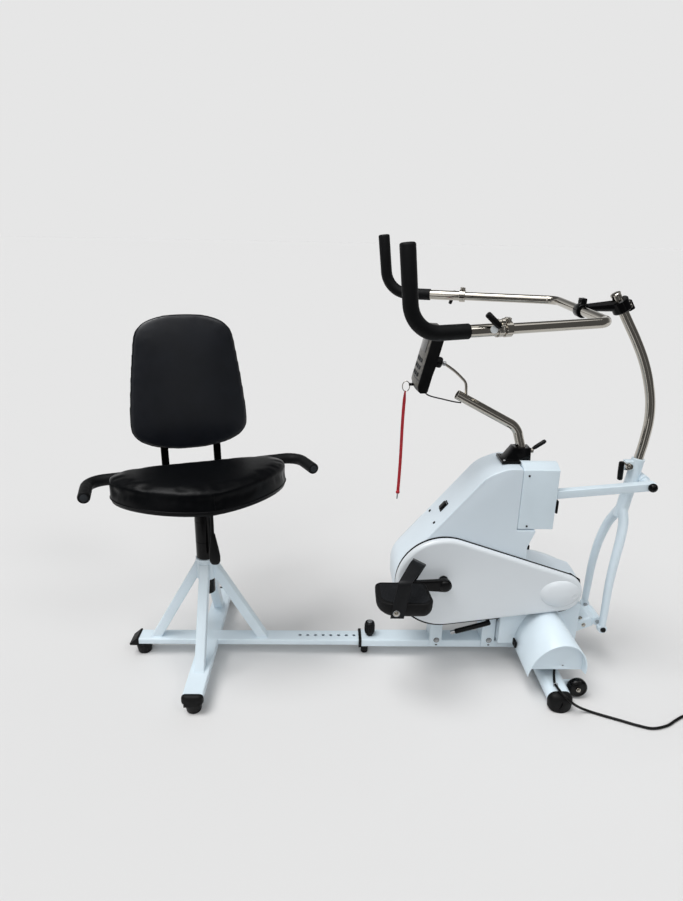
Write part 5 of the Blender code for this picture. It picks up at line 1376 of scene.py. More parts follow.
def hood_section(y, left, right, base, top, steps=56):
    """Half ellipse across X at one Y, on short straight legs, with its ridge leaning to +X."""
    middle = (left + right) / 2
    half = (right - left) / 2
    spring = base + (top - base) * 0.06
    ring = [(left, y, base)]
    for step in range(steps + 1):
        angle = pi * (1 - step / steps)
        lean = HOOD_LEAN * sin(angle)
        ring.append((middle + half * cos(angle) + lean, y, spring + (top - spring) * sin(angle)))
    ring.append((right, y, base))
    return ring


def hood_loft(grow, near, far):
    """Solid of the hood between two Y values, grown outwards by grow; it narrows and rises to the far end."""
    rings = []
    for y in (near, far):
        share = (y - HOOD_NEAR) / (HOOD_FAR - HOOD_NEAR)
        right = 0.6535 - 0.03 * share
        top = 0.187 + 0.036 * share
        rings.append(hood_section(y, 0.48 - grow, right + grow, 0.079 - abs(grow), top + grow))
    return loft(rings)


def hood(bike):
    outer = hood_loft(0.0, HOOD_NEAR, HOOD_FAR)
    front_room = hood_loft(-WALL, HOOD_NEAR - 0.01, -0.203)
    back_room = hood_loft(-WALL, -0.2, HOOD_FAR + 0.01)
    under = box((0.48 + WALL, HOOD_NEAR - 0.01, 0.05), (0.7, HOOD_FAR + 0.01, 0.0885), 0)
    peep = rod((0.5905, -0.21, 0.1015), (0.5905, -0.19, 0.1015), 0.0034, sides=28)
    dress("motor_hood_arch", carve([outer], [front_room, back_room, under, peep]), "powder_coat", "motor_hood",
          soften=0.0006)
    latch = box((0.4725, -0.105, 0.09), (0.4795, -0.08, 0.112), 0.0015)
    hook = box((0.47, -0.096, 0.096), (0.474, -0.089, 0.118), 0.001)
    extra("hood_latch", gather([latch, hook]), "black_abs", "motor_hood")
    high = FAIRING_BOTTOM - 0.0005
    half = HOUSING_HALF
    shell = box((HOUSING_START, -half, HOUSING_BASE), (HOUSING_END, half, high), 0.003, 3)
    inside = box((HOUSING_START + WALL, -half + WALL, HOUSING_BASE - 0.01),
                 (HOUSING_END - WALL, half - WALL, high - WALL), 0)
    belt_way = box((HOUSING_START - 0.01, -0.05, 0.145), (0.6, -0.008, high + 0.01), 0)
    shaft_way = cross_rod(MOTOR_X, MOTOR_Z, -0.08, -0.05, 0.01)
    yoke_way = box((HOUSING_END - 0.01, -0.052, HOUSING_BASE - 0.01), (HOUSING_END + 0.01, 0.052, 0.19), 0)
    dress("drive_housing", carve([shell], [inside, belt_way, shaft_way, yoke_way]), "powder_coat", "lower_housing")


def stabilizer(bike):
    half = STABILIZER_WIDTH / 2
    round_off = (STABILIZER_TOP - STABILIZER_BASE) / 2 - 0.0005
    body = box((STABILIZER_X - half, -STABILIZER_REACH, STABILIZER_BASE),
               (STABILIZER_X + half, STABILIZER_REACH, STABILIZER_TOP), round_off, 14, (0, 1, 0))
    shapes = [body]
    bolts = []
    for side in (-1, 1):
        low, high = sorted((side * (WHEEL_Y - 0.019), side * (WHEEL_Y - 0.014)))
        ear = [(0.59, 0.02, 0), (0.59, 0.048, 0), (0.652, 0.046, 0.011), (0.652, 0.021, 0.011)]
        shapes.append(prism(fillet(ear), low, high))
        shapes.append(cross_rod(WHEEL_X, WHEEL_Z, side * (WHEEL_Y - 0.016), side * (WHEEL_Y + 0.0125), 0.0045,
                                sides=32))
        bolts.append(((WHEEL_X, side * (WHEEL_Y + 0.0122), WHEEL_Z), (0, side, 0)))
    dress("flat_oval_beam", carve(shapes), "powder_coat", "stabilizer_beam")
    fasteners("wheel_bolts", "hex", 0.0052, bolts, "chrome", "stabilizer_beam")
    for label, side in SIDES:
        wide = half + 0.003
        cap = shoe(STABILIZER_X, wide, 0.0, 0.0575, side * (STABILIZER_REACH + GAP),
                   side * (STABILIZER_REACH + 0.026), 0.86)
        dress(f"stabilizer_shoe_{label}", cap, "rubber", f"stabilizer_cap_{label}")
        node = f"transport_wheel_{label}"
        centre = side * WHEEL_Y
        profile = [(-0.012, 0.006), (-0.012, 0.024), (-0.0108, 0.0258), (-0.0085, 0.0285), (-0.005, 0.0298),
                   (0.0, WHEEL_RADIUS), (0.005, 0.0298), (0.0085, 0.0285), (0.0108, 0.0258), (0.012, 0.024),
                   (0.012, 0.006)]
        tyre = turned((WHEEL_X, centre, WHEEL_Z), (WHEEL_X, centre + side, WHEEL_Z), profile, 72)
        bore = cross_rod(WHEEL_X, WHEEL_Z, centre - 0.03, centre + 0.03, 0.0049, sides=32)
        dish = turned((WHEEL_X, centre + side * 0.0105, WHEEL_Z), (WHEEL_X, centre + side, WHEEL_Z),
                      [(0, 0.02), (0.01, 0.0225)], 64)
        dress(f"wheel_tyre_{label}", carve([tyre], [bore, dish]), "wheel_black", node)


# Cranks and pedals

def cranks(bike):
    reach = ARM_OUTER + 0.004
    axle = cross_rod(CRANK_X, CRANK_Z, -reach, reach, 0.01)
    wheel = cross_rod(CRANK_X, CRANK_Z, PULLEY_OUTER, PULLEY_INNER, PULLEY_RADIUS, sides=96)
    dress("axle_and_pulley", carve([axle, wheel]), "bare_steel", "crank_axle")
    for label, side in SIDES:
        low, high = sorted((side * ARM_INNER, side * ARM_OUTER))
        end_x = CRANK_X + side * CRANK_LENGTH
        outline = circle_pair((CRANK_X, CRANK_Z, 0.02), (end_x, CRANK_Z, 0.0125), 0.0, 24)
        arm = prism(outline, low, high, 0.0025, 4)
        axle_hole = cross_rod(CRANK_X, CRANK_Z, side * 0.1, side * 0.2, 0.0103)
        spare_x = CRANK_X + side * CRANK_LENGTH * 0.52
        spare = cross_rod(spare_x, CRANK_Z, side * 0.1, side * 0.2, 0.006)
        dome = turned((CRANK_X, side * (ARM_INNER + 0.001), CRANK_Z), (CRANK_X, side, CRANK_Z), [
            (0, 0.018), (0.01, 0.018), (0.014, 0.0168), (0.0165, 0.014), (0.0178, 0.01), (0.0182, 0.001)], 56)
        node = f"crank_arm_{label}"
        dress(f"crank_{label}", carve([arm], [axle_hole, spare]), "black_enamel", node)
        extra(f"crank_cap_{label}", dome, "black_abs", node)
        collar = cross_rod(CRANK_X, CRANK_Z, side * (CASE_HALF + COVER_DEPTH + 0.0004), side * (ARM_INNER - 0.0005),
                           0.013, bevel=0.001)
        extra(f"crank_collar_{label}", collar, "black_abs", "crank_axle")
        spindle = cross_rod(end_x, CRANK_Z, side * (ARM_INNER + 0.0145), side * (PEDAL_OUTER - 0.01), 0.006)
        flat = cross_rod(end_x, CRANK_Z, side * (ARM_OUTER + 0.0002), side * (ARM_OUTER + 0.0062), 0.0088, sides=6)
        extra(f"pedal_spindle_{label}", gather([spindle, flat]), "zinc", node)
        ring = turned((spare_x, side * (ARM_OUTER - 0.003), CRANK_Z), (spare_x, side, CRANK_Z),
                      [(0, 0.0059), (0.0034, 0.0059), (0.0034, 0.0046), (0.0008, 0.004), (0.0008, 0.0005)])
        extra(f"spare_hole_insert_{label}", ring, "zinc", node)


def pedal_plan(middle_x, side, shrink):
    """Plan of a footplate, pulled in by shrink: broad and round outside, narrower beside the crank."""
    near, far = side * (PEDAL_OUTER - shrink), side * (PEDAL_INNER + shrink * 0.4)
    left, right = middle_x - PEDAL_LENGTH / 2 + shrink * 1.3, middle_x + PEDAL_LENGTH / 2 - shrink * 0.9
    corners = [(left + 0.002, far, 0.02), (left, near, 0.048), (right, near, 0.026), (right - 0.012, far, 0.016)]
    return fillet([(x, y, max(0.004, radius - shrink * 0.5)) for x, y, radius in corners], 12)


def pedals(bike):
    for label, side in SIDES:
        spindle_x = CRANK_X + side * CRANK_LENGTH
        middle_x = spindle_x - 0.0125
        top = CRANK_Z + PEDAL_TOP
        node = f"pedal_{label}"
        rings = []
        for shrink, drop in ((0.008, 0.0015), (0.0055, 0.0015), (0.0045, 0.0), (0.002, 0.0002), (0.0004, 0.0016),
                             (0, 0.0045),
                             (0.0006, 0.019), (0.0022, 0.0285), (0.0055, 0.037), (0.0105, 0.044), (0.017, 0.0485),
                             (0.025, 0.0506), (0.032, 0.051)):
            rings.append([(x, y, top - drop) for x, y in pedal_plan(middle_x, side, shrink)])
        bore = cross_rod(spindle_x, CRANK_Z, side * 0.1, side * (PEDAL_OUTER - 0.008), 0.0064)
        dress(f"footplate_{label}", carve([loft(rings)], [bore]), "pedal_rubber", node)
        pitch = bike.tread_pitch
        edge = [Vector(point) for point in pedal_plan(middle_x, side, 0.0105)]
        centre = sum(edge, Vector((0, 0))) / len(edge)
        places = []
        for column in range(-22, 23):
            for row in range(-16, 17):
                point = Vector((middle_x + column * pitch, side * (PEDAL_INNER + PEDAL_OUTER) / 2 + row * pitch))
                if all((b - a).cross(point - a) * (b - a).cross(centre - a) > 0 for a,
                       b in zip(edge, edge[1:] + edge[:1])
                       if (b - a).length > 1e-6):
                    places.append(((point.x, point.y, top - 0.0016), (0, 0, 1)))
        stud = box((-0.33 * pitch, -0.33 * pitch, 0), (0.33 * pitch, 0.33 * pitch, 0.0014), 0)
        fasteners(f"tread_{label}", stud, 1.0, places, "tread_rubber", node)
        foot_strap(label, side, middle_x - 0.021)
        place = (middle_x - 0.026, side * (PEDAL_OUTER + 0.0031), CRANK_Z - 0.004)
        washer = rod(place, Vector(place) + Vector((0, side * 0.001, 0)), 0.0098, bevel=0.0003)
        extra(f"strap_washer_{label}", washer, "zinc", f"pedal_strap_{label}")
        fasteners(f"strap_bolt_{label}", "hex", 0.0052, [(washer_top(place, side), (0, side, 0))], "chrome",
                  f"pedal_strap_{label}")


def washer_top(place, side):
    return (place[0], place[1] + side * 0.0008, place[2])


def foot_strap(label, side, x):
    """Stiff strap: upright outside the foot, folded over it and leaning forward to its inner end."""
    inner, outer = PEDAL_INNER - GAP, PEDAL_OUTER + GAP
    thick = 0.0028
    skins = []
    for out in (thick, 0.0):
        skins.append(fillet([
            (-outer - out, CRANK_Z - 0.02, 0), (-outer - out, CRANK_Z + 0.09 + out, 0.014),
            (-0.205, CRANK_Z + 0.111 + out, 0.04), (-inner + out, CRANK_Z + 0.09 + out, 0.018),
            (-inner + out, CRANK_Z + 0.014, 0)], 14, closed=False))
    rings = []
    for edge, thin in ((-1.0, 0.35), (-0.985, 0.8), (-0.95, 1.0), (0.95, 1.0), (0.985, 0.8), (1.0, 0.35)):
        ring = []
        for first, second in (skins, [skin[::-1] for skin in skins[::-1]]):
            for (ya, za), (yb, zb) in zip(first, second):
                y = (ya * (1 + thin) + yb * (1 - thin)) / 2
                z = (za * (1 + thin) + zb * (1 - thin)) / 2
                over = min(1.0, max(0.0, (y + outer) / 0.075))
                rise = (z if over < 0.2 else CRANK_Z + 0.088) - CRANK_Z + 0.004
                down = max(0.0, CRANK_Z + 0.088 - z) if over > 0.9 else 0.0
                shift = 0.15 * rise + 0.047 * over + 0.22 * max(0.0, y + 0.2) - 0.45 * down
                drop = edge * 0.01 * over * max(0.0, 1 - down / 0.05)
                ring.append((x + edge * STRAP_WIDTH * 0.42 + shift, -side * y, z - drop))
        rings.append(ring)
    dress(f"foot_strap_{label}", loft(rings), "strap_rubber", f"pedal_strap_{label}", smooth=50.0)


def rail_lever(bike):
    grip = turned((0.29, -0.06, 0.119), (0.396, -0.06, 0.152), [
        (0, 0.005), (0.0012, 0.007), (0.004, 0.008), (0.104, 0.008), (0.108, 0.0076), (0.111, 0.0066)])
    knee = rod((0.396, -0.066, 0.1525), (0.396, -0.0352, 0.1525), 0.006, sides=32, bevel=0.0006)
    dress("rail_lever_sleeve", carve([grip, knee]), "black_abs", "base_lever")
    tip = rod((0.277, -0.06, 0.115), (0.2908, -0.06, 0.11925), 0.0066, bevel=0.0012)
    extra("rail_lever_tip", tip, "zinc", "base_lever")


# Arm trainer

def support(bike):
    start = (0.5548, BAR_Y, 0.5969)
    end = (PIVOT_X + 0.0125, BAR_Y, 0.6262)
    beam = bar(start, end, BAR_SIZE, BAR_SIZE, 0.003, (0, 1, 0), 5)
    pivot = cross_rod(PIVOT_X, PIVOT_Z, -0.072, 0.03, 0.011, sides=56)
    cap = ball((PIVOT_X, -0.075, PIVOT_Z), (0.0135, 0.012, 0.0135))
    washer = cross_rod(PIVOT_X, PIVOT_Z, 0.0235, 0.03, 0.016, sides=56, bevel=0.0008)
    dress("arm_support_bar", carve([beam, pivot, washer]), "powder_coat", "support_bar")
    extra("pivot_cap", cap, "black_enamel", "support_bar")
    clip = box((0.556, BAR_Y - 0.017, 0.54), (0.562, BAR_Y + 0.01, 0.58), 0.0015)
    extra("box_rear_clip", clip, "black_abs", "control_box")


def fork(bike):
    socket = turned(column_point(0.5), column_point(0.692), [(0, 0.018), (0.001, 0.019), (0.1925, 0.019),
                                                               (0.1937, 0.018)], 56)
    boss = cross_rod(PIVOT_X, PIVOT_Z, -0.022, 0.022, 0.0165, sides=56, bevel=0.0008)
    rib = box((COLUMN_X, -0.006, PIVOT_Z - 0.022), (PIVOT_X - 0.002, 0.006, PIVOT_Z + 0.014), 0.001)
    ears = box((0.771, -0.0105, 0.655), (0.803, 0.0105, 0.686), 0.004, 5)
    shapes = [socket, boss, rib, ears]
    for side in (-1, 1):
        knots = [(0.789, side * 0.004, 0.53), (0.786, side * 0.03, 0.495), (0.776, side * 0.05, 0.45),
                 (0.764, side * 0.062, 0.38), (0.757, side * 0.067, 0.3), (0.756, side * 0.07, 0.22),
                 (ROD_END_X, side * ROD_END_Y, ROD_END_Z + 0.006)]
        route = smooth_route(knots, 0.01)
        thin = [1.0 - 0.28 * index / (len(route) - 1) for index in range(len(route))]
        shapes.append(tube(route, 0.015, 10, thin))
        shapes.append(cross_rod(ROD_END_X, ROD_END_Z, side * (ROD_END_Y - 0.008), side * (ROD_END_Y + 0.008), 0.0145,
                                sides=56, bevel=0.001))
    pivot_bore = cross_rod(PIVOT_X, PIVOT_Z, -0.04, 0.04, 0.0113)
    mast_bore = rod(column_point(0.545), column_point(0.72), MAST_RADIUS + GAP, sides=56)
    eye_bore = cross_rod(ROD_END_X, ROD_END_Z, -0.1, 0.1, 0.0064)
    split = box((0.765, -0.0012, 0.64), (0.812, 0.0012, 0.7), 0)
    mesh = carve(shapes, [pivot_bore, mast_bore, eye_bore, split])
    dress("column_and_two_legs", mesh, "powder_coat", "arm_fork")
    bolts = [((0.779, -0.0105, 0.662), (0, -1, 0)), ((0.779, 0.0105, 0.662), (0, 1, 0))]
    fasteners("socket_clamp_bolts", "button", 0.0052, bolts, "black_screw", "arm_fork")
    fasteners("rib_screw", "button", 0.0034, [((0.819, -0.006, 0.626), (0, -1, 0))], "zinc", "arm_fork")


def yoke(bike):
    block = bar((0.645, 0.0, 0.1008), (0.74, 0.0, 0.145), 0.076, 0.036, 0.0075, segments=6)
    nose = cross_rod(ROD_END_X, ROD_END_Z, -0.036, 0.036, 0.015, sides=56, bevel=0.001)
    neck = box((0.728, -0.034, 0.134), (0.757, 0.034, 0.156), 0.001)
    dress("push_yoke", carve([block, neck, nose]), "powder_coat", "drive_yoke")
    pin = cross_rod(ROD_END_X, ROD_END_Z, -0.085, 0.085, 0.006)
    extra("yoke_pin", pin, "zinc", "drive_yoke")
    ends = [((ROD_END_X, side * 0.083, ROD_END_Z), (0, side, 0)) for side in (-1, 1)]
    fasteners("yoke_pin_heads", "hex", 0.0064, ends, "black_screw", "drive_yoke")
    run = (Vector((0.74, 0.0, 0.145)) - Vector((0.645, 0.0, 0.1008))).normalized()
    up = Vector((-run.z, 0, run.x))
    middle = Vector((0.712, 0.0, 0.132))
    bolts = []
    for side in (-1, 1):
        bolts.append((middle + up * 0.017 + Vector((0, side * 0.024, 0)), up))
        bolts.append((middle + Vector((0, side * 0.038, 0)), (0, side, 0)))
    fasteners("yoke_bolts", "hex", 0.005, bolts, "chrome", "drive_yoke")


def mast_tube(bike):
    straight = [column_point(0.56), column_point(0.74)]
    knots = [column_point(0.74), (0.8235, 0, 0.806), (0.817, 0, 0.868), (0.7995, 0, 0.93),
             (0.7755, 0, 0.9885), (0.7446, 0, 1.0449), (0.7098, 0, 1.1001), (0.6665, 0, 1.169)]
    route = straight[:1] + smooth_route(knots, 0.008)
    dress("bent_mast", tube(route, MAST_RADIUS, 12), "chrome", "mast")
    end = Vector(knots[-1])
    run = (end - Vector(knots[-2])).normalized()
    cap = turned(end - run * 0.004, end + run, [(0, 0.013), (0.002, 0.0144), (0.0055, 0.0144), (0.0078, 0.012),
                                                (0.0088, 0.007), (0.009, 0.0005)], 56)
    extra("mast_end_cap", cap, "chrome", "mast")
    hinge = Vector((0.78, -0.018, 0.671))
    boss = rod((hinge.x, -0.012, hinge.z), (hinge.x, -0.024, hinge.z), 0.01, sides=48, bevel=0.001)
    arm = bar(hinge + Vector((0, -0.0025, 0)), (0.757, -0.0205, 0.686), 0.006, 0.01, 0.001, up=(0, 1, 0))
    dress("quick_release_arm", carve([boss, arm]), "chrome", "mast_lever")
    grip = turned((0.753, -0.022, 0.688), (0.756, -0.022, 0.63), [
        (0, 0.0045), (0.001, 0.0065), (0.0035, 0.0078), (0.03, 0.0084), (0.054, 0.008), (0.057, 0.0064),
        (0.058, 0.003)])
    extra("quick_release_grip", grip, "black_abs", "mast_lever")


def stem(bike):
    low = Vector((0.6945, 0, 1.1245))
    high = Vector((0.676, 0, 1.1539))
    reach = (high - low).length
    clamp = turned(low, high, [(0, 0.0235), (0.0025, 0.026), (reach - 0.0025, 0.026), (reach, 0.0235)], 56)
    neck = rod((0.592, 0, 1.1325), (0.68, 0, 1.139), 0.0105, 0.0165, 48)
    band = cross_rod(BAR_X, BAR_Z, -0.016, 0.016, 0.019, sides=56, bevel=0.0025)
    ears = box((BAR_X - 0.008, -0.013, BAR_Z + 0.016), (BAR_X + 0.008, 0.013, BAR_Z + 0.034), 0.0025, 4)
    lug = bar((0.7, 0, 1.136), (0.716, 0, 1.146), 0.026, 0.03, 0.004, segments=4)
    run = Vector((-0.5323, 0, 0.8465))
    middle = Vector((0.6853, 0, 1.1392))
    mast_bore = rod(middle - run * 0.05, middle + run * 0.05, MAST_RADIUS + 0.0006)
    bar_bore = cross_rod(BAR_X, BAR_Z, -0.05, 0.05, BAR_RADIUS + GAP)
    split = box((BAR_X - 0.0012, -0.05, BAR_Z + 0.012), (BAR_X + 0.0012, 0.05, BAR_Z + 0.04), 0)
    for shape in (band, ears, bar_bore, split):
        stem_turned(shape)
    mesh = carve([clamp, neck, band, ears, lug], [mast_bore, bar_bore, split])
    dress("stem_and_clamps", mesh, "black_enamel", "handlebar_stem")
    bolts = []
    for side in (-1, 1):
        bolts.append((Vector((0.706, side * 0.013, 1.14)), (0, side, 0)))
        bolts.append((Vector((0.702, side * 0.013, 1.148)), (0.5, side, 0.3)))
    fasteners("mast_clamp_bolts", "button", 0.0066, bolts, "chrome", "handlebar_stem")
    band_bolts = [(Vector((BAR_X - 0.008, 0, BAR_Z + 0.0255)), (-1, 0, 0)),
                  (Vector((BAR_X + 0.008, 0, BAR_Z + 0.0255)), (1, 0, 0))]
    fasteners("band_bolts", "button", 0.005, band_bolts, "black_screw", "handlebar_stem")


def arm_point(x, side):
    """Point on an arm of the U bar at a given X."""
    return (x, BAR_SHIFT + side * (BAR_HALF + (BAR_X - x) * BAR_SPREAD), BAR_Z - (BAR_X - x) * BAR_DROP)


def bent_bar(bike):
    ends = []
    for side in (-1, 1):
        x, y, z = arm_point(0.19, side)
        ends.append((x, y, z, 0))
    corners = [ends[0], (*arm_point(BAR_X, -1), 0.045), (*arm_point(BAR_X, 1), 0.045), ends[1]]
    route = fillet(corners, 18, closed=False)
    dress("handlebar_u_tube", stem_turned(tube(route, BAR_RADIUS, 12)), "chrome", "u_bar")


def grips(bike):
    """Telescoping sleeves that end in upright foam grips, each with a clamp and its lever."""
    for label, side, pulled, taller, back, rise in (("near", -1, 0.005, 0.014, 0.038, 0.034),
                                                    ("far", 1, -0.003, 0.0, 0.012, -0.036)):
        node = f"handle_{label}"
        clamp_x = HANDLE_START_X - pulled
        foam_x = 0.203 - pulled
        elbow = arm_point(ELBOW_X - pulled, side)
        top = Vector((GRIP_TOP_X - pulled, elbow[1], GRIP_TOP_Z + taller))
        route = fillet([(*arm_point(foam_x, side), 0), (*elbow, 0.075), (*top, 0)], 16, closed=False)
        run = (top - Vector(route[-2])).normalized()
        path = route[:-1] + [tuple(top - run * 0.0045), tuple(top - run * 0.002), tuple(top - run * 0.0005), tuple(top)]
        radii = [1.0] * len(route) + [0.94, 0.82, 0.68]
        bore = rod(arm_point(clamp_x + 0.02, side), arm_point(0.12, side), BAR_RADIUS + GAP)
        foam = carve([tube(path, FOAM_RADIUS, 12, radii)], [bore])
        dress(f"grip_foam_{label}", stem_turned(foam), "foam", node, smooth=50.0)
        sleeve = carve([rod(arm_point(clamp_x - 0.01, side), arm_point(foam_x + 0.0003, side), 0.015)], [bore])
        extra(f"grip_sleeve_{label}", stem_turned(sleeve), "chrome", node)
        along = (Vector(arm_point(foam_x, side)) - Vector(arm_point(clamp_x, side))).normalized()
        clamp = turned(arm_point(clamp_x, side), Vector(arm_point(clamp_x, side)) + along,
                       [(0, 0.0178), (0.0012, 0.019), (0.0175, 0.019), (0.0187, 0.0178)], 56)
        middle = Vector(arm_point(clamp_x - 0.009, side))
        ears = box(middle + Vector((-0.007, -0.008, 0.014)), middle + Vector((0.007, 0.008, 0.027)), 0.0015)
        split = box(middle + Vector((-0.02, -0.001, 0.012)), middle + Vector((0.02, 0.001, 0.04)), 0)
        ring = carve([clamp, ears], [bore, split])
        extra(f"grip_clamp_{label}", stem_turned(ring), "chrome", node)
        turn = (Matrix.Translation((0, 0, BAR_Z)) @ Matrix.Rotation(BAR_ROLL, 4, "X")
                @ Matrix.Translation((0, 0, -BAR_Z)))
        bolt = turn @ (middle + Vector((0, side * 0.008, 0.0205)))
        nut = turn @ (middle + Vector((0, -side * 0.008, 0.0205)))
        fasteners(f"grip_clamp_bolt_{label}", "hex", 0.0048, [(bolt, (0, side, 0)), (nut, (0, -side, 0))], "chrome",
                  node)
        pivot = Vector(arm_point(clamp_x - 0.029, side)) + Vector((0, side * 0.0245, 0.006))
        if side < 0:
            button = Vector(arm_point(0.259, side)) + Vector((0, -0.0125, 0.004))
            lock = Vector(arm_point(clamp_x - 0.03, side)) + Vector((0, side * 0.004, 0.019))
            knuckle = turned(lock + Vector((-0.012, 0, -0.002)), lock + Vector((1, 0, 0.1)), [
                (0, 0.005), (0.002, 0.0075), (0.009, 0.0075), (0.01, 0.0058), (0.016, 0.0058), (0.017, 0.0082),
                (0.023, 0.0082), (0.025, 0.006)], 40)
            extra("lever_knuckle", stem_turned(knuckle), "chrome", node)
            collar = turned(arm_point(clamp_x - 0.024, side), Vector(arm_point(clamp_x - 0.024, side)) + along, [
                (0, 0.0158), (0.001, 0.018), (0.012, 0.018), (0.013, 0.0158)], 56)
            extra("grip_lock_collar", stem_turned(carve([collar], [bore])), "chrome", node)
            disc = rod(button, button - Vector((0, 0.0075, 0)), 0.009, bevel=0.0008)
            extra("plain_round_tag", stem_turned(disc), "white_disc", node)
        head = rod(pivot - Vector((0, side * 0.007, 0)), pivot + Vector((0, side * 0.006, 0)), 0.0075, bevel=0.0008)
        dress(f"lever_boss_{label}", stem_turned(head), "chrome", f"handle_lever_{label}")
        tip = pivot + Vector((-back, side * 0.003, rise))
        reach = (tip - pivot).length
        thick = 0.0076 if side < 0 else 0.0058
        grip = turned(pivot, tip, [(0, thick * 0.66), (0.006, thick * 0.8), (0.012, thick), (reach - 0.003, thick),
                                   (reach - 0.0008, thick * 0.8), (reach, thick * 0.4)])
        extra(f"lever_grip_{label}", stem_turned(grip), "black_abs", f"handle_lever_{label}")


# Console

def console_axis(distance):
    return Vector((CONSOLE_AXIS_X, 0, CONSOLE_AXIS_Z)) + Vector(CONSOLE_LEAN) * distance


def console_clamp(bike):
    plate = box((0.392, -0.0375, CASE_TOP + GAP), (0.4468, 0.0375, 0.69), 0.0012)
    block_rings = []
    for low_x, high_x, half, z in ((0.402, 0.48, 0.022, 0.688), (0.428, 0.478, 0.02, 0.7255)):
        block_rings.append([(low_x, -half, z), (high_x, -half, z), (high_x, half, z), (low_x, half, z)])
    block = loft(block_rings)
    bore = rod(console_axis(-0.0345), console_axis(0.04), CONSOLE_TUBE + GAP)
    dress("console_clamp", carve([plate, block], [bore]), "black_enamel", "console_base", soften=0.0012)
    places = [((0.4, side * 0.029, 0.69), (0, 0, 1)) for side in (-1, 1)]
    fasteners("console_clamp_screws", "button", 0.0042, places, "zinc", "console_base")
    nut = rod((0.48, 0, 0.712), (0.491, 0, 0.712), 0.009, sides=6, bevel=0.0008)
    dress("console_clamp_nut", nut, "chrome", "console_lever")
    grip = turned((0.488, 0, 0.7165), (0.526, 0, 0.744), [
        (0, 0.0032), (0.004, 0.0046), (0.01, 0.006), (0.04, 0.0064), (0.0455, 0.0052), (0.0469, 0.003)])
    extra("console_clamp_grip", grip, "black_abs", "console_lever")


def swan_neck(bike):
    mouth = (0.2503, 0, 0.8809)
    route = fillet([(*console_axis(-0.034), 0), (0.4341, 0, 0.7847, 0.055), (*mouth, 0)], 20, closed=False)
    neck = tube(route, CONSOLE_TUBE, 12)
    run = Vector((-0.8837, 0, 0.468))
    bore = rod(Vector(mouth) - run * 0.025, Vector(mouth) + run * 0.01, 0.0115)
    dress("swan_neck_tube", carve([neck], [bore]), "chrome", "console_tube")
    plug = rod(Vector(mouth) - run * 0.024, Vector(mouth) - run * 0.004, 0.0114)
    extra("swan_neck_plug", plug, "rubber", "console_tube")
    knots = [(0.279, 0, 0.862), (0.2763, 0, 0.886), (0.2732, 0, 0.9131), (0.2585, 0, 0.931),
             (0.2351, 0, 0.9513), (TILT_X + 0.0185, 0, 0.969)]
    extra("bent_rod", tube(smooth_route(knots, 0.005), 0.004, 8), "chrome", "console_tube")
    eye = rod((TILT_X + 0.0135, 0, 0.9712), (TILT_X + 0.021, 0, 0.9692), 0.0065, bevel=0.0008)
    extra("bent_rod_eye", eye, "zinc", "console_tube")


CONSOLE_BACK = [(0.133, 0.8985), (0.15, 0.8985), (0.1539, 0.904), (0.1646, 0.9491), (0.1726, 0.9748),
                (0.1899, 1.0475), (0.195, 1.07), (0.191, 1.074)]
CONSOLE_FRONT = [(0.168, 1.075), (0.164, 1.072), (0.129, 0.9313), (0.1262, 0.915), (0.1275, 0.904)]


def display(bike):
    rings = []
    for step in range(-24, 25):
        across = step / 24
        bulge = FACE_BULGE * (1 - across * across)
        y = across * CONSOLE_HALF
        rings.append([(x, y, z) for x, z in CONSOLE_BACK] + [(x - bulge, y, z) for x, z in CONSOLE_FRONT])
    socket = box((0.105, -0.008, 0.902), (0.135, 0.008, 0.916), 0)
    dress("display_case", carve([loft(rings)], [socket]), "black_abs", "console_head", soften=0.0025)
    strip = display_patch(0.915, 1.0715, 0.066, 0.0011)
    extra("display_film", strip, "film", "console_head", smooth=50.0)
    screen = display_patch(1.008, 1.056, 0.044, 0.0018)
    extra("display_window", screen, "glass_black", "console_head", smooth=50.0)
    keys = []
    for row, height in enumerate((0.944, 0.964, 0.984)):
        for column in (-1, 0, 1):
            keys.append(display_patch(height - 0.005, height + 0.005, 0.0075, 0.002, column * 0.028))
    extra("display_keys", gather(keys), "end_grey", "console_head", smooth=50.0)
    start, end = Vector((0.164, 0, 0.9805)), Vector((TILT_X + 0.01, 0, 0.9715))
    reach = (end - start).length
    knob = turned(start, end, [(0, 0.014), (reach - 0.018, 0.014), (reach - 0.016, 0.015), (reach - 0.003, 0.0148),
                               (reach - 0.001, 0.0138), (reach, 0.0115)])
    extra("tilt_knob", knob, "black_abs", "console_head")
    axis = (end - start).normalized()
    ribs_round("tilt_knob_ribs", end - axis * 0.0095, axis, 0.0146, 16, (0.0026, 0.0026, 0.013), "black_abs",
               "console_head")


def display_patch(low_z, high_z, half_y, proud, shift=0.0):
    """Thin plate on the curved front of the display, between two heights."""
    rings = []
    for step in range(-10, 11):
        y = shift + step / 10 * half_y
        across = y / CONSOLE_HALF
        bulge = FACE_BULGE * (1 - across * across)
        ring = []
        for z, out in ((low_z, proud), (high_z, proud), (high_z, -0.002), (low_z, -0.002)):
            ring.append((display_front(z) - bulge - out, y, z))
        rings.append(ring)
    return loft(rings)


def display_front(z):
    """X of the display's front line at a height."""
    line = sorted((height, x) for x, height in CONSOLE_FRONT)
    for (low, x_low), (high, x_high) in zip(line, line[1:]):
        if low <= z <= high:
            return x_low + (x_high - x_low) * (z - low) / (high - low)
    return line[0][1] if z < line[0][0] else line[-1][1]


def display_lead(bike):
    knots = [(0.1535, 0, 0.8962), (0.1595, 0, 0.883), (0.1742, 0, 0.8745),
             (0.212, 0, 0.8656), (0.2422, 0, 0.859), (0.264, 0, 0.856)]
    dress("display_lead", tube(smooth_route(knots, 0.004), 0.002, 6), "cord", "console_cable")


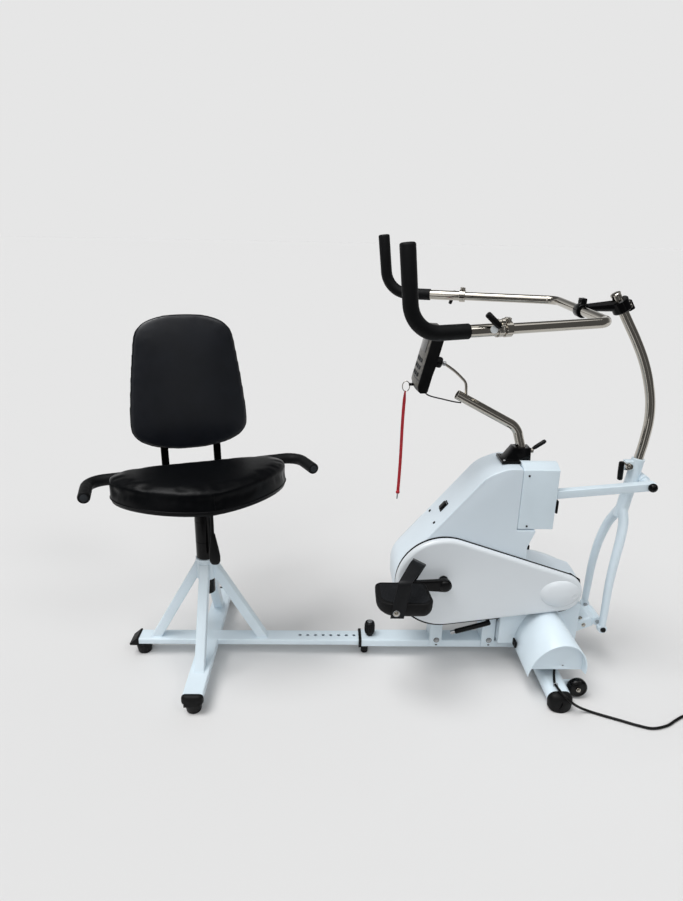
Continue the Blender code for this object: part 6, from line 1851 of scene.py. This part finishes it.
def key_and_tape(bike):
    key = box((0.1095, -0.0045, 0.905), (0.13, 0.0045, 0.912), 0.0012)
    dress("key_body", key, "black_abs", "safety_lanyard")
    ring_route = []
    for index in range(40):
        angle = tau * index / 40
        ring_route.append((0.1016 + 0.0105 * cos(angle), 0.0, 0.9025 + 0.015 * sin(angle)))
    extra("key_ring", tube(ring_route, 0.0013, 6, closed=True), "chrome", "safety_lanyard")
    top, bottom = Vector((0.0998, 0, 0.889)), Vector((0.0929, 0, 0.57))
    run = bottom - top
    side = Vector((run.z, 0, -run.x)).normalized()
    rings = []
    for step in range(61):
        share = step / 60
        wide = 0.0045 * min(1.0, 0.45 + share * 7.0)
        thick = 0.0011 if share > 0.06 else 0.0018
        swing = 0.0012 * sin(share * 9.0)
        here = top + run * share + Vector((0, swing, 0)) + side * 0.001 * sin(share * 6.0)
        rings.append([tuple(here + side * a + Vector((0, b, 0))) for a, b in
                      ((-wide, -thick), (wide, -thick), (wide, thick), (-wide, thick))])
    extra("woven_tape", loft(rings), "tape", "safety_lanyard")
    knot = ball((0.0932, 0, 0.574), (0.0062, 0.004, 0.006))
    extra("tape_knot", knot, "tape", "safety_lanyard")
    clip = bar((0.0925, 0, 0.57), (0.0915, 0, 0.552), 0.008, 0.004, 0.0014)
    extra("tape_clip", clip, "zinc", "safety_lanyard")


# Mains cord

CORD_KNOTS = [
    (0.5765, -0.18, 0.0946), (0.5763, -0.1806, 0.088), (0.574, -0.187, 0.0745),
    (0.569, -0.203, 0.0635), (0.5625, -0.23, 0.06), (0.5625, -0.25, 0.0618),
    (0.5655, -0.273, 0.0632), (0.5755, -0.29, 0.059), (0.596, -0.296, 0.042),
    (0.6243, -0.287, 0.019), (0.653, -0.286, 0.006), (0.6796, -0.2972, 0.0042),
    (0.7345, -0.3225, 0.0042), (0.772, -0.34, 0.0042), (0.809, -0.351, 0.0042),
    (0.8547, -0.3404, 0.0042), (0.89, -0.32, 0.0042), (0.9206, -0.3034, 0.0042),
    (0.96, -0.2905, 0.0042), (1.0, -0.287, 0.0042), (1.0377, -0.287, 0.0042),
]


def coil_route():
    """Six turns in two layers: inwards on the floor, then outwards on top, and a straight end."""
    floor_z = CORD_RADIUS + 0.0004
    step = tau / COIL_POINTS
    turns_down = 3
    half_turn = COIL_POINTS // 2
    inner = COIL_OUTER - turns_down * COIL_PITCH
    points = [(COIL_X - 0.012, COIL_Y - COIL_OUTER, floor_z)]
    for index in range(6 * COIL_POINTS + 1):
        angle = -pi / 2 + index * step
        past = index - turns_down * COIL_POINTS
        if past <= 0:
            radius = COIL_OUTER - COIL_PITCH * index / COIL_POINTS
            height = floor_z
        elif past < half_turn:
            radius = inner - COIL_PITCH * min(past, half_turn - past) / COIL_POINTS
            height = floor_z + COIL_STEP * past / half_turn
        else:
            radius = inner + COIL_PITCH * (past - half_turn) / COIL_POINTS
            height = floor_z + COIL_STEP
        points.append((COIL_X + radius * cos(angle), COIL_Y + radius * sin(angle), height))
    last = points[-1]
    for reach, rise in ((0.015, 0.0), (0.03, 0.0018), (0.045, 0.0037), (0.054, 0.0037)):
        points.append((last[0] + reach, last[1], last[2] + rise))
    return points


def mains_cord(bike):
    run = smooth_route(CORD_KNOTS, 0.006)
    turns = smooth_route(coil_route(), 0.006)
    centre = run + turns[1:]
    curve = path_curve(centre)
    curve.bevel_depth = CORD_RADIUS
    curve.bevel_resolution = 8
    curve.use_fill_caps = True
    curve.materials.append(FINISHES["cord"])
    cord = new_object("power_cord", curve)
    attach(cord, "base")
    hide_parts("mains_cord", "cord_coil")
    end = turns[-1]
    mouth = end[0] + GAP
    axis = (end[1], end[2])
    ribs = [(0, 0.005), (0.001, 0.0056)]
    for index in range(6):
        reach = 0.003 + index * 0.0042
        radius = 0.0058 + index * 0.0005
        ribs += [(reach, radius), (reach + 0.0022, radius), (reach + 0.0024, radius - 0.0012),
                 (reach + 0.004, radius - 0.0012)]
    ribs += [(0.029, 0.0088), (0.03, 0.0088)]
    relief = turned((mouth, *axis), (mouth + 1, *axis), ribs, 40)
    deep = end[2] - 0.0001
    body = rod((mouth + 0.026, *axis), (mouth + 0.066, *axis), deep, sides=56, bevel=0.0025, segments=4)
    plug = dress("power_plug", carve([body, relief]), "black_abs", "mains_plug")
    pins = []
    for side in (-1, 1):
        pins.append(turned((mouth + 0.065, axis[0] + side * 0.0095, axis[1]),
                           (mouth + 1, axis[0] + side * 0.0095, axis[1]),
                           [(0, 0.0024), (0.0185, 0.0024), (0.0198, 0.0016), (0.02, 0.0005)], 32))
    prongs = extra("power_plug_pins", gather(pins), "zinc", "mains_plug")
    gland = turned((0.5765, -0.18, 0.0952), (0.5765, -0.18, 1), [
        (0, 0.006), (0.001, 0.0064), (0.0045, 0.0066), (0.005, 0.0058), (0.0072, 0.0058), (0.0077, 0.007),
        (0.0115, 0.0072), (0.012, 0.0063), (0.0142, 0.0063), (0.0147, 0.0076), (0.0338, 0.0085)], 48)
    flange = box((0.566, -0.1997, 0.115), (0.587, -0.172, 0.13), 0.001)
    dress("cord_strain_relief", carve([gland, flange]), "rubber", "cord_gland")
    saddle = tube([(0.5625 - 0.0062, -0.238, 0.054), (0.5625 - 0.0062, -0.238, 0.06), (0.5625 - 0.004, -0.238, 0.0652),
                   (0.5625, -0.238, 0.0668), (0.5625 + 0.004, -0.238, 0.0652), (0.5625 + 0.0062, -0.238, 0.06),
                   (0.5625 + 0.0062, -0.238, 0.054)], 0.0012, 4)
    extra("cord_clip", saddle, "zinc", "stabilizer_beam")
    return cord


# Studio

def place_camera():
    yaw, pitch, roll = CAMERA_YAW, CAMERA_PITCH, CAMERA_ROLL
    ahead = Vector((sin(yaw) * cos(pitch), cos(yaw) * cos(pitch), -sin(pitch)))
    right = Vector((cos(yaw), -sin(yaw), 0))
    down = ahead.cross(right)
    rolled = right * cos(roll) + down * sin(roll)
    lower = down * cos(roll) - right * sin(roll)
    turn = Matrix((rolled, -lower, -ahead)).transposed().to_4x4()
    data = bpy.data.cameras.new("view")
    data.sensor_width = 36.0
    data.lens = FOCAL_PIXELS / LONG_SIDE * 36.0
    camera = new_object("view", data)
    camera.matrix_world = Matrix.Translation(CAMERA_EYE) @ turn
    bpy.context.scene.camera = camera
    return camera


ROOM_COLOUR = (0.95, 0.985, 1.0, 1.0)


def make_world(bike):
    """Soft surrounding light. The camera sees the pale backdrop; metal and glass see it behind the object and a
    darker room elsewhere."""
    world = bpy.data.worlds.new("studio")
    world.use_nodes = True
    tree = world.node_tree
    tree.nodes.clear()
    path = add_node(tree, "ShaderNodeLightPath")
    way = add_node(tree, "ShaderNodeSeparateXYZ", {0: add_node(tree,
                                                               "ShaderNodeTexCoord").outputs["Generated"]}).outputs
    behind = add_node(tree, "ShaderNodeMapRange", {"Value": way["Y"], "From Min": 0.1, "From Max": 0.65},
                      interpolation_type="SMOOTHSTEP")
    level = add_node(tree, "ShaderNodeMapRange", {"Value": way["Z"], "From Min": 0.5, "From Max": 0.12},
                     interpolation_type="SMOOTHSTEP")
    share = compute(tree, "MULTIPLY", behind.outputs["Result"], level.outputs["Result"])
    strength = add_node(tree, "ShaderNodeMapRange", {"Value": share, "To Min": bike.dark_room,
                                                     "To Max": bike.backdrop}).outputs["Result"]
    # soft boxes that the metal mirrors: (middle X, half width, middle Z, half height, brightness)
    for mid_x, half_x, mid_z, half_z, brightness in ((-0.52, 0.1, 0.2, 0.5, 0.8), (0.4, 0.04, 0.2, 0.5, 0.55),
                                                     (0.0, 0.8, 0.9, 0.14, 0.9)):
        inside = compute(tree, "COMPARE", way["X"], mid_x, half_x)
        height = compute(tree, "COMPARE", way["Z"], mid_z, half_z)
        front = compute(tree, "LESS_THAN", way["Y"], 0.3)
        lit = compute(tree, "MULTIPLY", compute(tree, "MULTIPLY", inside, height), front)
        strength = compute(tree, "MULTIPLY_ADD", lit, brightness, strength)
    mirrored = compute(tree, "MAXIMUM", path.outputs["Is Glossy Ray"], path.outputs["Is Transmission Ray"])
    light = add_node(tree, "ShaderNodeBackground", {"Color": ROOM_COLOUR, "Strength": bike.room_light})
    room = add_node(tree, "ShaderNodeBackground", {"Color": (1.0, 1.0, 1.0, 1.0), "Strength": strength})
    backdrop = add_node(tree, "ShaderNodeBackground", {"Color": (*[bike.backdrop] * 3, 1.0), "Strength": 1.0})
    mix = add_node(tree, "ShaderNodeMixShader", {0: mirrored, 1: light.outputs["Background"],
                                                 2: room.outputs["Background"]})
    mix = add_node(tree, "ShaderNodeMixShader", {0: path.outputs["Is Camera Ray"], 1: mix.outputs["Shader"],
                                                 2: backdrop.outputs["Background"]})
    out = add_node(tree, "ShaderNodeOutputWorld")
    tree.links.new(mix.outputs["Shader"], out.inputs["Surface"])
    bpy.context.scene.world = world


def add_sun(name, direction, strength, angle):
    data = bpy.data.lights.new(name, "SUN")
    data.energy = strength
    data.angle = radians(angle)
    lamp = new_object(name, data)
    lamp.rotation_euler = Vector(direction).to_track_quat("-Z", "Y").to_euler()
    return lamp


def make_floor(bike, level):
    """Pale floor whose colour makes it, unshadowed, exactly as bright as the backdrop; it ends before the camera."""
    bm = bmesh.new()
    bmesh.ops.create_grid(bm, x_segments=1, y_segments=1, size=60.0)
    bmesh.ops.translate(bm, vec=(0, 60.0 - 0.92, 0), verts=bm.verts)
    floor = new_object("studio_floor", to_mesh(bm))
    floor.location = (0, 0, -0.0005)
    material = bpy.data.materials.new("studio_floor_paint")
    material.use_nodes = True
    tree = material.node_tree
    tree.nodes.clear()
    colour = [bike.backdrop / (level + bike.room_light * share) for share in ROOM_COLOUR[:3]]
    paint = add_node(tree, "ShaderNodeBsdfDiffuse", {"Color": (*colour, 1.0)})
    out = add_node(tree, "ShaderNodeOutputMaterial")
    tree.links.new(paint.outputs["BSDF"], out.inputs["Surface"])
    floor.data.materials.append(material)
    return floor


def studio(bike):
    place_camera()
    make_world(bike)
    lamps = ((Vector((0.36, 0.16, -0.92)), bike.key_light, 34.0), (Vector((0.1, 0.72, -0.68)), bike.front_light, 40.0),
             (Vector((-0.55, 0.42, -0.72)), bike.fill_light, 14.0))
    level = 0.0
    for index, (way, strength, angle) in enumerate(lamps):
        add_sun(f"lamp_{index + 1}", way, strength, angle)
        level += strength * -way.normalized().z / pi
    make_floor(bike, level)
    bpy.context.scene.view_settings.view_transform = "Standard"


# Sizes and colours that a user may change

def colour_setting(name, where, code):
    return bpy.props.FloatVectorProperty(name=name, description="Colour of " + where, subtype="COLOR",
                                         default=linear(code))


def number_setting(name, description, default, low, high, **options):
    return bpy.props.FloatProperty(name=name, description=description, default=default, min=low, max=high, **options)


class BikeSettings(bpy.types.PropertyGroup):
    paint: colour_setting("Powder coat", "the painted frame", "#DDEAF2")
    casing: colour_setting("Casing", "the moulded casing", "#DDE8F0")
    covers: colour_setting("Side covers", "the round side covers", "#DEE3E7")
    vinyl: colour_setting("Upholstery", "the cushion covers", "#050608")
    # Lighter copy of the upholstery colour for the backrest alone: painted light for its sheen.
    back_vinyl_painted_light: colour_setting("Backrest vinyl", "the backrest cover", "#12151C")
    tape: colour_setting("Key tape", "the woven tape", "#B11A28")
    weld_bead: number_setting("Weld bead", "Width of the weld beads", 0.0036, 0.001, 0.008, unit="LENGTH")
    tread_pitch: number_setting("Tread pitch", "Distance between the ridges of a footplate", 0.0042, 0.002, 0.02,
                                unit="LENGTH")
    room_light: number_setting("Room light", "Strength of the surrounding light", 0.33, 0.0, 3.0)
    key_light: number_setting("Key light", "Strength of the main lamp", 1.95, 0.0, 10.0)
    front_light: number_setting("Front light", "Strength of the broad lamp above the camera", 0.62, 0.0, 10.0)
    fill_light: number_setting("Fill light", "Strength of the third lamp", 0.25, 0.0, 10.0)
    dark_room: number_setting("Dark room", "Brightness of the room that metal mirrors", 0.12, 0.0, 1.0)
    backdrop: number_setting("Backdrop", "Brightness of the backdrop, linear", 0.7913, 0.0, 1.0)


class BuildStep:
    """Shared run of the operators: each calls its steps with the scene's settings."""
    bl_options = {"REGISTER", "UNDO"}
    steps = ()

    def execute(self, context):
        for step in self.steps:
            step(context.scene.therapy_bike)
        return {"FINISHED"}


def prepare(bike):
    make_finishes(bike)
    TREES["heads"] = heads_tree()
    TREES["beads"] = beads_tree()


class BIKE_OT_finishes(BuildStep, bpy.types.Operator):
    """Makes the finishes and the node trees that the pieces share"""
    bl_idname = "therapy_bike.finishes"
    bl_label = "Finishes"
    steps = (prepare,)


class BIKE_OT_studio(BuildStep, bpy.types.Operator):
    """Sets up the camera, floor, backdrop and lamps"""
    bl_idname = "therapy_bike.studio"
    bl_label = "Studio"
    steps = (studio,)


class BIKE_OT_cord(BuildStep, bpy.types.Operator):
    """Lays the mains cord with its coil, plug, strain relief and clip"""
    bl_idname = "therapy_bike.cord"
    bl_label = "Mains cord"
    steps = (mains_cord,)


class BIKE_OT_seat_base(BuildStep, bpy.types.Operator):
    """Builds the floor rail, its knob and the seat base with its feet"""
    bl_idname = "therapy_bike.seat_base"
    bl_label = "Rail and seat base"
    steps = (floor_rail, pull_knob, seat_base, seat_feet, lift_column)


class BIKE_OT_cushions(BuildStep, bpy.types.Operator):
    """Builds the seat cushion and the backrest with their piping"""
    bl_idname = "therapy_bike.cushions"
    bl_label = "Cushions"
    steps = (cushion, back_cushion)


class BIKE_OT_seat_frame(BuildStep, bpy.types.Operator):
    """Builds the bars under the seat, the foam handles and the height paddle"""
    bl_idname = "therapy_bike.seat_frame"
    bl_label = "Seat bars and handles"
    steps = (seat_bars, seat_handles, seat_paddle)


class BIKE_OT_casing(BuildStep, bpy.types.Operator):
    """Builds the tower, its side covers, the switch and the terminal box"""
    bl_idname = "therapy_bike.casing"
    bl_label = "Casing"
    steps = (tower, tower_clip, side_covers, terminal_box)


class BIKE_OT_lower_drive(BuildStep, bpy.types.Operator):
    """Builds the rail brackets, hood, housing, stabilizer and wheels"""
    bl_idname = "therapy_bike.lower_drive"
    bl_label = "Lower drive"
    steps = (rail_brackets, hood, stabilizer, rail_lever)


class BIKE_OT_pedals(BuildStep, bpy.types.Operator):
    """Builds the cranks, footplates and straps"""
    bl_idname = "therapy_bike.pedals"
    bl_label = "Cranks and pedals"
    steps = (cranks, pedals)


class BIKE_OT_arm_column(BuildStep, bpy.types.Operator):
    """Builds the support bar, column, yoke and mast"""
    bl_idname = "therapy_bike.arm_column"
    bl_label = "Arm column"
    steps = (support, fork, yoke, mast_tube)


class BIKE_OT_handlebar(BuildStep, bpy.types.Operator):
    """Builds the stem, the U bar and the two grips with their clamps"""
    bl_idname = "therapy_bike.handlebar"
    bl_label = "Handlebar"
    steps = (stem, bent_bar, grips)


class BIKE_OT_console(BuildStep, bpy.types.Operator):
    """Builds the display on its swan neck and the safety key"""
    bl_idname = "therapy_bike.console"
    bl_label = "Console"
    steps = (console_clamp, swan_neck, display, display_lead, key_and_tape)


OPERATORS = (BIKE_OT_finishes, BIKE_OT_studio, BIKE_OT_cord, BIKE_OT_seat_base, BIKE_OT_cushions,
             BIKE_OT_seat_frame, BIKE_OT_casing, BIKE_OT_lower_drive, BIKE_OT_pedals, BIKE_OT_arm_column,
             BIKE_OT_handlebar, BIKE_OT_console)


class BIKE_PT_panel(bpy.types.Panel):
    """Settings and steps of the bike in the 3D view's sidebar"""
    bl_label = "Therapy bike"
    bl_idname = "BIKE_PT_panel"
    bl_space_type = "VIEW_3D"
    bl_region_type = "UI"
    bl_category = "Therapy bike"

    def draw(self, context):
        settings = context.scene.therapy_bike
        for name in BikeSettings.__annotations__:
            self.layout.prop(settings, name)
        for operator in OPERATORS:
            self.layout.operator(operator.bl_idname)


def register():
    for item in (BikeSettings,) + OPERATORS + (BIKE_PT_panel,):
        bpy.utils.register_class(item)
    bpy.types.Scene.therapy_bike = bpy.props.PointerProperty(type=BikeSettings)


def unregister():
    del bpy.types.Scene.therapy_bike
    for item in (BIKE_PT_panel,) + OPERATORS[::-1] + (BikeSettings,):
        bpy.utils.unregister_class(item)


def main():
    register()
    for operator in OPERATORS:
        group, name = operator.bl_idname.split(".")
        getattr(getattr(bpy.ops, group), name)()


if __name__ == "__main__":
    main()
